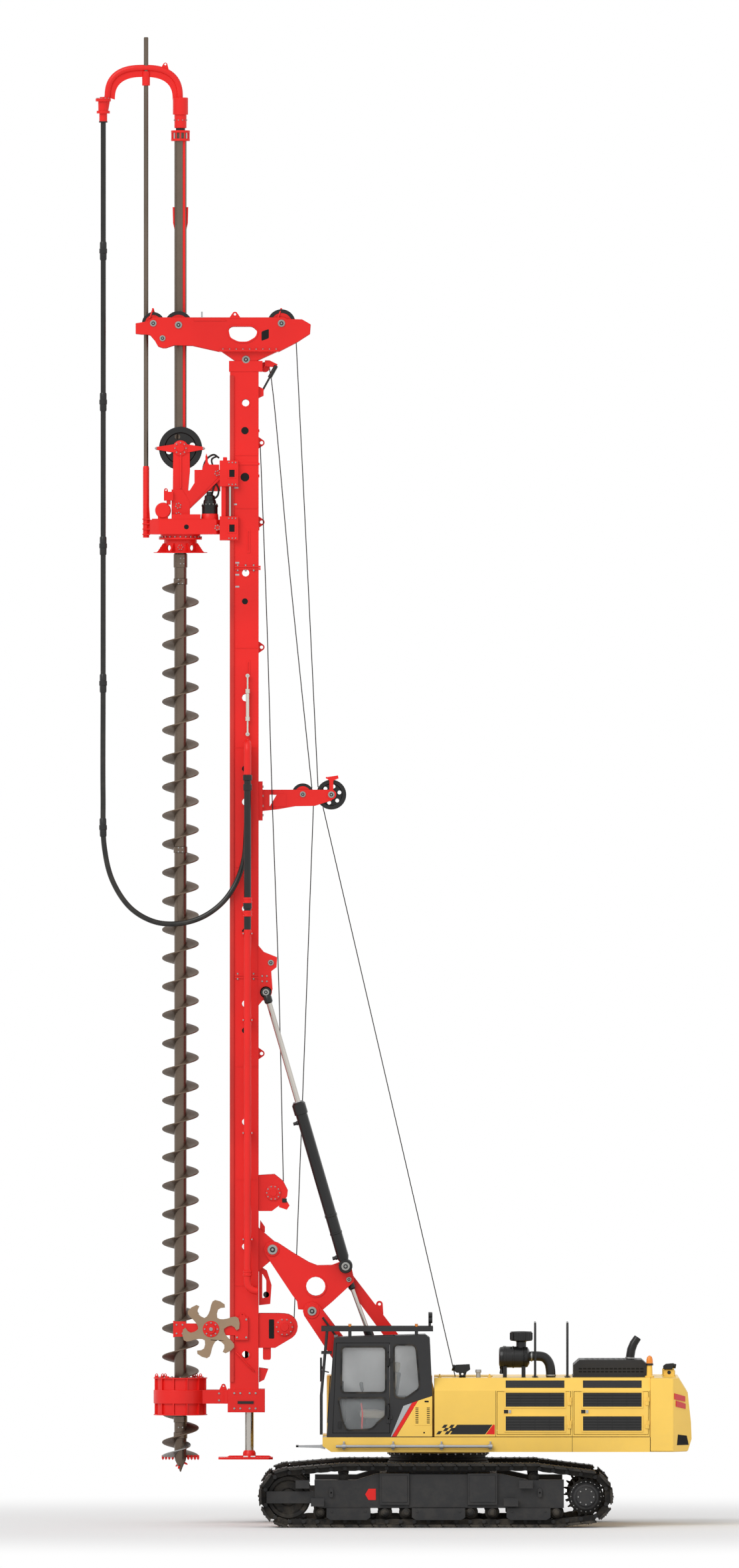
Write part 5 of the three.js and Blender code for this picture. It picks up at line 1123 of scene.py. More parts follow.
# ---------- operator's seat and controls
# A sprung seat: beige cloth cushions, crowned and piped, over a black shell, with armrest pods and
# joysticks.
CLOTH, tree, bsdf = new_material("seat_cloth_weave")
weave_place = tree.nodes.new("ShaderNodeTexCoord")
waves = []
for direction in ("X", "Z"):
    wave = tree.nodes.new("ShaderNodeTexWave")
    wave.bands_direction = direction
    wave.inputs["Scale"].default_value = 160
    wave.inputs["Distortion"].default_value = 0.6
    tree.links.new(weave_place.outputs["Object"], wave.inputs["Vector"])
    waves.append(wave)
weave = tree.nodes.new("ShaderNodeMath")
weave.operation = "MULTIPLY"
tree.links.new(waves[0].outputs["Fac"], weave.inputs[0])
tree.links.new(waves[1].outputs["Fac"], weave.inputs[1])
yarn = tree.nodes.new("ShaderNodeMix")
yarn.data_type = "RGBA"
yarn.inputs["A"].default_value = (0.34, 0.29, 0.20, 1)
yarn.inputs["B"].default_value = (0.62, 0.55, 0.42, 1)
tree.links.new(weave.outputs[0], yarn.inputs["Factor"])
tree.links.new(yarn.outputs["Result"], bsdf.inputs["Base Color"])
fuzz = tree.nodes.new("ShaderNodeBump")
fuzz.inputs["Strength"].default_value = 0.5
fuzz.inputs["Distance"].default_value = 0.002
tree.links.new(weave.outputs[0], fuzz.inputs["Height"])
tree.links.new(fuzz.outputs["Normal"], bsdf.inputs["Normal"])
bsdf.inputs["Roughness"].default_value = 0.9
bsdf.inputs["Sheen Weight"].default_value = 0.4


def cushion(name, middle, size, tilt, crown, channels):
    """A crowned cushion: a rounded box that swells between its edges, with sewn channels across it."""
    bm = bmesh.new()
    bmesh.ops.create_cube(bm, size=2)
    bmesh.ops.subdivide_edges(bm, edges=bm.edges[:], cuts=15, use_grid_fill=True)
    half = Vector(size) / 2
    for v in bm.verts:
        u = v.co.copy()
        power = 5
        length = (abs(u.x) ** power + abs(u.y) ** power + abs(u.z) ** power) ** (1 / power)
        u /= length
        swell = (1 - u.x ** 2) * (1 - u.y ** 2)
        seam = sum(math.exp(-(((u.x - c) / 0.05) ** 2)) for c in channels) * 0.12
        u.z *= 1 + crown * swell - seam * (1 if u.z > 0 else 0)
        pull = 1 - 0.05 * (1 - abs(u.z)) * (u.x ** 2 * u.y ** 2)
        v.co = Vector((u.x * half.x * pull, u.y * half.y * pull, u.z * half.z))
    bmesh.ops.transform(bm, matrix=Matrix.Translation(middle) @ Matrix.Rotation(math.radians(tilt), 4,
        "Y"), verts=bm.verts)
    mesh = bpy.data.meshes.new(name)
    bm.to_mesh(mesh)
    bm.free()
    mesh.materials.append(CLOTH)
    made = bpy.data.objects.new(name, mesh)
    scene.collection.objects.link(made)
    made.data.polygons.foreach_set("use_smooth", [True] * len(made.data.polygons))
    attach(made, "upper")
    return made


SEAT_Y = -1.0
cushion("seat_cushion", (-0.27, SEAT_Y, 1.67), (0.46, 0.46, 0.13), 4, 0.22, (-0.35, 0.35))
cushion("seat_back", (-0.02, SEAT_Y, 2.02), (0.56, 0.44, 0.11), -78, 0.25, (-0.4, 0.0, 0.4))
cushion("seat_headrest", (0.055, SEAT_Y, 2.38), (0.17, 0.22, 0.08), -80, 0.25, ())
seat = Build().use(BLACK)
seat.block((-0.4, -0.06), (SEAT_Y - 0.16, SEAT_Y + 0.16), (1.395, 1.55))
for i in range(5):
    z = 1.55 + i * 0.011
    grow = 0.012 if i % 2 else 0.0
    seat.block((-0.39 - grow, -0.07 + grow), (SEAT_Y - 0.15 - grow, SEAT_Y + 0.15 + grow), (z, z + 0.011))
seat.plate(rounded([(-0.47, 1.6), (-0.06, 1.6), (0.02, 1.66), (0.12, 2.3), (0.07, 2.31), (-0.05, 1.69),
    (-0.47, 1.63)],
                   0.03), (SEAT_Y - 0.2, SEAT_Y + 0.2))
for side in (LEFT, RIGHT):
    y = SEAT_Y + side * 0.26
    seat.plate(rounded([(-0.52, 1.88), (-0.06, 1.88), (-0.06, 1.95), (-0.5, 1.95)], 0.025),
        (y - 0.035, y + 0.035))
    seat.block((-0.13, -0.08), (y - 0.02, y + 0.02), (1.64, 1.89))
    seat.turned((-0.45, y, 1.94), (-0.15, 0, 1),
        [(0, 0.03), (0.01, 0.034), (0.02, 0.012), (0.09, 0.014), (0.1, 0.024),
                                                  (0.2, 0.03), (0.22, 0.02)], 20)
seat.use(RED).pipe([(-0.47, SEAT_Y - 0.34, 1.45), (-0.46, SEAT_Y - 0.34, 1.7),
    (-0.48, SEAT_Y - 0.34, 1.85)], 0.012, 12)
seat.piece("seat_frame", "upper", "seat_cloth", ["operator_seat"], 0.003)

desk = Build().use(BLACK)
desk.rod((-0.73, -0.68, 1.39), (-0.74, -0.7, 1.98), 0.024, 20)
desk.turned((-0.73, -0.68, 1.392), (0, 0, 1), [(0, 0.07), (0.012, 0.07), (0.02, 0.03)], 24)
desk.plate(rounded([(-0.84, 1.96), (-0.6, 1.96), (-0.6, 2.17), (-0.84, 2.17)], 0.02), (-0.79, -0.745),
    plane="yz")
desk.plate([(-0.82, 1.395), (-0.7, 1.395), (-0.72, 1.44), (-0.8, 1.48)], (-1.19, -0.66))
for y in (-1.12, -0.98, -0.84, -0.7):
    desk.plate([(-0.8, 1.47), (-0.69, 1.43), (-0.64, 1.6), (-0.66, 1.62)], (y - 0.035, y + 0.035))
SCREEN, tree, bsdf = new_material("dark_display")
glow = tree.nodes.new("ShaderNodeTexBrick")
glow.inputs["Scale"].default_value = 14
glow.inputs["Color1"].default_value = (0.03, 0.06, 0.07, 1)
glow.inputs["Color2"].default_value = (0.05, 0.09, 0.1, 1)
glow.inputs["Mortar"].default_value = (0.01, 0.01, 0.01, 1)
tree.links.new(glow.outputs["Color"], bsdf.inputs["Base Color"])
bsdf.inputs["Roughness"].default_value = 0.15
desk.use(SCREEN).plate([(-0.825, 1.98), (-0.615, 1.98), (-0.615, 2.15), (-0.825, 2.15)],
    (-0.746, -0.743), plane="yz")
desk.piece("console_desk", "upper", "black_paint", ["control_console"], 0.003)
keep_nodes(DARK, "main_winch", "engine_block", bevel=0.008)


# ---------- boom, link and delta frame
# Cut plate with welded bosses, hinged on greased pins. Each pin has a bare steel washer and a keeper bolt
# outside, and the open triangle carries the foot of the mast between its plates.
WASHER = finish_of("pin_washer", (0.34, 0.34, 0.32), 0.42, metallic=0.6, tone=0.2, dust=0.1)
keep_nodes(RED, "boom_arm", "boom_link", "delta_frame", bevel=0.006)
BOOM_FOOT, LINK_FOOT, LUFF_FOOT = (-0.08, 1.705), (0.475, 2.18), (0.137, 1.5)
BOOM_TIP, LINK_TIP, MAST_PIN = (-1.22, 3.215), (-0.665, 3.69), (-1.815, 4.14)
CYLINDER_PIN, CYLINDER_EYE, CYLINDER_Y = (-0.715, 3.89), (-1.915, 8.015), 0.35
DELTA_OUT, BOOM_OUT = 0.2505, 0.3315


def pin_end(build, centre, y, out, radius):
    """A pin's washer, its end, and the keeper bolt in its middle."""
    x, z = centre
    build.use(WASHER).turned((x, y, z), (0, out, 0),
        [(0, radius), (0.012, radius), (0.016, radius - 0.005)], 32)
    build.use(DARK).turned((x, y + out * 0.014, z), (0, out, 0),
        [(0, radius * 0.55), (0.012, radius * 0.5)], 24)
    build.use(BOLT_STEEL).bolts([(x, y + out * 0.024, z)], (0, out, 0), radius * 0.28)


delta_pins = Build()
for side in (LEFT, RIGHT):
    pin_end(delta_pins, MAST_PIN, side * (DELTA_OUT + 0.022), side, 0.076)
    pin_end(delta_pins, CYLINDER_PIN, side * (CYLINDER_Y + 0.09), side, 0.064)
    pin_end(delta_pins, BOOM_TIP, side * (BOOM_OUT + 0.015), side, 0.068)
    pin_end(delta_pins, LINK_TIP, side * DELTA_OUT, side, 0.04)
    delta_pins.use(RED)
    delta_pins.turned((*[MAST_PIN[0]], side * DELTA_OUT, MAST_PIN[1]), (0, side, 0),
        [(0, 0.105), (0.018, 0.1)], 40)
    eye = circle((-1.165, 3.585), 0.166, 40)
    delta_pins.plate(eye, (side * DELTA_OUT, side * (DELTA_OUT + 0.012)),
        [circle((-1.165, 3.585), 0.145, 40)])
delta_pins.piece("delta_pin_ends", "delta", "red_paint", (), 0.002)

boom_trim = Build()
for side in (LEFT, RIGHT):
    y = side * BOOM_OUT
    boom_trim.use(RED)
    boom_trim.turned((BOOM_TIP[0], y, BOOM_TIP[1]), (0, side, 0), [(0, 0.115), (0.013, 0.11)], 40)
    boom_trim.turned((BOOM_FOOT[0], y - side * 0.004, BOOM_FOOT[1]), (0, side, 0),
        [(0, 0.12), (0.008, 0.118)], 40)
    boom_trim.use(BLACK)
    route = [(-1.06, y + side * 0.02, 3.12), (-0.86, y + side * 0.03, 2.84),
        (-0.62, y + side * 0.035, 2.5),
             (-0.4, y + side * 0.03, 2.2), (-0.22, y + side * 0.02, 1.98)]
    boom_trim.pipe(smooth_line(route, 6), 0.016, 12)
    boom_trim.use(GREY)
    for x, _, z in route[1:4]:
        boom_trim.block((x - 0.03, x + 0.03), (y, y + side * 0.055), (z - 0.02, z + 0.02))
boom_trim.piece("boom_trim", "boom", "red_paint", (), 0.002)

link_trim = Build().use(RED)
lug = hull(circle((-0.205, 3.315), 0.05, 20) + [(-0.3, 3.2), (-0.14, 3.06)])
for side in (LEFT, RIGHT):
    link_trim.plate(lug, (side * 0.03, side * 0.06), [circle((-0.205, 3.315), 0.022, 16)])
link_trim.piece("link_lugs", "link", "red_paint", (), 0.003)

deck_pins = Build()
for side in (LEFT, RIGHT):
    pin_end(deck_pins, BOOM_FOOT, side * 0.3825, side, 0.07)
    pin_end(deck_pins, LINK_FOOT, side * 0.1305, side, 0.055)
    pin_end(deck_pins, LUFF_FOOT, side * 0.2445, side, 0.044)
deck_pins.piece("deck_pin_ends", "upper", "yellow_paint", (), 0.002)


# ---------- hydraulic cylinders
# Honed steel barrels under black paint, each with a bolted gland and a port block, and ground rods with
# forged eyes. Two raise the mast, and two smaller ones between the boom arms luff the boom.
CHROME = finish_of("piston_rod", (0.50, 0.47, 0.43), 0.2, metallic=1.0, tone=0.12, dust=0.03, bump=0.02)
def barrel(build, foot, tip, y, r, gland, eye, eye_half):
    """A cylinder barrel from its foot pin to its gland, in the plane at y."""
    start = Vector((foot[0], y, foot[1]))
    along = (Vector((tip[0], y, tip[1])) - start).normalized()
    build.use(BLACK)
    build.turned((foot[0], y - eye_half, foot[1]), (0, 1, 0),
        [(0, eye - 0.01), (0.01, eye), (2 * eye_half - 0.01, eye),
                                                               (2 * eye_half, eye - 0.01)], 32)
    band = r + 0.006
    build.turned(
        start, along,
        [(0.03, r * 0.7), (0.09, r * 0.8), (0.14, r), (0.5, r), (0.505, band), (0.53, band), (0.535, r),
         (gland * 0.3, r), (gland * 0.3 + 0.005, band), (gland * 0.3 + 0.04, band),
             (gland * 0.3 + 0.045, r),
         (gland - 0.19, r), (gland - 0.185, r + 0.014), (gland - 0.03, r + 0.014),
             (gland - 0.02, r + 0.004),
         (gland, r - 0.012)],
        40,
    )
    across = Vector((along.z, 0, -along.x))
    for share in (0.16, gland - 0.3):
        port = start + along * share - across * (r + 0.02)
        build.turned(port, -across, [(-0.04, 0.03), (0.0, 0.03), (0.01, 0.022), (0.05, 0.022)], 16)
    build.use(GREY)
    build.turned(start + along * (gland - 0.001), along, [(0, r - 0.02), (0.012, r - 0.03)], 32)
    build.use(BOLT_STEEL)
    for i in range(8):
        turn = i / 8 * math.tau
        spot = start + along * gland + across * math.cos(turn) * (r - 0.022) + Vector((0,
            math.sin(turn) * (r - 0.022), 0))
        build.bolts([spot], along, 0.01, 0.01)


def piston_rod(build, foot, tip, y, r, start, eye, eye_half):
    """The rod from inside the gland to its eye, with a black scraper boot below the eye."""
    base = Vector((foot[0], y, foot[1]))
    stop = Vector((tip[0], y, tip[1]))
    along = (stop - base).normalized()
    build.use(CHROME).turned(base + along * start, along,
        [(0, r), ((stop - base).length - start - eye * 0.6, r)], 32)
    build.use(BLACK)
    build.turned(stop - along * (eye + 0.1), along,
        [(0, r + 0.004), (0.02, r + 0.02), (0.1, r + 0.022), (0.14, r)], 32)
    build.turned((stop.x, y - eye_half, stop.z), (0, 1, 0),
        [(0, eye - 0.008), (0.008, eye), (2 * eye_half - 0.008, eye),
                                                             (2 * eye_half, eye - 0.008)], 32)


MAST_BARREL_R, MAST_ROD_R, MAST_GLAND = 0.0875, 0.04, 2.57
LUFF_Y, LUFF_R, LUFF_ROD_R, LUFF_GLAND = 0.1455, 0.055, 0.032, 1.56
mast_barrels, mast_rods, luff_barrels, luff_rods = Build(), Build(), Build(), Build()
for side in (LEFT, RIGHT):
    barrel(mast_barrels, CYLINDER_PIN, CYLINDER_EYE, side * CYLINDER_Y, MAST_BARREL_R, MAST_GLAND,
        0.104, 0.08)
    piston_rod(mast_rods, CYLINDER_PIN, CYLINDER_EYE, side * CYLINDER_Y, MAST_ROD_R, 1.1, 0.075, 0.038)
    barrel(luff_barrels, LUFF_FOOT, LINK_TIP, side * LUFF_Y, LUFF_R, LUFF_GLAND, 0.063, 0.054)
    piston_rod(luff_rods, LUFF_FOOT, LINK_TIP, side * LUFF_Y, LUFF_ROD_R, 0.9, 0.062, 0.054)
luff_barrels.use(BLACK).rod((LUFF_FOOT[0], -LUFF_Y, LUFF_FOOT[1]), (LUFF_FOOT[0], LUFF_Y, LUFF_FOOT[1]),
    0.06, 32)
mast_barrels.piece("mast_barrels", "mast_barrel", "black_paint",
    ["mast_cylinder_left", "mast_cylinder_right"], 0)
mast_rods.piece("mast_rods", "mast_rod", "chrome_rod", ["mast_rod_left", "mast_rod_right"], 0)
luff_barrels.piece("luffing_barrels", "luff_barrel", "black_paint", ["luff_barrels"], 0)
luff_rods.piece("luffing_rods", "luff_rod", "chrome_rod", ["luff_rod_left", "luff_rod_right"], 0)


# ---------- mast
# A long welded box in three lengths, bolted together through flanges, with machined rails at its front
# corners.
# Lightening holes, doubler plates, cable eyes and slotted brackets run up it.
keep_nodes(RED, "mast", bevel=0.007)
MAST_FRONT, MAST_BACK, MAST_HALF = -2.455, -2.025, 0.28
HOLE_X = -2.22
MAST_JOINTS = (14.405, 8.255)
mast_fit = Build().use(RED)
for z in MAST_JOINTS:
    for a, b in ((z + 0.004, z + 0.03), (z - 0.03, z - 0.004)):
        mast_fit.block((MAST_FRONT + 0.07, MAST_BACK + 0.03), (-MAST_HALF - 0.018, MAST_HALF + 0.018),
            (a, b))
for z in (2.56, 4.18, 6.06, 7.84, 9.27, 10.88, 12.45, 14.33, 16.89):
    for side in (LEFT, RIGHT):
        mast_fit.plate(circle((HOLE_X, z), 0.078, 32), (side * MAST_HALF, side * (MAST_HALF + 0.006)),
                       [circle((HOLE_X, z), 0.055, 32)])
for z in (3.6, 5.2, 6.9, 9.9, 11.7, 13.2, 15.3, 16.1):
    for side in (LEFT, RIGHT):
        mast_fit.block((MAST_FRONT + 0.08, MAST_BACK - 0.02),
            (side * MAST_HALF, side * (MAST_HALF + 0.008)),
                       (z - 0.006, z + 0.006))
mast_fit.block((-2.35, MAST_BACK + 0.015), (-MAST_HALF - 0.012, MAST_HALF + 0.012), (15.955, 15.985))
for z, rise in ((14.63, 0.35), (12.8, 0.21)):
    mast_fit.plate([(-2.2, z), (-2.15, z), (-2.15, z + rise), (-2.2, z + rise)],
        (-MAST_HALF - 0.01, -MAST_HALF),
                   [rounded([(-2.185, z + 0.03), (-2.165, z + 0.03), (-2.165, z + rise - 0.03),
                       (-2.185, z + rise - 0.03)],
                            0.008)])
for z in (15.095, 16.29, 7.09, 13.21):
    ear = hull(circle((MAST_BACK + 0.04, z), 0.05, 24) + [(MAST_BACK - 0.002, z - 0.09),
        (MAST_BACK - 0.002, z + 0.09)])
    mast_fit.plate(ear, (-0.015, 0.015), [circle((MAST_BACK + 0.045, z), 0.025, 20)])
for z in (14.99, 15.79, 16.47):
    mast_fit.block((MAST_BACK - 0.002, MAST_BACK + 0.012), (-0.2, 0.2), (z - 0.02, z + 0.02))
# The holes through the mast are near-black cylinders across it: painted shade in place of openings.
mast_fit.use(SHADOW)
for z, r in ((16.47, 0.055), (15.77, 0.065), (13.9, 0.045), (11.38, 0.045), (8.93, 0.045),
    (7.44, 0.045), (2.9, 0.05)):
    mast_fit.turned((HOLE_X - 0.01, -MAST_HALF - 0.003, z), (0, 1, 0),
        [(0, r), (2 * MAST_HALF + 0.006, r)], 28)
mast_fit.use(GREY)
for x, z in ((-2.38, 15.36), (-2.36, 15.61), (-2.38, 15.86), (-2.345, 14.12), (-2.345, 14.3),
    (-2.345, 14.48)):
    mast_fit.block((x - 0.03, x + 0.03), (-MAST_HALF - 0.004, -MAST_HALF), (z - 0.012, z + 0.012))
mast_fit.use(BOLT_STEEL)
for z in MAST_JOINTS:
    for x in (-2.34, -2.22, -2.1):
        for side in (LEFT, RIGHT):
            mast_fit.bolts([(x, side * (MAST_HALF + 0.01), z + 0.03)], (0, 0, 1), 0.014, 0.02)
            mast_fit.bolts([(x, side * (MAST_HALF + 0.01), z - 0.03)], (0, 0, -1), 0.014, 0.02)
for x in (-2.39, -2.3, -2.16, -2.07):
    mast_fit.bolts([(x, side * (MAST_HALF + 0.01), z) for side in (LEFT,) for z in (1.75, 1.98)],
        (0, -1, 0), 0.016)
mast_fit.use(BLACK).block((-2.34, -2.1), (-MAST_HALF - 0.025, -MAST_HALF), (1.82, 1.86))
mast_fit.piece("mast_fittings", "mast", "red_paint", (), 0.002)

RAIL_Z = (2.15, 17.3)
rail_faces = Build().use(GREY)
for side in (LEFT, RIGHT):
    rail_faces.block((MAST_FRONT - 0.0012, MAST_FRONT + 0.058), (side * 0.306, side * 0.3112), RAIL_Z)
    rail_faces.block((MAST_FRONT - 0.0025, MAST_FRONT), (side * 0.235, side * 0.309), RAIL_Z)
# The rail faces along the mast's front edge are a darker, slightly metallic red.
RAIL_DARK_RED = finish_of("rail_darker_red", (0.62, 0.035, 0.028), 0.3, metallic=0.2, tone=0.3, dust=0.05)
rail_faces.materials = [RAIL_DARK_RED]
rail_faces.piece("rail_faces", "mast", "red_paint", (), 0)

bracket_fit = Build()
for side in (LEFT, RIGHT):
    pin_end(bracket_fit, CYLINDER_EYE, side * (CYLINDER_Y - 0.043), -side, 0.05)
    bracket_fit.use(RED)
    bracket_fit.rod((CYLINDER_EYE[0], side * 0.29, CYLINDER_EYE[1]),
        (CYLINDER_EYE[0], side * 0.4, CYLINDER_EYE[1]), 0.038, 28)
    bracket_fit.turned((CYLINDER_EYE[0], side * 0.306, CYLINDER_EYE[1]), (0, -side, 0),
        [(0, 0.09), (0.012, 0.09)], 32)
    pin_end(bracket_fit, CYLINDER_EYE, side * 0.39, side, 0.05)
    pin_end(bracket_fit, (-1.84, 8.46), side * 0.306, side, 0.045)
    bracket_fit.use(BOLT_STEEL)
    bracket_fit.bolts([(x, side * 0.306, z) for x in (-1.97, -1.9) for z in (8.18, 8.26)], (0, side, 0),
        0.014)
bracket_fit.piece("cylinder_bracket_pins", "mast", "red_paint", (), 0.002)


# ---------- mast head
# Plate cheeks that carry the rope sheaves. The sheaves are black cast wheels with a rope groove, and
# short red
# posts keep the rope in. A small damper steadies the head behind the mast.
keep_nodes(RED, "mast_head", bevel=0.006)


def sheave(build, centre, y, r, half, hub, material, holes=0):
    """A rope sheave: grooved rim, thin web with round holes, and hub. It turns about the line along y."""
    x, z = centre
    build.use(material)
    depth = 0.16 * r
    web = half * 0.45
    build.turned(
        (x, y - half, z), (0, 1, 0),
        [(0, r - depth * 1.6), (0, r - 0.006), (0.006, r), (half * 0.35, r), (half * 0.75, r - depth),
         (half * 1.25, r - depth), (half * 1.65, r), (2 * half - 0.006, r), (2 * half, r - 0.006),
         (2 * half, r - depth * 1.6), (half + web, r - depth * 1.9), (half - web, r - depth * 1.9)],
        56, True,
    )
    outline = circle(centre, r - depth * 1.7, 56)
    cut = [circle((x + 0.56 * r * math.cos(a), z + 0.56 * r * math.sin(a)), 0.13 * r, 20)
           for a in (i / holes * math.tau + 0.26 for i in range(holes))]
    build.plate(outline, (y - web, y + web), cut)
    build.turned((x, y - half * 1.05, z), (0, 1, 0),
        [(0, hub * 0.75), (0.004, hub), (half * 2.1 - 0.004, hub),
                                                     (half * 2.1, hub * 0.75)], 36)


HEAD_TOP, HEAD_Y = 18.175, 0.2475
head_wheels = Build()
for x, drop, r in ((-3.61, 0.09, 0.17), (-3.23, 0.115, 0.21), (-1.68, 0.09, 0.212)):
    for side in (LEFT, RIGHT):
        sheave(head_wheels, (x, HEAD_TOP - drop), side * HEAD_Y, r, 0.05, 0.06, BLACK, 6)
head_wheels.piece("mast_head_sheaves", "mast", "red_paint", (), 0.0015)

head_fit = Build()
for x, z, r in ((-3.61, 18.085, 0.05), (-3.23, 18.06, 0.055), (-1.68, 18.085, 0.055),
    (-3.47, 17.86, 0.045)):
    for side in (LEFT, RIGHT):
        pin_end(head_fit, (x, z), side * 0.335, side, r)
head_fit.use(RED)
for x in (-3.615, -1.685):
    for side in (LEFT, RIGHT):
        y = side * HEAD_Y
        head_fit.rod((x - 0.05, y - 0.075, 18.16), (x, y - 0.03, 18.3), 0.012, 12)
        head_fit.rod((x + 0.05, y + 0.075, 18.16), (x, y + 0.03, 18.3), 0.012, 12)
        head_fit.rod((x, y - 0.04, 18.3), (x, y + 0.04, 18.3), 0.016, 16)
WINDOW = [(-2.48, 18.0), (-2.43, 18.04), (-2.12, 18.04), (-2.04, 17.97), (-2.07, 17.88), (-2.19, 17.81),
    (-2.33, 17.81),
          (-2.45, 17.87)]
for side in (LEFT, RIGHT):
    head_fit.plate(rounded(grown(WINDOW, 0.022), 0.05), (side * 0.335, side * 0.347),
        [rounded(WINDOW, 0.04)])
    head_fit.plate([(-3.0, 18.165), (-2.62, 18.165), (-2.5, 18.12), (-3.0, 18.12)],
        (side * 0.335, side * 0.345))
    head_fit.block((-2.62, -1.72), (side * 0.335, side * 0.36), (17.66, 17.69))
head_fit.plate(hull(circle((-2.38, 18.22), 0.04, 20) + [(-2.47, 18.16), (-2.29, 18.16)]), (-0.34, -0.31),
               [circle((-2.38, 18.22), 0.018, 14)])
head_fit.use(GREY).block((-2.89, -2.865), (-0.335, -0.31), (18.17, 18.26))
# A near-black slab through the head stands in for an opening: painted shade.
head_fit.use(SHADOW)
head_fit.plate(rounded([(-1.98, 17.82), (-1.87, 17.86), (-1.87, 18.0), (-1.98, 17.96)], 0.02),
    (-0.3365, 0.3365))
head_fit.use(BOLT_STEEL)
for i in range(9):
    head_fit.bolts([(-2.56 + i * 0.1, side * 0.348, 17.69) for side in (LEFT, RIGHT)], (0, 0, 1), 0.012)
head_fit.use(RED)
for side in (LEFT, RIGHT):
    y = side * 0.18
    head_fit.plate([(-1.93, 17.44), (-1.76, 17.43), (-1.74, 17.47), (-1.86, 17.53), (-1.93, 17.53)],
        (y - 0.012, y + 0.012))
    head_fit.plate([(-2.03, 16.96), (-1.95, 17.0), (-1.95, 17.1), (-2.03, 17.14)], (y - 0.02, y + 0.02))
    pin_end(head_fit, (-2.215, 17.54), side * 0.275, side, 0.06)
    sheave(head_fit, (-1.93, 17.43), side * 0.12, 0.075, 0.025, 0.025, RED)
    head_fit.use(BLACK).rod((-1.76, y, 17.45), (-1.86, y, 17.27), 0.03, 20).rod((-1.86, y, 17.27),
        (-1.97, y, 17.07), 0.014, 16)
    head_fit.use(RED)
head_fit.piece("mast_head_fittings", "mast", "red_paint", (), 0.002)


# ---------- rear sheave arm
# A welded bracket behind the mast that leads the ropes down to the winches over a small sheave and a
# large one.
# The large sheave has a guard yoke that keeps its rope in the groove.
keep_nodes(RED, "rear_sheave_arm", bevel=0.006)
SMALL_SHEAVE, LARGE_SHEAVE = (-1.36, 10.995), (-0.93, 10.99)
rear_fit = Build()
sheave(rear_fit, SMALL_SHEAVE, 0, 0.165, 0.042, 0.05, BLACK)
for side in (LEFT, RIGHT):
    pin_end(rear_fit, SMALL_SHEAVE, side * 0.082, side, 0.045)
    pin_end(rear_fit, LARGE_SHEAVE, side * 0.082, side, 0.05)
    rear_fit.use(RED)
    yoke = [(-1.02, 11.25), (-0.83, 11.28), (-0.82, 11.235), (-0.9, 11.2), (-0.9, 11.0), (-0.96, 11.0),
        (-0.96, 11.2)]
    rear_fit.plate(yoke, (side * 0.082, side * 0.092))
    rear_fit.turned((LARGE_SHEAVE[0], side * 0.082, LARGE_SHEAVE[1]), (0, side, 0),
        [(0, 0.075), (0.008, 0.072)], 36)
    rear_fit.plate([(-1.86, 10.81), (-1.61, 10.81), (-1.61, 11.0), (-1.74, 11.01)],
        (side * 0.083, side * 0.091))
rear_fit.rod((-1.0, -0.09, 11.243), (-1.0, 0.09, 11.243), 0.014, 16).rod((-0.85, -0.09, 11.25),
    (-0.85, 0.09, 11.25), 0.014, 16)
rear_fit.use(BOLT_STEEL)
for z in (10.68, 10.82, 10.97, 11.11):
    rear_fit.bolts([(-1.9645, y, z) for y in (-0.17, 0.17)], (1, 0, 0), 0.018)
rear_fit.piece("rear_arm_fittings", "mast", "red_paint", (), 0.002)
large_sheave = Build()
sheave(large_sheave, LARGE_SHEAVE, 0, 0.225, 0.042, 0.078, BLACK, 6)
large_sheave.piece("rear_guide_sheave", "rear_sheave", "sheave_steel", ["rear_sheave"], 0.0015)


# ---------- mast winches
# Two hydraulic winches bolted to the back of the mast. Each has cheek plates, a drum wound with wire rope,
# a gear ring with bolts outside the cheek, and a motor on the far side.
keep_nodes(RED, "upper_winch", "lower_winch", bevel=0.006)
WIRE = finish_of("wire_rope", (0.035, 0.034, 0.032), 0.5, metallic=0.5, tone=0.4, dust=0.1, bump=0.5)
ROPE_PITCH = 0.017


def wound_drum(build, centre, radius, half):
    """A drum wound with one layer of wire rope, and a flange at each end."""
    x, z = centre
    build.use(WIRE)
    profile = []
    turns = int(2 * half / ROPE_PITCH)
    for i in range(turns):
        profile += [(i * ROPE_PITCH, radius + 0.004), (i * ROPE_PITCH + 0.004, radius + 0.012),
                    (i * ROPE_PITCH + 0.012, radius + 0.012)]
    build.turned((x, -half, z), (0, 1, 0), profile + [(2 * half, radius + 0.004)], 40)


winch_fit = Build()
for centre, radius, ring in (((-1.805, 4.995), 0.15, 0.115), ((-1.635, 2.975), 0.165, 0.135)):
    wound_drum(winch_fit, centre, radius, 0.2)
    for side in (LEFT, RIGHT):
        y = side * 0.2445
        winch_fit.use(RED)
        winch_fit.turned((centre[0], y, centre[1]), (0, side, 0),
            [(0, ring), (0.02, ring), (0.024, ring - 0.01)], 40)
        winch_fit.turned((centre[0], y + side * 0.022, centre[1]), (0, side, 0),
            [(0, ring * 0.5), (0.01, ring * 0.46)], 32)
        winch_fit.use(BOLT_STEEL)
        spots = circle(centre, ring - 0.018, 10)
        winch_fit.bolts([(x, y + side * 0.024, z) for x, z in spots], (0, side, 0), 0.011, 0.01)
    winch_fit.use(BLACK)
    winch_fit.turned((centre[0], 0.26, centre[1]), (0, 1, 0),
        [(0, 0.07), (0.09, 0.07), (0.1, 0.05), (0.16, 0.05)], 28)
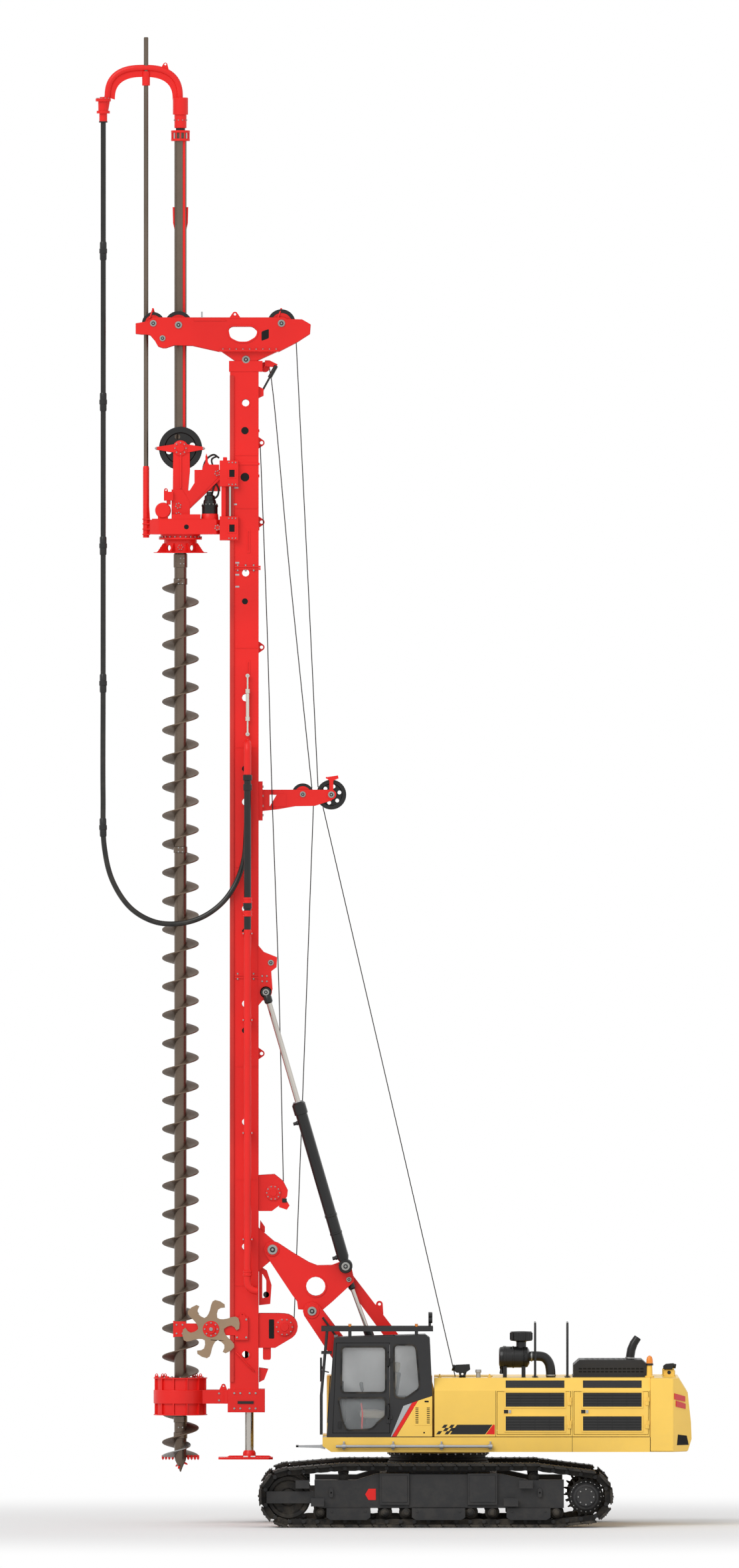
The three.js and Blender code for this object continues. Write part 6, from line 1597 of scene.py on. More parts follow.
for side in (LEFT, RIGHT):
    out = (side * 0.2445, side * 0.258)
    winch_fit.use(RED)
    winch_fit.plate([(-1.7, 4.86), (-1.62, 4.9), (-1.56, 4.8), (-1.6, 4.74), (-1.72, 4.78)], out)
    winch_fit.plate([(-2.0, 4.58), (-1.93, 4.48), (-1.93, 4.4), (-2.01, 4.4)], (side * 0.1, side * 0.12))
    winch_fit.plate([(-2.02, 3.9), (-1.9, 3.82), (-1.83, 3.6), (-1.85, 3.32), (-2.02, 3.3)],
        (side * 0.12, side * 0.14),
                    [rounded([(-1.97, 3.78), (-1.91, 3.68), (-1.91, 3.42), (-1.97, 3.4)], 0.02)])
    winch_fit.plate([(-2.02, 2.36), (-1.88, 2.34), (-1.94, 2.18), (-2.02, 2.14)],
        (side * 0.2, side * 0.22))
    winch_fit.plate(rounded([(-1.96, 2.7), (-1.84, 2.7), (-1.84, 2.48), (-1.96, 2.48)], 0.03),
        (side * 0.2, side * 0.215))
winch_fit.use(BLACK).rod((-1.91, -0.14, 3.46), (-1.91, 0.14, 3.46), 0.045, 28)
winch_fit.block((-1.67, -1.6), (-0.27, -0.245), (4.85, 4.91))
# The window in the lower winch housing is a near-black plate: painted shade in place of the opening.
winch_fit.use(SHADOW).plate(rounded([(-1.87, 3.09), (-1.79, 3.09), (-1.79, 2.8), (-1.87, 2.8)], 0.015),
    (-0.246, -0.24))
winch_fit.use(RED).pipe(smooth_line([(-2.36, -0.3, 2.59), (-2.3, -0.33, 2.53), (-2.2, -0.33, 2.42),
    (-2.09, -0.3, 2.31)], 6), 0.012, 12)
winch_fit.piece("winch_fittings", "mast", "red_paint", (), 0.002)


# ---------- concrete line and turnbuckle
# A steel delivery pipe clamped to the left of the mast. Its lower lengths are red and the upper one is
# black,
# with grooved couplings between, and a galvanised turnbuckle hangs above the return bend.
LINE_X, LINE_Y, LINE_R, RETURN_Y = -2.19, -0.57, 0.055, -0.37
BEND_TOP, BLACK_FROM = 11.77, 8.96
line_red = Build().use(RED)
bend = [(LINE_X, LINE_Y, 11.25), (LINE_X, LINE_Y, 11.55), (LINE_X, LINE_Y, 11.66),
    (LINE_X, LINE_Y + 0.03, 11.74),
        (LINE_X, -0.47, BEND_TOP), (LINE_X, RETURN_Y - 0.03, 11.74), (LINE_X, RETURN_Y, 11.66),
        (LINE_X, RETURN_Y, 11.5), (LINE_X, RETURN_Y, 11.33)]
line_red.pipe(smooth_line(bend, 6), LINE_R, 24)
line_red.rod((LINE_X, LINE_Y, 3.76), (LINE_X, LINE_Y, BLACK_FROM), LINE_R, 28)
elbow = [(LINE_X, LINE_Y, 3.78), (LINE_X, LINE_Y, 3.66), (-2.165, LINE_Y, 3.58), (-2.11, LINE_Y, 3.535),
    (-2.035, LINE_Y, 3.52)]
line_red.pipe(smooth_line(elbow, 6), LINE_R, 24)
for z in (3.79, 9.2, 9.4):
    line_red.turned((LINE_X, LINE_Y, z - 0.045), (0, 0, 1),
        [(0, 0.06), (0.008, 0.069), (0.03, 0.069), (0.036, 0.062),
                                                            (0.054, 0.062), (0.06, 0.069),
                                                                (0.082, 0.069), (0.09, 0.06)], 32)
for z in (4.3, 5.9, 7.6, 8.9):
    line_red.block((LINE_X - 0.08, LINE_X + 0.08), (LINE_Y - 0.02, -0.2803), (z - 0.025, z + 0.025))
line_red.block((LINE_X - 0.05, LINE_X + 0.05), (RETURN_Y - 0.02, -0.2803), (11.45, 11.51))
line_red.use(BLACK).rod((LINE_X, LINE_Y, BLACK_FROM), (LINE_X, LINE_Y, 11.34), LINE_R - 0.002, 28)
line_red.turned((LINE_X, LINE_Y, 11.2), (0, 0, 1),
    [(0, 0.06), (0.01, 0.069), (0.08, 0.069), (0.09, 0.06)], 32)
for z in (11.1, 9.32):
    line_red.turned((LINE_X, LINE_Y, z - 0.05), (0, 0, 1),
        [(0, 0.058), (0.01, 0.065), (0.09, 0.065), (0.1, 0.058)], 32)
line_red.use(BOLT_STEEL)
for z in (4.3, 5.9, 7.6, 8.9):
    line_red.bolts([(LINE_X + off, LINE_Y - 0.02, z) for off in (-0.065, 0.065)], (0, -1, 0), 0.012)
line_red.piece("concrete_line", "mast", "red_paint", ["concrete_pipe"], 0.001)

IVORY = finish_of("turnbuckle_zinc", (0.62, 0.60, 0.52), 0.35, metallic=0.5, tone=0.15, dust=0.08)
TURNBUCKLE_Y = -0.35
turnbuckle = Build().use(IVORY)
turnbuckle.turned((LINE_X, TURNBUCKLE_Y, 11.92), (0, 0, 1),
    [(0, 0.014), (0.18, 0.014), (0.181, 0.034), (0.24, 0.034),
                  (0.25, 0.026), (0.59, 0.026), (0.6, 0.034), (0.66, 0.034), (0.661, 0.014),
                      (0.84, 0.014)], 20)
for z in (11.9, 12.78):
    turnbuckle.use(GREY).rod((LINE_X, TURNBUCKLE_Y - 0.03, z), (LINE_X, -0.28, z), 0.016, 16)
    turnbuckle.use(IVORY).turned((LINE_X, TURNBUCKLE_Y - 0.02, z), (0, 1, 0), [(0, 0.03), (0.04, 0.03)],
        20)
turnbuckle.piece("turnbuckle", "mast", "red_paint", (), 0)


# ---------- auger guide ring
# A hinged collar at the foot of the mast that keeps the auger upright at the ground. A heavy ribbed
# band is
# welded to a thinner liner, and two arms carry it.
GUIDE_X, BORE_R, BAND_R, LINER_R = -3.202, 0.305, 0.405, 0.37
guide = Build().use(RED)
guide.turned((GUIDE_X, 0, 1.645), (0, 0, 1),
    [(0, BORE_R + 0.01), (0, LINER_R - 0.005), (0.006, LINER_R), (0.559, LINER_R),
             (0.565, LINER_R - 0.005), (0.565, BORE_R + 0.01), (0.555, BORE_R), (0.01, BORE_R)], 64, True)
guide.turned((GUIDE_X, 0, 1.82), (0, 0, 1),
    [(0, LINER_R - 0.01), (0, BAND_R - 0.006), (0.006, BAND_R), (0.199, BAND_R),
             (0.205, BAND_R - 0.006), (0.205, LINER_R - 0.01)], 64, True)
for i in range(12):
    turn = i / 12 * math.tau + 0.26
    out, across = Vector((math.cos(turn), math.sin(turn), 0)), Vector((-math.sin(turn), math.cos(turn),
        0)) * 0.009
    corners = [Vector((GUIDE_X, 0, 0)) + out * r + across * s
               for r, s in ((LINER_R - 0.005, -1), (BAND_R - 0.004, -1), (BAND_R - 0.004, 1),
                   (LINER_R - 0.005, 1))]
    guide.rings([[corner + Vector((0, 0, z)) for corner in corners] for z in (1.65, 2.2)])
for z in (1.645, 2.195):
    guide.turned((GUIDE_X, 0, z), (0, 0, 1),
        [(0, LINER_R - 0.01), (0, BAND_R), (0.015, BAND_R), (0.015, LINER_R - 0.01)], 64, True)
for x in (-3.56, -3.47, -3.43, -2.96, -2.9):
    lug = hull(circle((x, 2.25), 0.022, 16) + [(x - 0.035, 2.205), (x + 0.035, 2.205)])
    guide.plate(lug, (-0.11, -0.09), [circle((x, 2.25), 0.01, 12)])
for side in (LEFT, RIGHT):
    arm = [(GUIDE_X, 1.82), (-2.52, 1.82), (-2.4903, 1.87), (-2.4903, 1.98), (-2.52, 2.025),
        (GUIDE_X, 2.025)]
    guide.plate(arm, (side * 0.18, side * 0.23))
    lug = hull(circle((-2.555, 2.08), 0.032, 20) + [(-2.62, 2.02), (-2.5, 2.02)])
    guide.plate(lug, (side * 0.195, side * 0.215), [circle((-2.555, 2.08), 0.014, 14)])
    guide.rod((GUIDE_X + side * 0.2, side * 0.33, 2.2), (GUIDE_X + side * 0.2, side * 0.33, 2.235),
        0.03, 20)
guide.block((-2.54, -2.4903), (-0.28, 0.28), (1.82, 2.025))
guide.use(BOLT_STEEL)
guide.bolts([(-2.62, side * 0.23, z) for side in (LEFT,) for z in (1.87, 1.975)], (0, -1, 0), 0.016)
guide.bolts([(-2.62, 0.23, z) for z in (1.87, 1.975)], (0, 1, 0), 0.016)
for i in range(16):
    turn = i / 16 * math.tau
    guide.bolts([(GUIDE_X + math.cos(turn) * 0.34, math.sin(turn) * 0.34, 2.21)], (0, 0, 1), 0.012)
guide.piece("auger_guide", "mast", "red_paint", ["guide_ring"], 0.003)


# ---------- auger cleaner
# A free-turning steel star on a bracket beside the auger. Its hooked teeth roll along the flights and
# scrape
# the soil off. The star is bare, rusty-brown steel and its hub and arm are painted.
TAN = finish_of("hard_facing_tan", (0.36, 0.25, 0.16), 0.5, metallic=0.45, tone=0.25, dust=0.2,
    bump=0.5, dust_height=5)
keep_nodes(RED, "cleaner_arm", bevel=0.005)
STAR = (-2.74, 2.945)
TOOTH = ((0.195, -17), (0.25, -9), (0.31, -8), (0.35, -13), (0.385, -21), (0.425, -17), (0.44, -6),
    (0.443, 4),
         (0.415, 9), (0.36, 12), (0.29, 15), (0.235, 21), (0.2, 31))
star = []
for i in range(6):
    for r, degrees in TOOTH:
        turn = math.radians(degrees + i * 60 + 78)
        star.append((STAR[0] + r * math.cos(turn), STAR[1] + r * math.sin(turn)))
star_hub = Build().use(TAN).plate(star, (-0.35, -0.328))
star_hub.turned((STAR[0], -0.328, STAR[1]), (0, 1, 0), [(0, 0.09), (0.004, 0.09)], 32)
star_hub.use(RED)
star_hub.turned((STAR[0], -0.35, STAR[1]), (0, -1, 0),
    [(0, 0.125), (0.008, 0.12), (0.009, 0.07), (0.03, 0.066)], 40)
star_hub.use(BOLT_STEEL)
star_hub.bolts([(x, -0.358, z) for x, z in circle(STAR, 0.096, 8)], (0, -1, 0), 0.013)
star_hub.bolts([(STAR[0], -0.38, STAR[1])], (0, -1, 0), 0.03)
star_hub.piece("cleaner_star", "cleaner_wheel", "wear_steel", ["cleaner_wheel"], 0.001)
arm_fit = Build().use(BOLT_STEEL)
arm_fit.bolts([(x, -0.3225, z) for x in (-3.26, -3.17) for z in (2.88, 3.01)], (0, -1, 0), 0.014)
arm_fit.bolts([(x, -0.3225, z) for x in (-2.35, -2.21) for z in (2.82, 3.09)], (0, -1, 0), 0.016)
arm_fit.use(RED).plate(hull(circle((-2.27, 3.16), 0.03, 16) + [(-2.33, 3.11), (-2.21, 3.11)]),
    (-0.32, -0.3),
                       [circle((-2.27, 3.165), 0.012, 12)])
arm_fit.block((-3.31, -3.29), (-0.324, -0.285), (2.82, 3.07))
arm_fit.piece("cleaner_arm_fittings", "mast", "red_paint", (), 0.001)


# ---------- support jack
# The mast stands on this jack while it drills. A bright column slides in a gland at the foot of the
# mast and
# swivels on a round hub in the middle of a welded foot plate.
JACK_X = -2.165
jack = Build().use(CHROME)
jack.rod((JACK_X, 0, 1.1), (JACK_X, 0, 3.05), 0.067, 36)
jack.use(RED).turned((JACK_X, 0, 1.03), (0, 0, 1),
    [(0, 0.1), (0.05, 0.097), (0.08, 0.08), (0.085, 0.068)], 36)
foot = [(-2.63, -0.24), (-2.57, -0.3), (-1.87, -0.3), (-1.81, -0.24), (-1.81, 0.24), (-1.87, 0.3),
    (-2.57, 0.3), (-2.63, 0.24)]
jack.plate(foot, (0.98, 1.012), plane="xy")
for side in (LEFT, RIGHT):
    for along in (-1, 1):
        web = [(JACK_X + along * 0.09, 1.01), (JACK_X + along * 0.34, 1.01),
            (JACK_X + along * 0.3, 1.033), (JACK_X + along * 0.09, 1.034)]
        jack.plate(web, (side * 0.08, side * 0.1))
jack.block((JACK_X - 0.02, JACK_X + 0.02), (-0.26, 0.26), (1.01, 1.03))
jack.use(BOLT_STEEL)
for i in range(8):
    turn = i / 8 * math.tau
    jack.bolts([(JACK_X + math.cos(turn) * 0.088, math.sin(turn) * 0.088, 1.075)], (0, 0, 1), 0.009, 0.008)
jack.piece("mast_jack", "support_jack", "chrome_rod", ["support_jack"], 0.002)


# ---------- rotary head frame and pulleys
# The sled that rides the mast rails and carries the drive. Two posts hold a pair of wide pulleys for
# the crowd
# rope, with a cross guard on each, and a chromed float rod stands between the guide blocks.
keep_nodes(RED, "head_frame", bevel=0.007)
PULLEY, PULLEY_R = (-3.2, 16.205), 0.325
POST_FACE = 0.226
head_trim = Build()


def bolt_ring(build, centre, y, out, radius, count, size=0.011):
    """A shallow round pad with a ring of bolts on it."""
    build.use(RED).turned((centre[0], y, centre[1]), (0, out, 0),
        [(0, radius * 1.35), (0.008, radius * 1.3)], 32)
    build.use(BOLT_STEEL)
    build.bolts([(x, y + out * 0.008, z) for x, z in circle(centre, radius, count, 0.3)], (0, out, 0),
        size, 0.01)


for side in (LEFT, RIGHT):
    face = side * POST_FACE
    head_trim.use(RED)
    guard = [(-3.59, 16.205), (-3.565, 16.225), (-3.3, 16.265), (-3.1, 16.265), (-2.855, 16.225),
        (-2.83, 16.205),
             (-2.855, 16.185), (-3.1, 16.14), (-3.3, 16.14), (-3.565, 16.185)]
    head_trim.plate(guard, (face, face + side * 0.014))
    head_trim.turned((*[PULLEY[0]], face, PULLEY[1]), (0, side, 0),
        [(0, 0.112), (0.018, 0.112), (0.022, 0.105)], 40)
    head_trim.turned((PULLEY[0], face + side * 0.02, PULLEY[1]), (0, side, 0),
        [(0, 0.06), (0.012, 0.056)], 32)
    head_trim.plate([(-3.21, 16.1), (-3.185, 16.1), (-3.185, 15.6), (-3.21, 15.6)],
        (face, face + side * 0.02))
    head_trim.plate([(-3.335, 15.585), (-3.175, 15.585), (-3.06, 15.4), (-3.06, 14.91), (-3.335, 14.91)],
                    (face, face + side * 0.012))
    brace = [(-3.17, 15.2), (-2.62, 15.78), (-2.62, 15.96), (-2.85, 15.96), (-2.89, 15.84), (-3.17, 15.4)]
    head_trim.plate(brace, (face - side * 0.03, face + side * 0.006))
    head_trim.use(BOLT_STEEL)
    ends = [(-3.57, 16.205), (-2.85, 16.205)]
    head_trim.bolts([(x, face + side * 0.014, z) for x, z in ends], (0, side, 0), 0.018)
    head_trim.bolts([(x, face + side * 0.022, z) for x, z in circle(PULLEY, 0.084, 8)], (0, side, 0),
        0.011)
    bolt_ring(head_trim, (-3.235, 15.34), face + side * 0.012, side, 0.038, 6)
    bolt_ring(head_trim, (-3.235, 15.2), face + side * 0.012, side, 0.038, 6)
    bolt_ring(head_trim, (-2.645, 15.83), face + side * 0.006, side, 0.036, 6)
    for z0, z1 in ((14.82, 15.18), (15.63, 16.02)):
        middle = (z0 + z1) / 2
        cheek = side * 0.38
        # Each framed opening in the cheeks is a near-black block: painted shade.
        head_trim.use(SHADOW).block((-2.465, -2.385), (cheek - side * 0.002, cheek + side * 0.002),
            (middle - 0.055, middle + 0.055))
        head_trim.use(RED)
        frame = [(-2.49, middle - 0.075), (-2.36, middle - 0.075), (-2.36, middle + 0.075),
            (-2.49, middle + 0.075)]
        hole = [(-2.465, middle - 0.055), (-2.385, middle - 0.055), (-2.385, middle + 0.055),
            (-2.465, middle + 0.055)]
        head_trim.plate(frame, (cheek, cheek + side * 0.008), [hole])
        head_trim.use(BOLT_STEEL)
        for z in (z0 + 0.03, z1 - 0.03):
            head_trim.bolts([(x, cheek, z) for x in (-2.47, -2.42, -2.37)], (0, side, 0), 0.011)
    head_trim.use(CHROME).rod((-2.455, side * 0.345, 15.18), (-2.455, side * 0.345, 15.63), 0.018, 20)
    head_trim.use(RED).plate([(-2.585, 15.17), (-2.52, 15.17), (-2.52, 15.64), (-2.585, 15.64)],
        (side * 0.33, side * 0.35))
    head_trim.plate([(-2.85, 15.95), (-2.76, 15.95), (-2.79, 16.0), (-2.795, 16.08), (-2.81, 16.13),
        (-2.825, 16.08),
                     (-2.825, 16.0)], (side * 0.21, side * 0.235))
    head_trim.plate([(-2.56, 16.01), (-2.5, 16.01), (-2.5, 16.07), (-2.56, 16.07)],
        (side * 0.3, side * 0.32))
head_trim.piece("head_frame_trim", "head", "red_paint", (), 0.002)

pulleys = Build()
for side in (LEFT, RIGHT):
    sheave(pulleys, PULLEY, side * 0.14, PULLEY_R, 0.03, 0.1, BLACK, 4)
pulleys.use(CHROME).rod((PULLEY[0], -0.17, PULLEY[1]), (PULLEY[0], 0.17, PULLEY[1]), 0.04, 28)
pulleys.piece("crowd_pulleys", "head_pulleys", "sheave_steel",
    ["head_pulley_left", "head_pulley_right"], 0.0015)


# ---------- rotary drive
# A cast gear case turned by two hydraulic motors through planetary boxes. Below it hang a bolted flange, a
# throat, and a cylinder with round windows, held to its wide base ring by gusset plates.
DRILL_X, DRIVE_BORE = -3.202, 0.0935
SKIRT_WALL, SKIRT_LOW, SKIRT_TOP, BASE_RING = 0.252, 14.638, 14.775, 0.405
drive = Build().use(RED)
case = [(-3.66, -0.17), (-3.52, -0.35), (-2.66, -0.35), (-2.6103, -0.28), (-2.6103, 0.28),
    (-2.66, 0.35), (-3.52, 0.35),
        (-3.66, 0.17)]
bore = circle((DRILL_X, 0), DRIVE_BORE, 40)
drive.plate(case, (14.91, 15.13), [bore], "xy")
drive.plate(grown(case, -0.03), (15.13, 15.145), [bore], "xy")
drive.turned((DRILL_X, 0, 14.83), (0, 0, 1),
    [(0, DRIVE_BORE), (0, 0.32), (0.006, 0.325), (0.03, 0.325), (0.036, 0.3),
             (0.08, 0.3), (0.08, DRIVE_BORE)], 64, True)
drive.turned((DRILL_X, 0, 14.77), (0, 0, 1),
    [(0, DRIVE_BORE), (0, 0.25), (0.06, 0.245), (0.06, DRIVE_BORE)], 56, True)
drive.turned((DRILL_X, 0, 14.63), (0, 0, 1),
    [(0, 0.2), (0, BASE_RING), (0.01, BASE_RING), (0.014, 0.25), (0.014, 0.2)], 64, True)


def windowed_wall(build, x, radius, thick, low, high, count, hole):
    """A round wall with a row of round windows: each panel runs from its window out to its four sides."""
    steps, rows = 32, 4
    middle, half_height, half_turn = (low + high) / 2, (high - low) / 2, math.pi / count
    for panel in range(count):
        centre = panel / count * math.tau
        layers = []
        for row in range(rows + 1):
            share = row / rows
            layer = []
            for i in range(steps):
                angle = i / steps * math.tau
                reach = max(abs(math.cos(angle)), abs(math.sin(angle)))
                edge = (math.cos(angle) / reach * half_turn, math.sin(angle) / reach * half_height)
                start = (math.cos(angle) * hole / radius, math.sin(angle) * hole)
                layer.append([start[axis] + (edge[axis] - start[axis]) * share for axis in (0, 1)])
            layers.append(layer)
        for inner, outer in zip(layers, layers[1:]):
            for i in range(steps):
                j = (i + 1) % steps
                corners = [outer[i], outer[j], inner[j], inner[i]]
                for r, order in ((radius, 1), (radius - thick, -1)):
                    points = [(x + math.cos(centre + a) * r, math.sin(centre + a) * r,
                        middle + z) for a, z in corners]
                    build.faces(points, [(0, 1, 2, 3)[::order]])
        for i in range(steps):
            j = (i + 1) % steps
            points = [(x + math.cos(centre + a) * r, math.sin(centre + a) * r, middle + z)
                      for a, z in (layers[0][i], layers[0][j]) for r in (radius, radius - thick)]
            build.faces(points, [(0, 2, 3, 1)])


windowed_wall(drive, DRILL_X, SKIRT_WALL, 0.022, SKIRT_LOW, SKIRT_TOP, 8, 0.043)
for i in range(8):
    turn = (i + 0.5) / 8 * math.tau
    out, across = Vector((math.cos(turn), math.sin(turn), 0)), Vector((-math.sin(turn), math.cos(turn), 0))
    middle = Vector((DRILL_X, 0, 0))
    profile = [(SKIRT_WALL - 0.01, SKIRT_LOW), (BASE_RING - 0.02, SKIRT_LOW + 0.004),
        (BASE_RING - 0.04, SKIRT_LOW + 0.02),
               (SKIRT_WALL + 0.03, SKIRT_TOP), (SKIRT_WALL - 0.01, SKIRT_TOP)]
    near = [middle + out * r + across * 0.007 + Vector((0, 0, z)) for r, z in profile]
    far = [middle + out * r - across * 0.007 + Vector((0, 0, z)) for r, z in profile]
    count = len(profile)
    sides = [(k, k + count, (k + 1) % count + count, (k + 1) % count) for k in range(count)]
    drive.faces(near + far, [tuple(range(count)), tuple(range(2 * count - 1, count - 1, -1))] + sides)
drive.turned((DRILL_X, -SKIRT_WALL + 0.004, 14.715), (0, -1, 0), [(0, 0.05), (0.012, 0.048)], 32)
drive.use(BOLT_STEEL)
drive.bolts([(x, -SKIRT_WALL - 0.008, z) for x, z in circle((DRILL_X, 14.715), 0.036, 6)], (0, -1, 0),
    0.008)
for i in range(24):
    turn = i / 24 * math.tau
    drive.bolts([(DRILL_X + math.cos(turn) * 0.312, math.sin(turn) * 0.312, 14.866)], (0, 0, 1), 0.013,
        0.014)
for side in (LEFT, RIGHT):
    y = side * 0.205
    drive.use(RED).turned((-2.76, y, 15.12), (0, 0, 1),
        [(0, 0.13), (0.03, 0.13), (0.09, 0.125), (0.1, 0.118)], 40)
    drive.use(BLACK).turned((-2.76, y, 15.22), (0, 0, 1),
        [(0, 0.118), (0.1, 0.118), (0.11, 0.124), (0.13, 0.124),
                            (0.14, 0.1), (0.2, 0.092), (0.21, 0.08), (0.27, 0.075), (0.28, 0.05),
                                (0.33, 0.045)], 40)
    drive.use(BOLT_STEEL)
    for i in range(12):
        turn = i / 12 * math.tau
        drive.bolts([(-2.76 + math.cos(turn) * 0.108, y + math.sin(turn) * 0.108, 15.36)], (0, 0, 1),
            0.01, 0.012)
    drive.use(RED).turned((-3.465, side * 0.33, 15.27), (0, -side, 0),
        [(0, 0.104), (0.008, 0.112), (0.1, 0.118), (0.2, 0.12),
                          (0.21, 0.1)], 44)
    drive.block((-3.54, -3.39), (side * 0.14, side * 0.3), (15.12, 15.215))
    drive.block((-3.33, -2.9), (side * 0.19, side * 0.33), (15.12, 15.21))
    drive.block((-3.45, -3.31), (side * 0.2, side * 0.3), (15.42, 15.55))
    drive.rod((-3.38, side * 0.25, 15.36), (-3.38, side * 0.25, 15.45), 0.03, 20)
    eye = hull(circle((-3.42, 15.575), 0.028, 20) + [(-3.45, 15.545), (-3.39, 15.545)])
    drive.plate(eye, (side * 0.24, side * 0.26), [circle((-3.42, 15.577), 0.014, 14)])
    # A near-black disc on each side of the gear case: painted shade in place of a round opening.
    drive.use(SHADOW)
    drive.turned((-3.11, side * 0.3505, 15.02), (0, -side, 0), [(0, 0.037), (0.004, 0.037)], 32)
    drive.use(RED)
    bolt_ring(drive, (-2.645, 15.01), side * 0.35, side, 0.036, 6)
    drive.use(BLACK)
    for hose in (
        [(-2.79, y, 15.53), (-2.83, y, 15.7), (-2.86, y, 15.9), (-2.8, y, 16.05),
            (-2.7, y * 0.9, 16.11), (-2.62, y * 0.9, 16.06)],
        [(-2.73, y, 15.5), (-2.7, y, 15.62), (-2.66, y, 15.74), (-2.7, y * 0.9, 15.9),
            (-2.73, y * 0.8, 16.04), (-2.65, y * 0.8, 16.09)],
        [(-2.7, y, 15.44), (-2.64, y, 15.5), (-2.63, y, 15.6), (-2.67, y, 15.68),
            (-2.68, y * 0.8, 15.8), (-2.64, y * 0.7, 15.9)],
    ):
        drive.pipe(smooth_line(hose, 6), 0.013, 10)
drive.piece("rotary_drive_unit", "head", "red_paint", ["rotary_drive"], 0.003)


# ---------- guide pole and gooseneck
# A drawn steel pole bolted up from the gear case guides the gooseneck. The gooseneck is a bent red pipe
# with a
# plate web, a sliding sleeve on the pole, a hose flange at one end and a swivel over the drill pipe.
POLE_STEEL = finish_of("pole_steel", (0.15, 0.12, 0.095), 0.34, metallic=0.75, tone=0.2, dust=0.06,
    bump=0.1)
POLE_X, POLE_R = -3.72, 0.035
pole = Build().use(POLE_STEEL)
pole.turned((POLE_X, 0, 14.88), (0, 0, 1), [(0, POLE_R), (7.51, POLE_R), (7.52, POLE_R - 0.008)], 28)
pole.use(RED).turned((POLE_X, 0, 14.86), (0, 0, 1), [(0, 0.047), (1.05, 0.047), (1.08, 0.04)], 28)
pole.plate([(-3.72, 14.9), (-3.66, 14.9), (-3.66, 15.15), (-3.685, 15.5), (-3.69, 15.7), (-3.72, 15.7)],
    (-0.025, 0.025))
for z in (14.9, 14.98, 15.06, 15.13):
    pole.block((-3.775, -3.66), (-0.06, 0.06), (z, z + 0.018))
pole.use(BLACK_STEEL).block((-3.63, -3.612), (-0.2, 0.2), (14.95, 15.09))
pole.piece("gooseneck_pole", "head", "tool_steel", ["guide_pole"], 0.001)

NECK_LEFT, NECK_RIGHT, NECK_FOOT, NECK_TOP, NECK_R = -4.298, DRILL_X - 0.01, 21.49, 21.937, 0.048
centre_x, half_span = (NECK_LEFT + NECK_RIGHT) / 2, (NECK_RIGHT - NECK_LEFT) / 2
arch = []
for i in range(41):
    turn = math.pi - i / 40 * math.pi
    wide, tall = math.cos(turn), math.sin(turn)
    squared = (abs(wide) ** 2.6 + abs(tall) ** 2.6) ** (-1 / 2.6)
    arch.append((centre_x + wide * squared * half_span, 0,
        NECK_FOOT + tall * squared * (NECK_TOP - NECK_FOOT)))
neck = Build().use(RED).pipe([Vector(p) for p in [(-4.335, 0, 21.3)] + arch[1:] + [(NECK_RIGHT, 0,
    21.4)]], NECK_R, 28)
web = [(x * 0.985 + centre_x * 0.015, z) for x, _, z in arch] + [
    (centre_x + (x - centre_x) * 0.8, NECK_FOOT - 0.03 + (z - NECK_FOOT) * 0.76) for x, _,
        z in reversed(arch)
]
neck.plate(web, (-0.012, 0.012), [circle((-3.77, 21.78), 0.012, 14)])
neck.turned((POLE_X, 0, 21.67), (0, 0, 1),
    [(0, POLE_R), (0, 0.055), (0.006, 0.06), (0.209, 0.06), (0.215, 0.055), (0.215, POLE_R)], 36, True)
eye = hull(circle((-3.43, 21.985), 0.032, 20) + [(-3.5, 21.93), (-3.37, 21.88)])
neck.plate(eye, (-0.02, 0.02), [circle((-3.43, 21.99), 0.015, 14)])
neck.turned((-4.365, 0, 21.12), (0, 0, 1),
    [(0, 0.06), (0.13, 0.06), (0.131, 0.1), (0.17, 0.1), (0.172, 0.075),
            (0.31, 0.078), (0.312, 0.115), (0.355, 0.115), (0.357, 0.06), (0.38, 0.05)], 40)
neck.turned((DRILL_X, 0, 21.03), (0, 0, 1),
    [(0, 0.085), (0.004, 0.092), (0.2, 0.092), (0.204, 0.115), (0.452, 0.115),
            (0.46, 0.105)], 40)
neck.use(BOLT_STEEL)
for i in range(10):
    turn = i / 10 * math.tau
    neck.bolts([(-4.365 + math.cos(turn) * 0.096, math.sin(turn) * 0.096, 21.475)], (0, 0, 1), 0.011, 0.01)
    neck.bolts([(DRILL_X + math.cos(turn) * 0.094, math.sin(turn) * 0.094, 21.15)],
        (math.cos(turn), math.sin(turn), 0), 0.009, 0.008)
neck.use(BLACK).turned((-4.365, 0, 21.11), (0, 0, 1),
    [(0, 0.05), (0.005, 0.066), (0.02, 0.066), (0.025, 0.055)], 32)
neck.use(DARK).turned((DRILL_X, 0, 20.997), (0, 0, 1), [(0, 0.07), (0.035, 0.07)], 36)
neck.piece("gooseneck_pipe", "head", "red_paint", ["gooseneck"], 0.002)


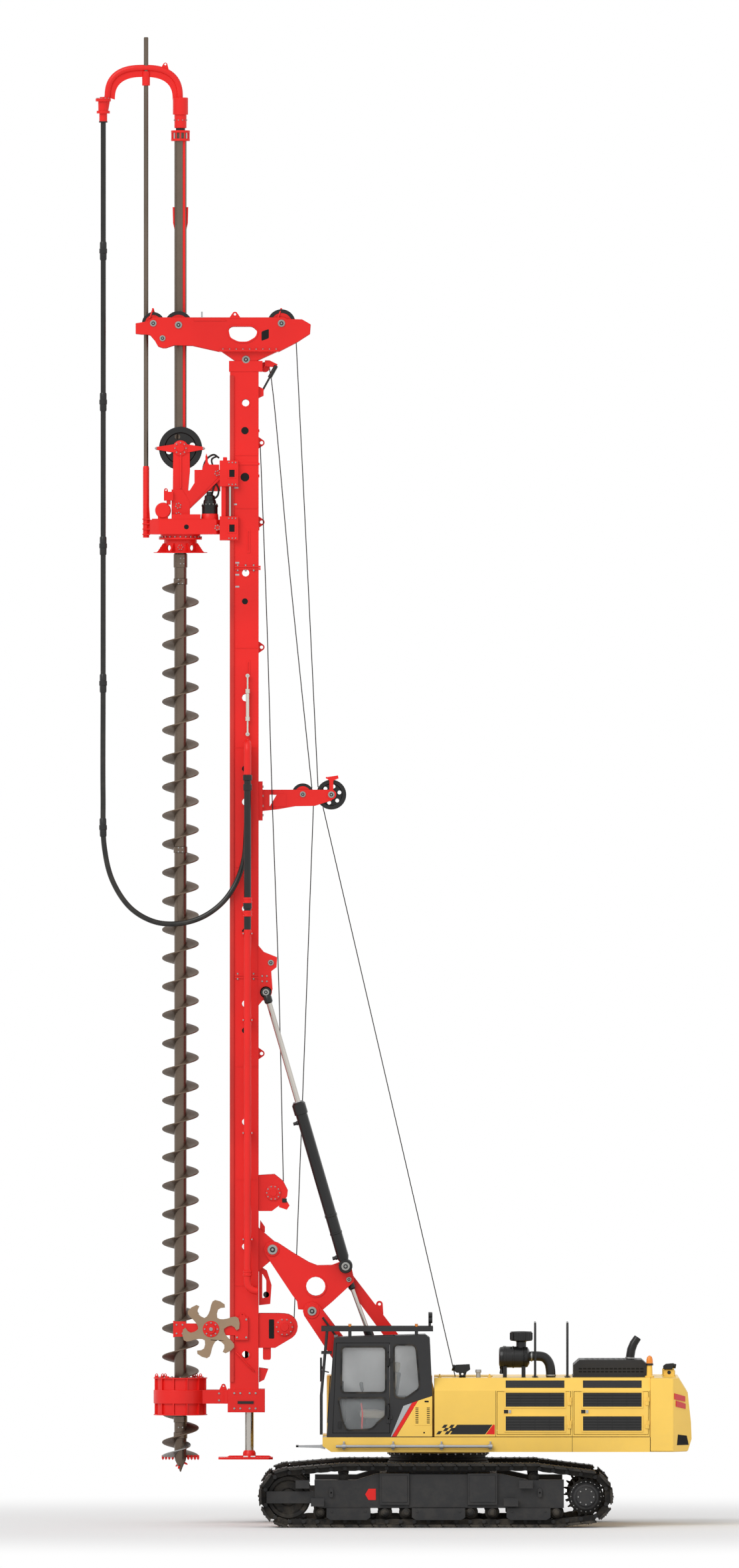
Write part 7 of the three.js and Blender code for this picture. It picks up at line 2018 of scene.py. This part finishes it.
# ---------- drill string
# A hollow steel drill pipe with a caged swivel joint at its top, a red drive bar down one side, and
# below it the
# auger: a coiled flight welded round the pipe, pinned together in lengths, with hard teeth at its foot.
PIPE_STEEL = finish_of("drill_pipe_steel", (0.17, 0.13, 0.10), 0.3, metallic=0.85, tone=0.25, dust=0.06,
    bump=0.12)
FLIGHT_STEEL = finish_of("flight_steel", (0.17, 0.125, 0.09), 0.42, metallic=0.6, tone=0.35, dust=0.08,
    bump=0.35)
PIPE_R = 0.0925
tube = Build().use(PIPE_STEEL)
tube.rod((DRILL_X, 0, 14.62), (DRILL_X, 0, 20.985), PIPE_R, 40)
tube.use(RED)
for z, r in ((20.96, 0.143), (20.835, 0.143)):
    tube.turned((DRILL_X, 0, z), (0, 0, 1),
        [(0, PIPE_R), (0, r - 0.004), (0.004, r), (0.031, r), (0.035, r - 0.004), (0.035, PIPE_R)], 44,
            True)
for i in range(12):
    turn = i / 12 * math.tau
    spot = Vector((DRILL_X + math.cos(turn) * 0.128, math.sin(turn) * 0.128, 0))
    tube.rod(spot + Vector((0, 0, 20.86)), spot + Vector((0, 0, 20.97)), 0.011, 8)
STRIP_X = (DRILL_X + 0.055 - 0.0175, DRILL_X + 0.055 + 0.0175)
tube.block(STRIP_X, (-0.089, -0.06), (15.14, 20.835))
tube.block(STRIP_X, (0.06, 0.089), (15.14, 20.835))
for side in (LEFT, RIGHT):
    guide_lug = [(0.09, 19.84), (0.118, 19.84), (0.112, 19.6), (0.09, 19.5)]
    tube.plate([(DRILL_X + side * x, z) for x, z in guide_lug], (-0.02, 0.02))
tube.use(PIPE_STEEL).turned((DRILL_X, 0, 14.41), (0, 0, 1),
    [(0, 0.1), (0.006, 0.1045), (0.2, 0.1045), (0.21, PIPE_R)], 40)
tube.use(BOLT_STEEL)
for z in (14.47, 14.55):
    tube.bolts([(DRILL_X, -0.1045, z), (DRILL_X + 0.05, -0.09, z)], (0, -1, 0), 0.012)
tube.piece("drill_tube", "drill", "tool_steel", ["extension_tube"], 0.001)

FLIGHT_LOW, FLIGHT_HIGH, FLIGHT_PITCH, FLIGHT_R, FLIGHT_STEPS = 1.02, 14.25, 0.429, 0.2775, 44
auger = Build().use(PIPE_STEEL)
auger.turned((DRILL_X, 0, 0.79), (0, 0, 1),
    [(0, 0.008), (0.06, 0.03), (0.12, 0.055), (0.17, 0.08), (0.23, PIPE_R), (13.62, PIPE_R)], 40)
for z in (10.16, 14.2, 1.58, 1.34):
    auger.turned((DRILL_X, 0, z - 0.05), (0, 0, 1),
        [(0, PIPE_R), (0.006, 0.104), (0.094, 0.104), (0.1, PIPE_R)], 40)
auger.use(FLIGHT_STEEL)
sections = []
total = int((FLIGHT_HIGH - FLIGHT_LOW) / FLIGHT_PITCH * FLIGHT_STEPS)
for i in range(total + 1):
    turn = i / FLIGHT_STEPS * math.tau
    z = FLIGHT_LOW + i / FLIGHT_STEPS * FLIGHT_PITCH
    fade = min(1.0, (total - i) / 14)
    edge = PIPE_R + (FLIGHT_R - PIPE_R) * max(fade, 0.15)
    out = Vector((math.cos(turn), math.sin(turn), 0))
    sections.append([Vector((DRILL_X, 0, z + lift)) + out * r
                     for r, lift in ((PIPE_R - 0.01, -0.014), (edge - 0.003, -0.009), (edge, -0.005),
                         (edge, 0.005),
                                     (edge - 0.003, 0.009), (PIPE_R - 0.01, 0.014))])
auger.rings(sections)
auger.use(BOLT_STEEL)
for z in (10.13, 10.19, 14.17, 14.23, 1.46):
    auger.bolts([(DRILL_X + 0.03 * side, -0.1, z) for side in (LEFT, RIGHT)], (0, -1, 0), 0.012, 0.012)
second = []
for i in range(23):
    turn = math.pi + i / 44 * math.tau
    edge = PIPE_R + (FLIGHT_R - PIPE_R) * min(1.0, (22 - i) / 10 + 0.1)
    out = Vector((math.cos(turn), math.sin(turn), 0))
    z = FLIGHT_LOW + i / 44 * FLIGHT_PITCH
    second.append([Vector((DRILL_X, 0, z + lift)) + out * r
                   for r, lift in ((PIPE_R - 0.01, -0.014), (edge, -0.007), (edge, 0.007),
                       (PIPE_R - 0.01, 0.014))])
auger.rings(second)
auger.use(RED)
for side in (LEFT, RIGHT):
    for reach in (0.115, 0.165, 0.215, 0.262):
        root = Vector((DRILL_X + side * reach, -side * 0.004, FLIGHT_LOW + 0.012))
        tip = Vector((DRILL_X + side * (reach + 0.004), -side * 0.05, FLIGHT_LOW - 0.05))
        auger.turned(tip, root - tip, [(0, 0.005), (0.016, 0.013), (0.03, 0.02), (0.075, 0.022)], 10)
for z, turn in ((0.93, 0.2), (0.9, 2.3), (0.87, 4.4)):
    root = Vector((DRILL_X + math.cos(turn) * 0.05, math.sin(turn) * 0.05, z))
    tip = Vector((DRILL_X + math.cos(turn) * 0.11, math.sin(turn) * 0.11, z - 0.03))
    auger.turned(tip, root - tip, [(0, 0.005), (0.02, 0.014), (0.06, 0.017)], 10)
auger.piece("drill_auger", "drill", "tool_steel", ["auger"], 0)


# ---------- wire ropes
# Galvanised wire ropes run from the mast head over the rear sheaves and down to the winches. They are
# taut, and
# the longest drops from the rear sheave to the winch inside the upper carriage.
ROPE_R = 0.0075
ROPES = {
    "hoist_rope_front": [(-1.945, 0, 17.5), (-1.89, 0, 17.47), (-1.86, 0, 17.4), (-1.55, 0, 14.26),
        (-1.222, 0, 11.085)],
    "hoist_rope_rear": [(-1.472, -0.2475, 18.07), (-1.3, -0.12, 14.6), (-1.13, 0, 11.1)],
    "hoist_rope_low": [(-1.195, 0, 10.95), (-1.34, 0, 7.02), (-1.49, 0, 3.1)],
    "crowd_rope": [(-2.0, -0.12, 16.25), (-1.9, -0.12, 13.6), (-1.825, -0.12, 11.07), (-1.72, -0.12, 8.1),
                   (-1.65, -0.12, 5.05)],
}
for name, route in ROPES.items():
    line = smooth_line(route, 8)
    rope = Build().use(WIRE).pipe(line, ROPE_R, 10).piece(name, "mast", "hose_rubber", (), 0)
    span = sum((b - a).length for a, b in zip(line, line[1:]))
line = smooth_line([(-1.055, 0, 10.8), (0.0, -0.07, 6.26), (1.02, -0.14, 1.86)], 12)
rope = Build().use(WIRE).pipe(line, ROPE_R, 10).piece(
    "carriage_rope", None, "hose_rubber", (), 0, ("mast", "delta", (-1.05, 0, 10.7), (0.98, 0, 2.05))
)
span = sum((b - a).length for a, b in zip(line, line[1:]))
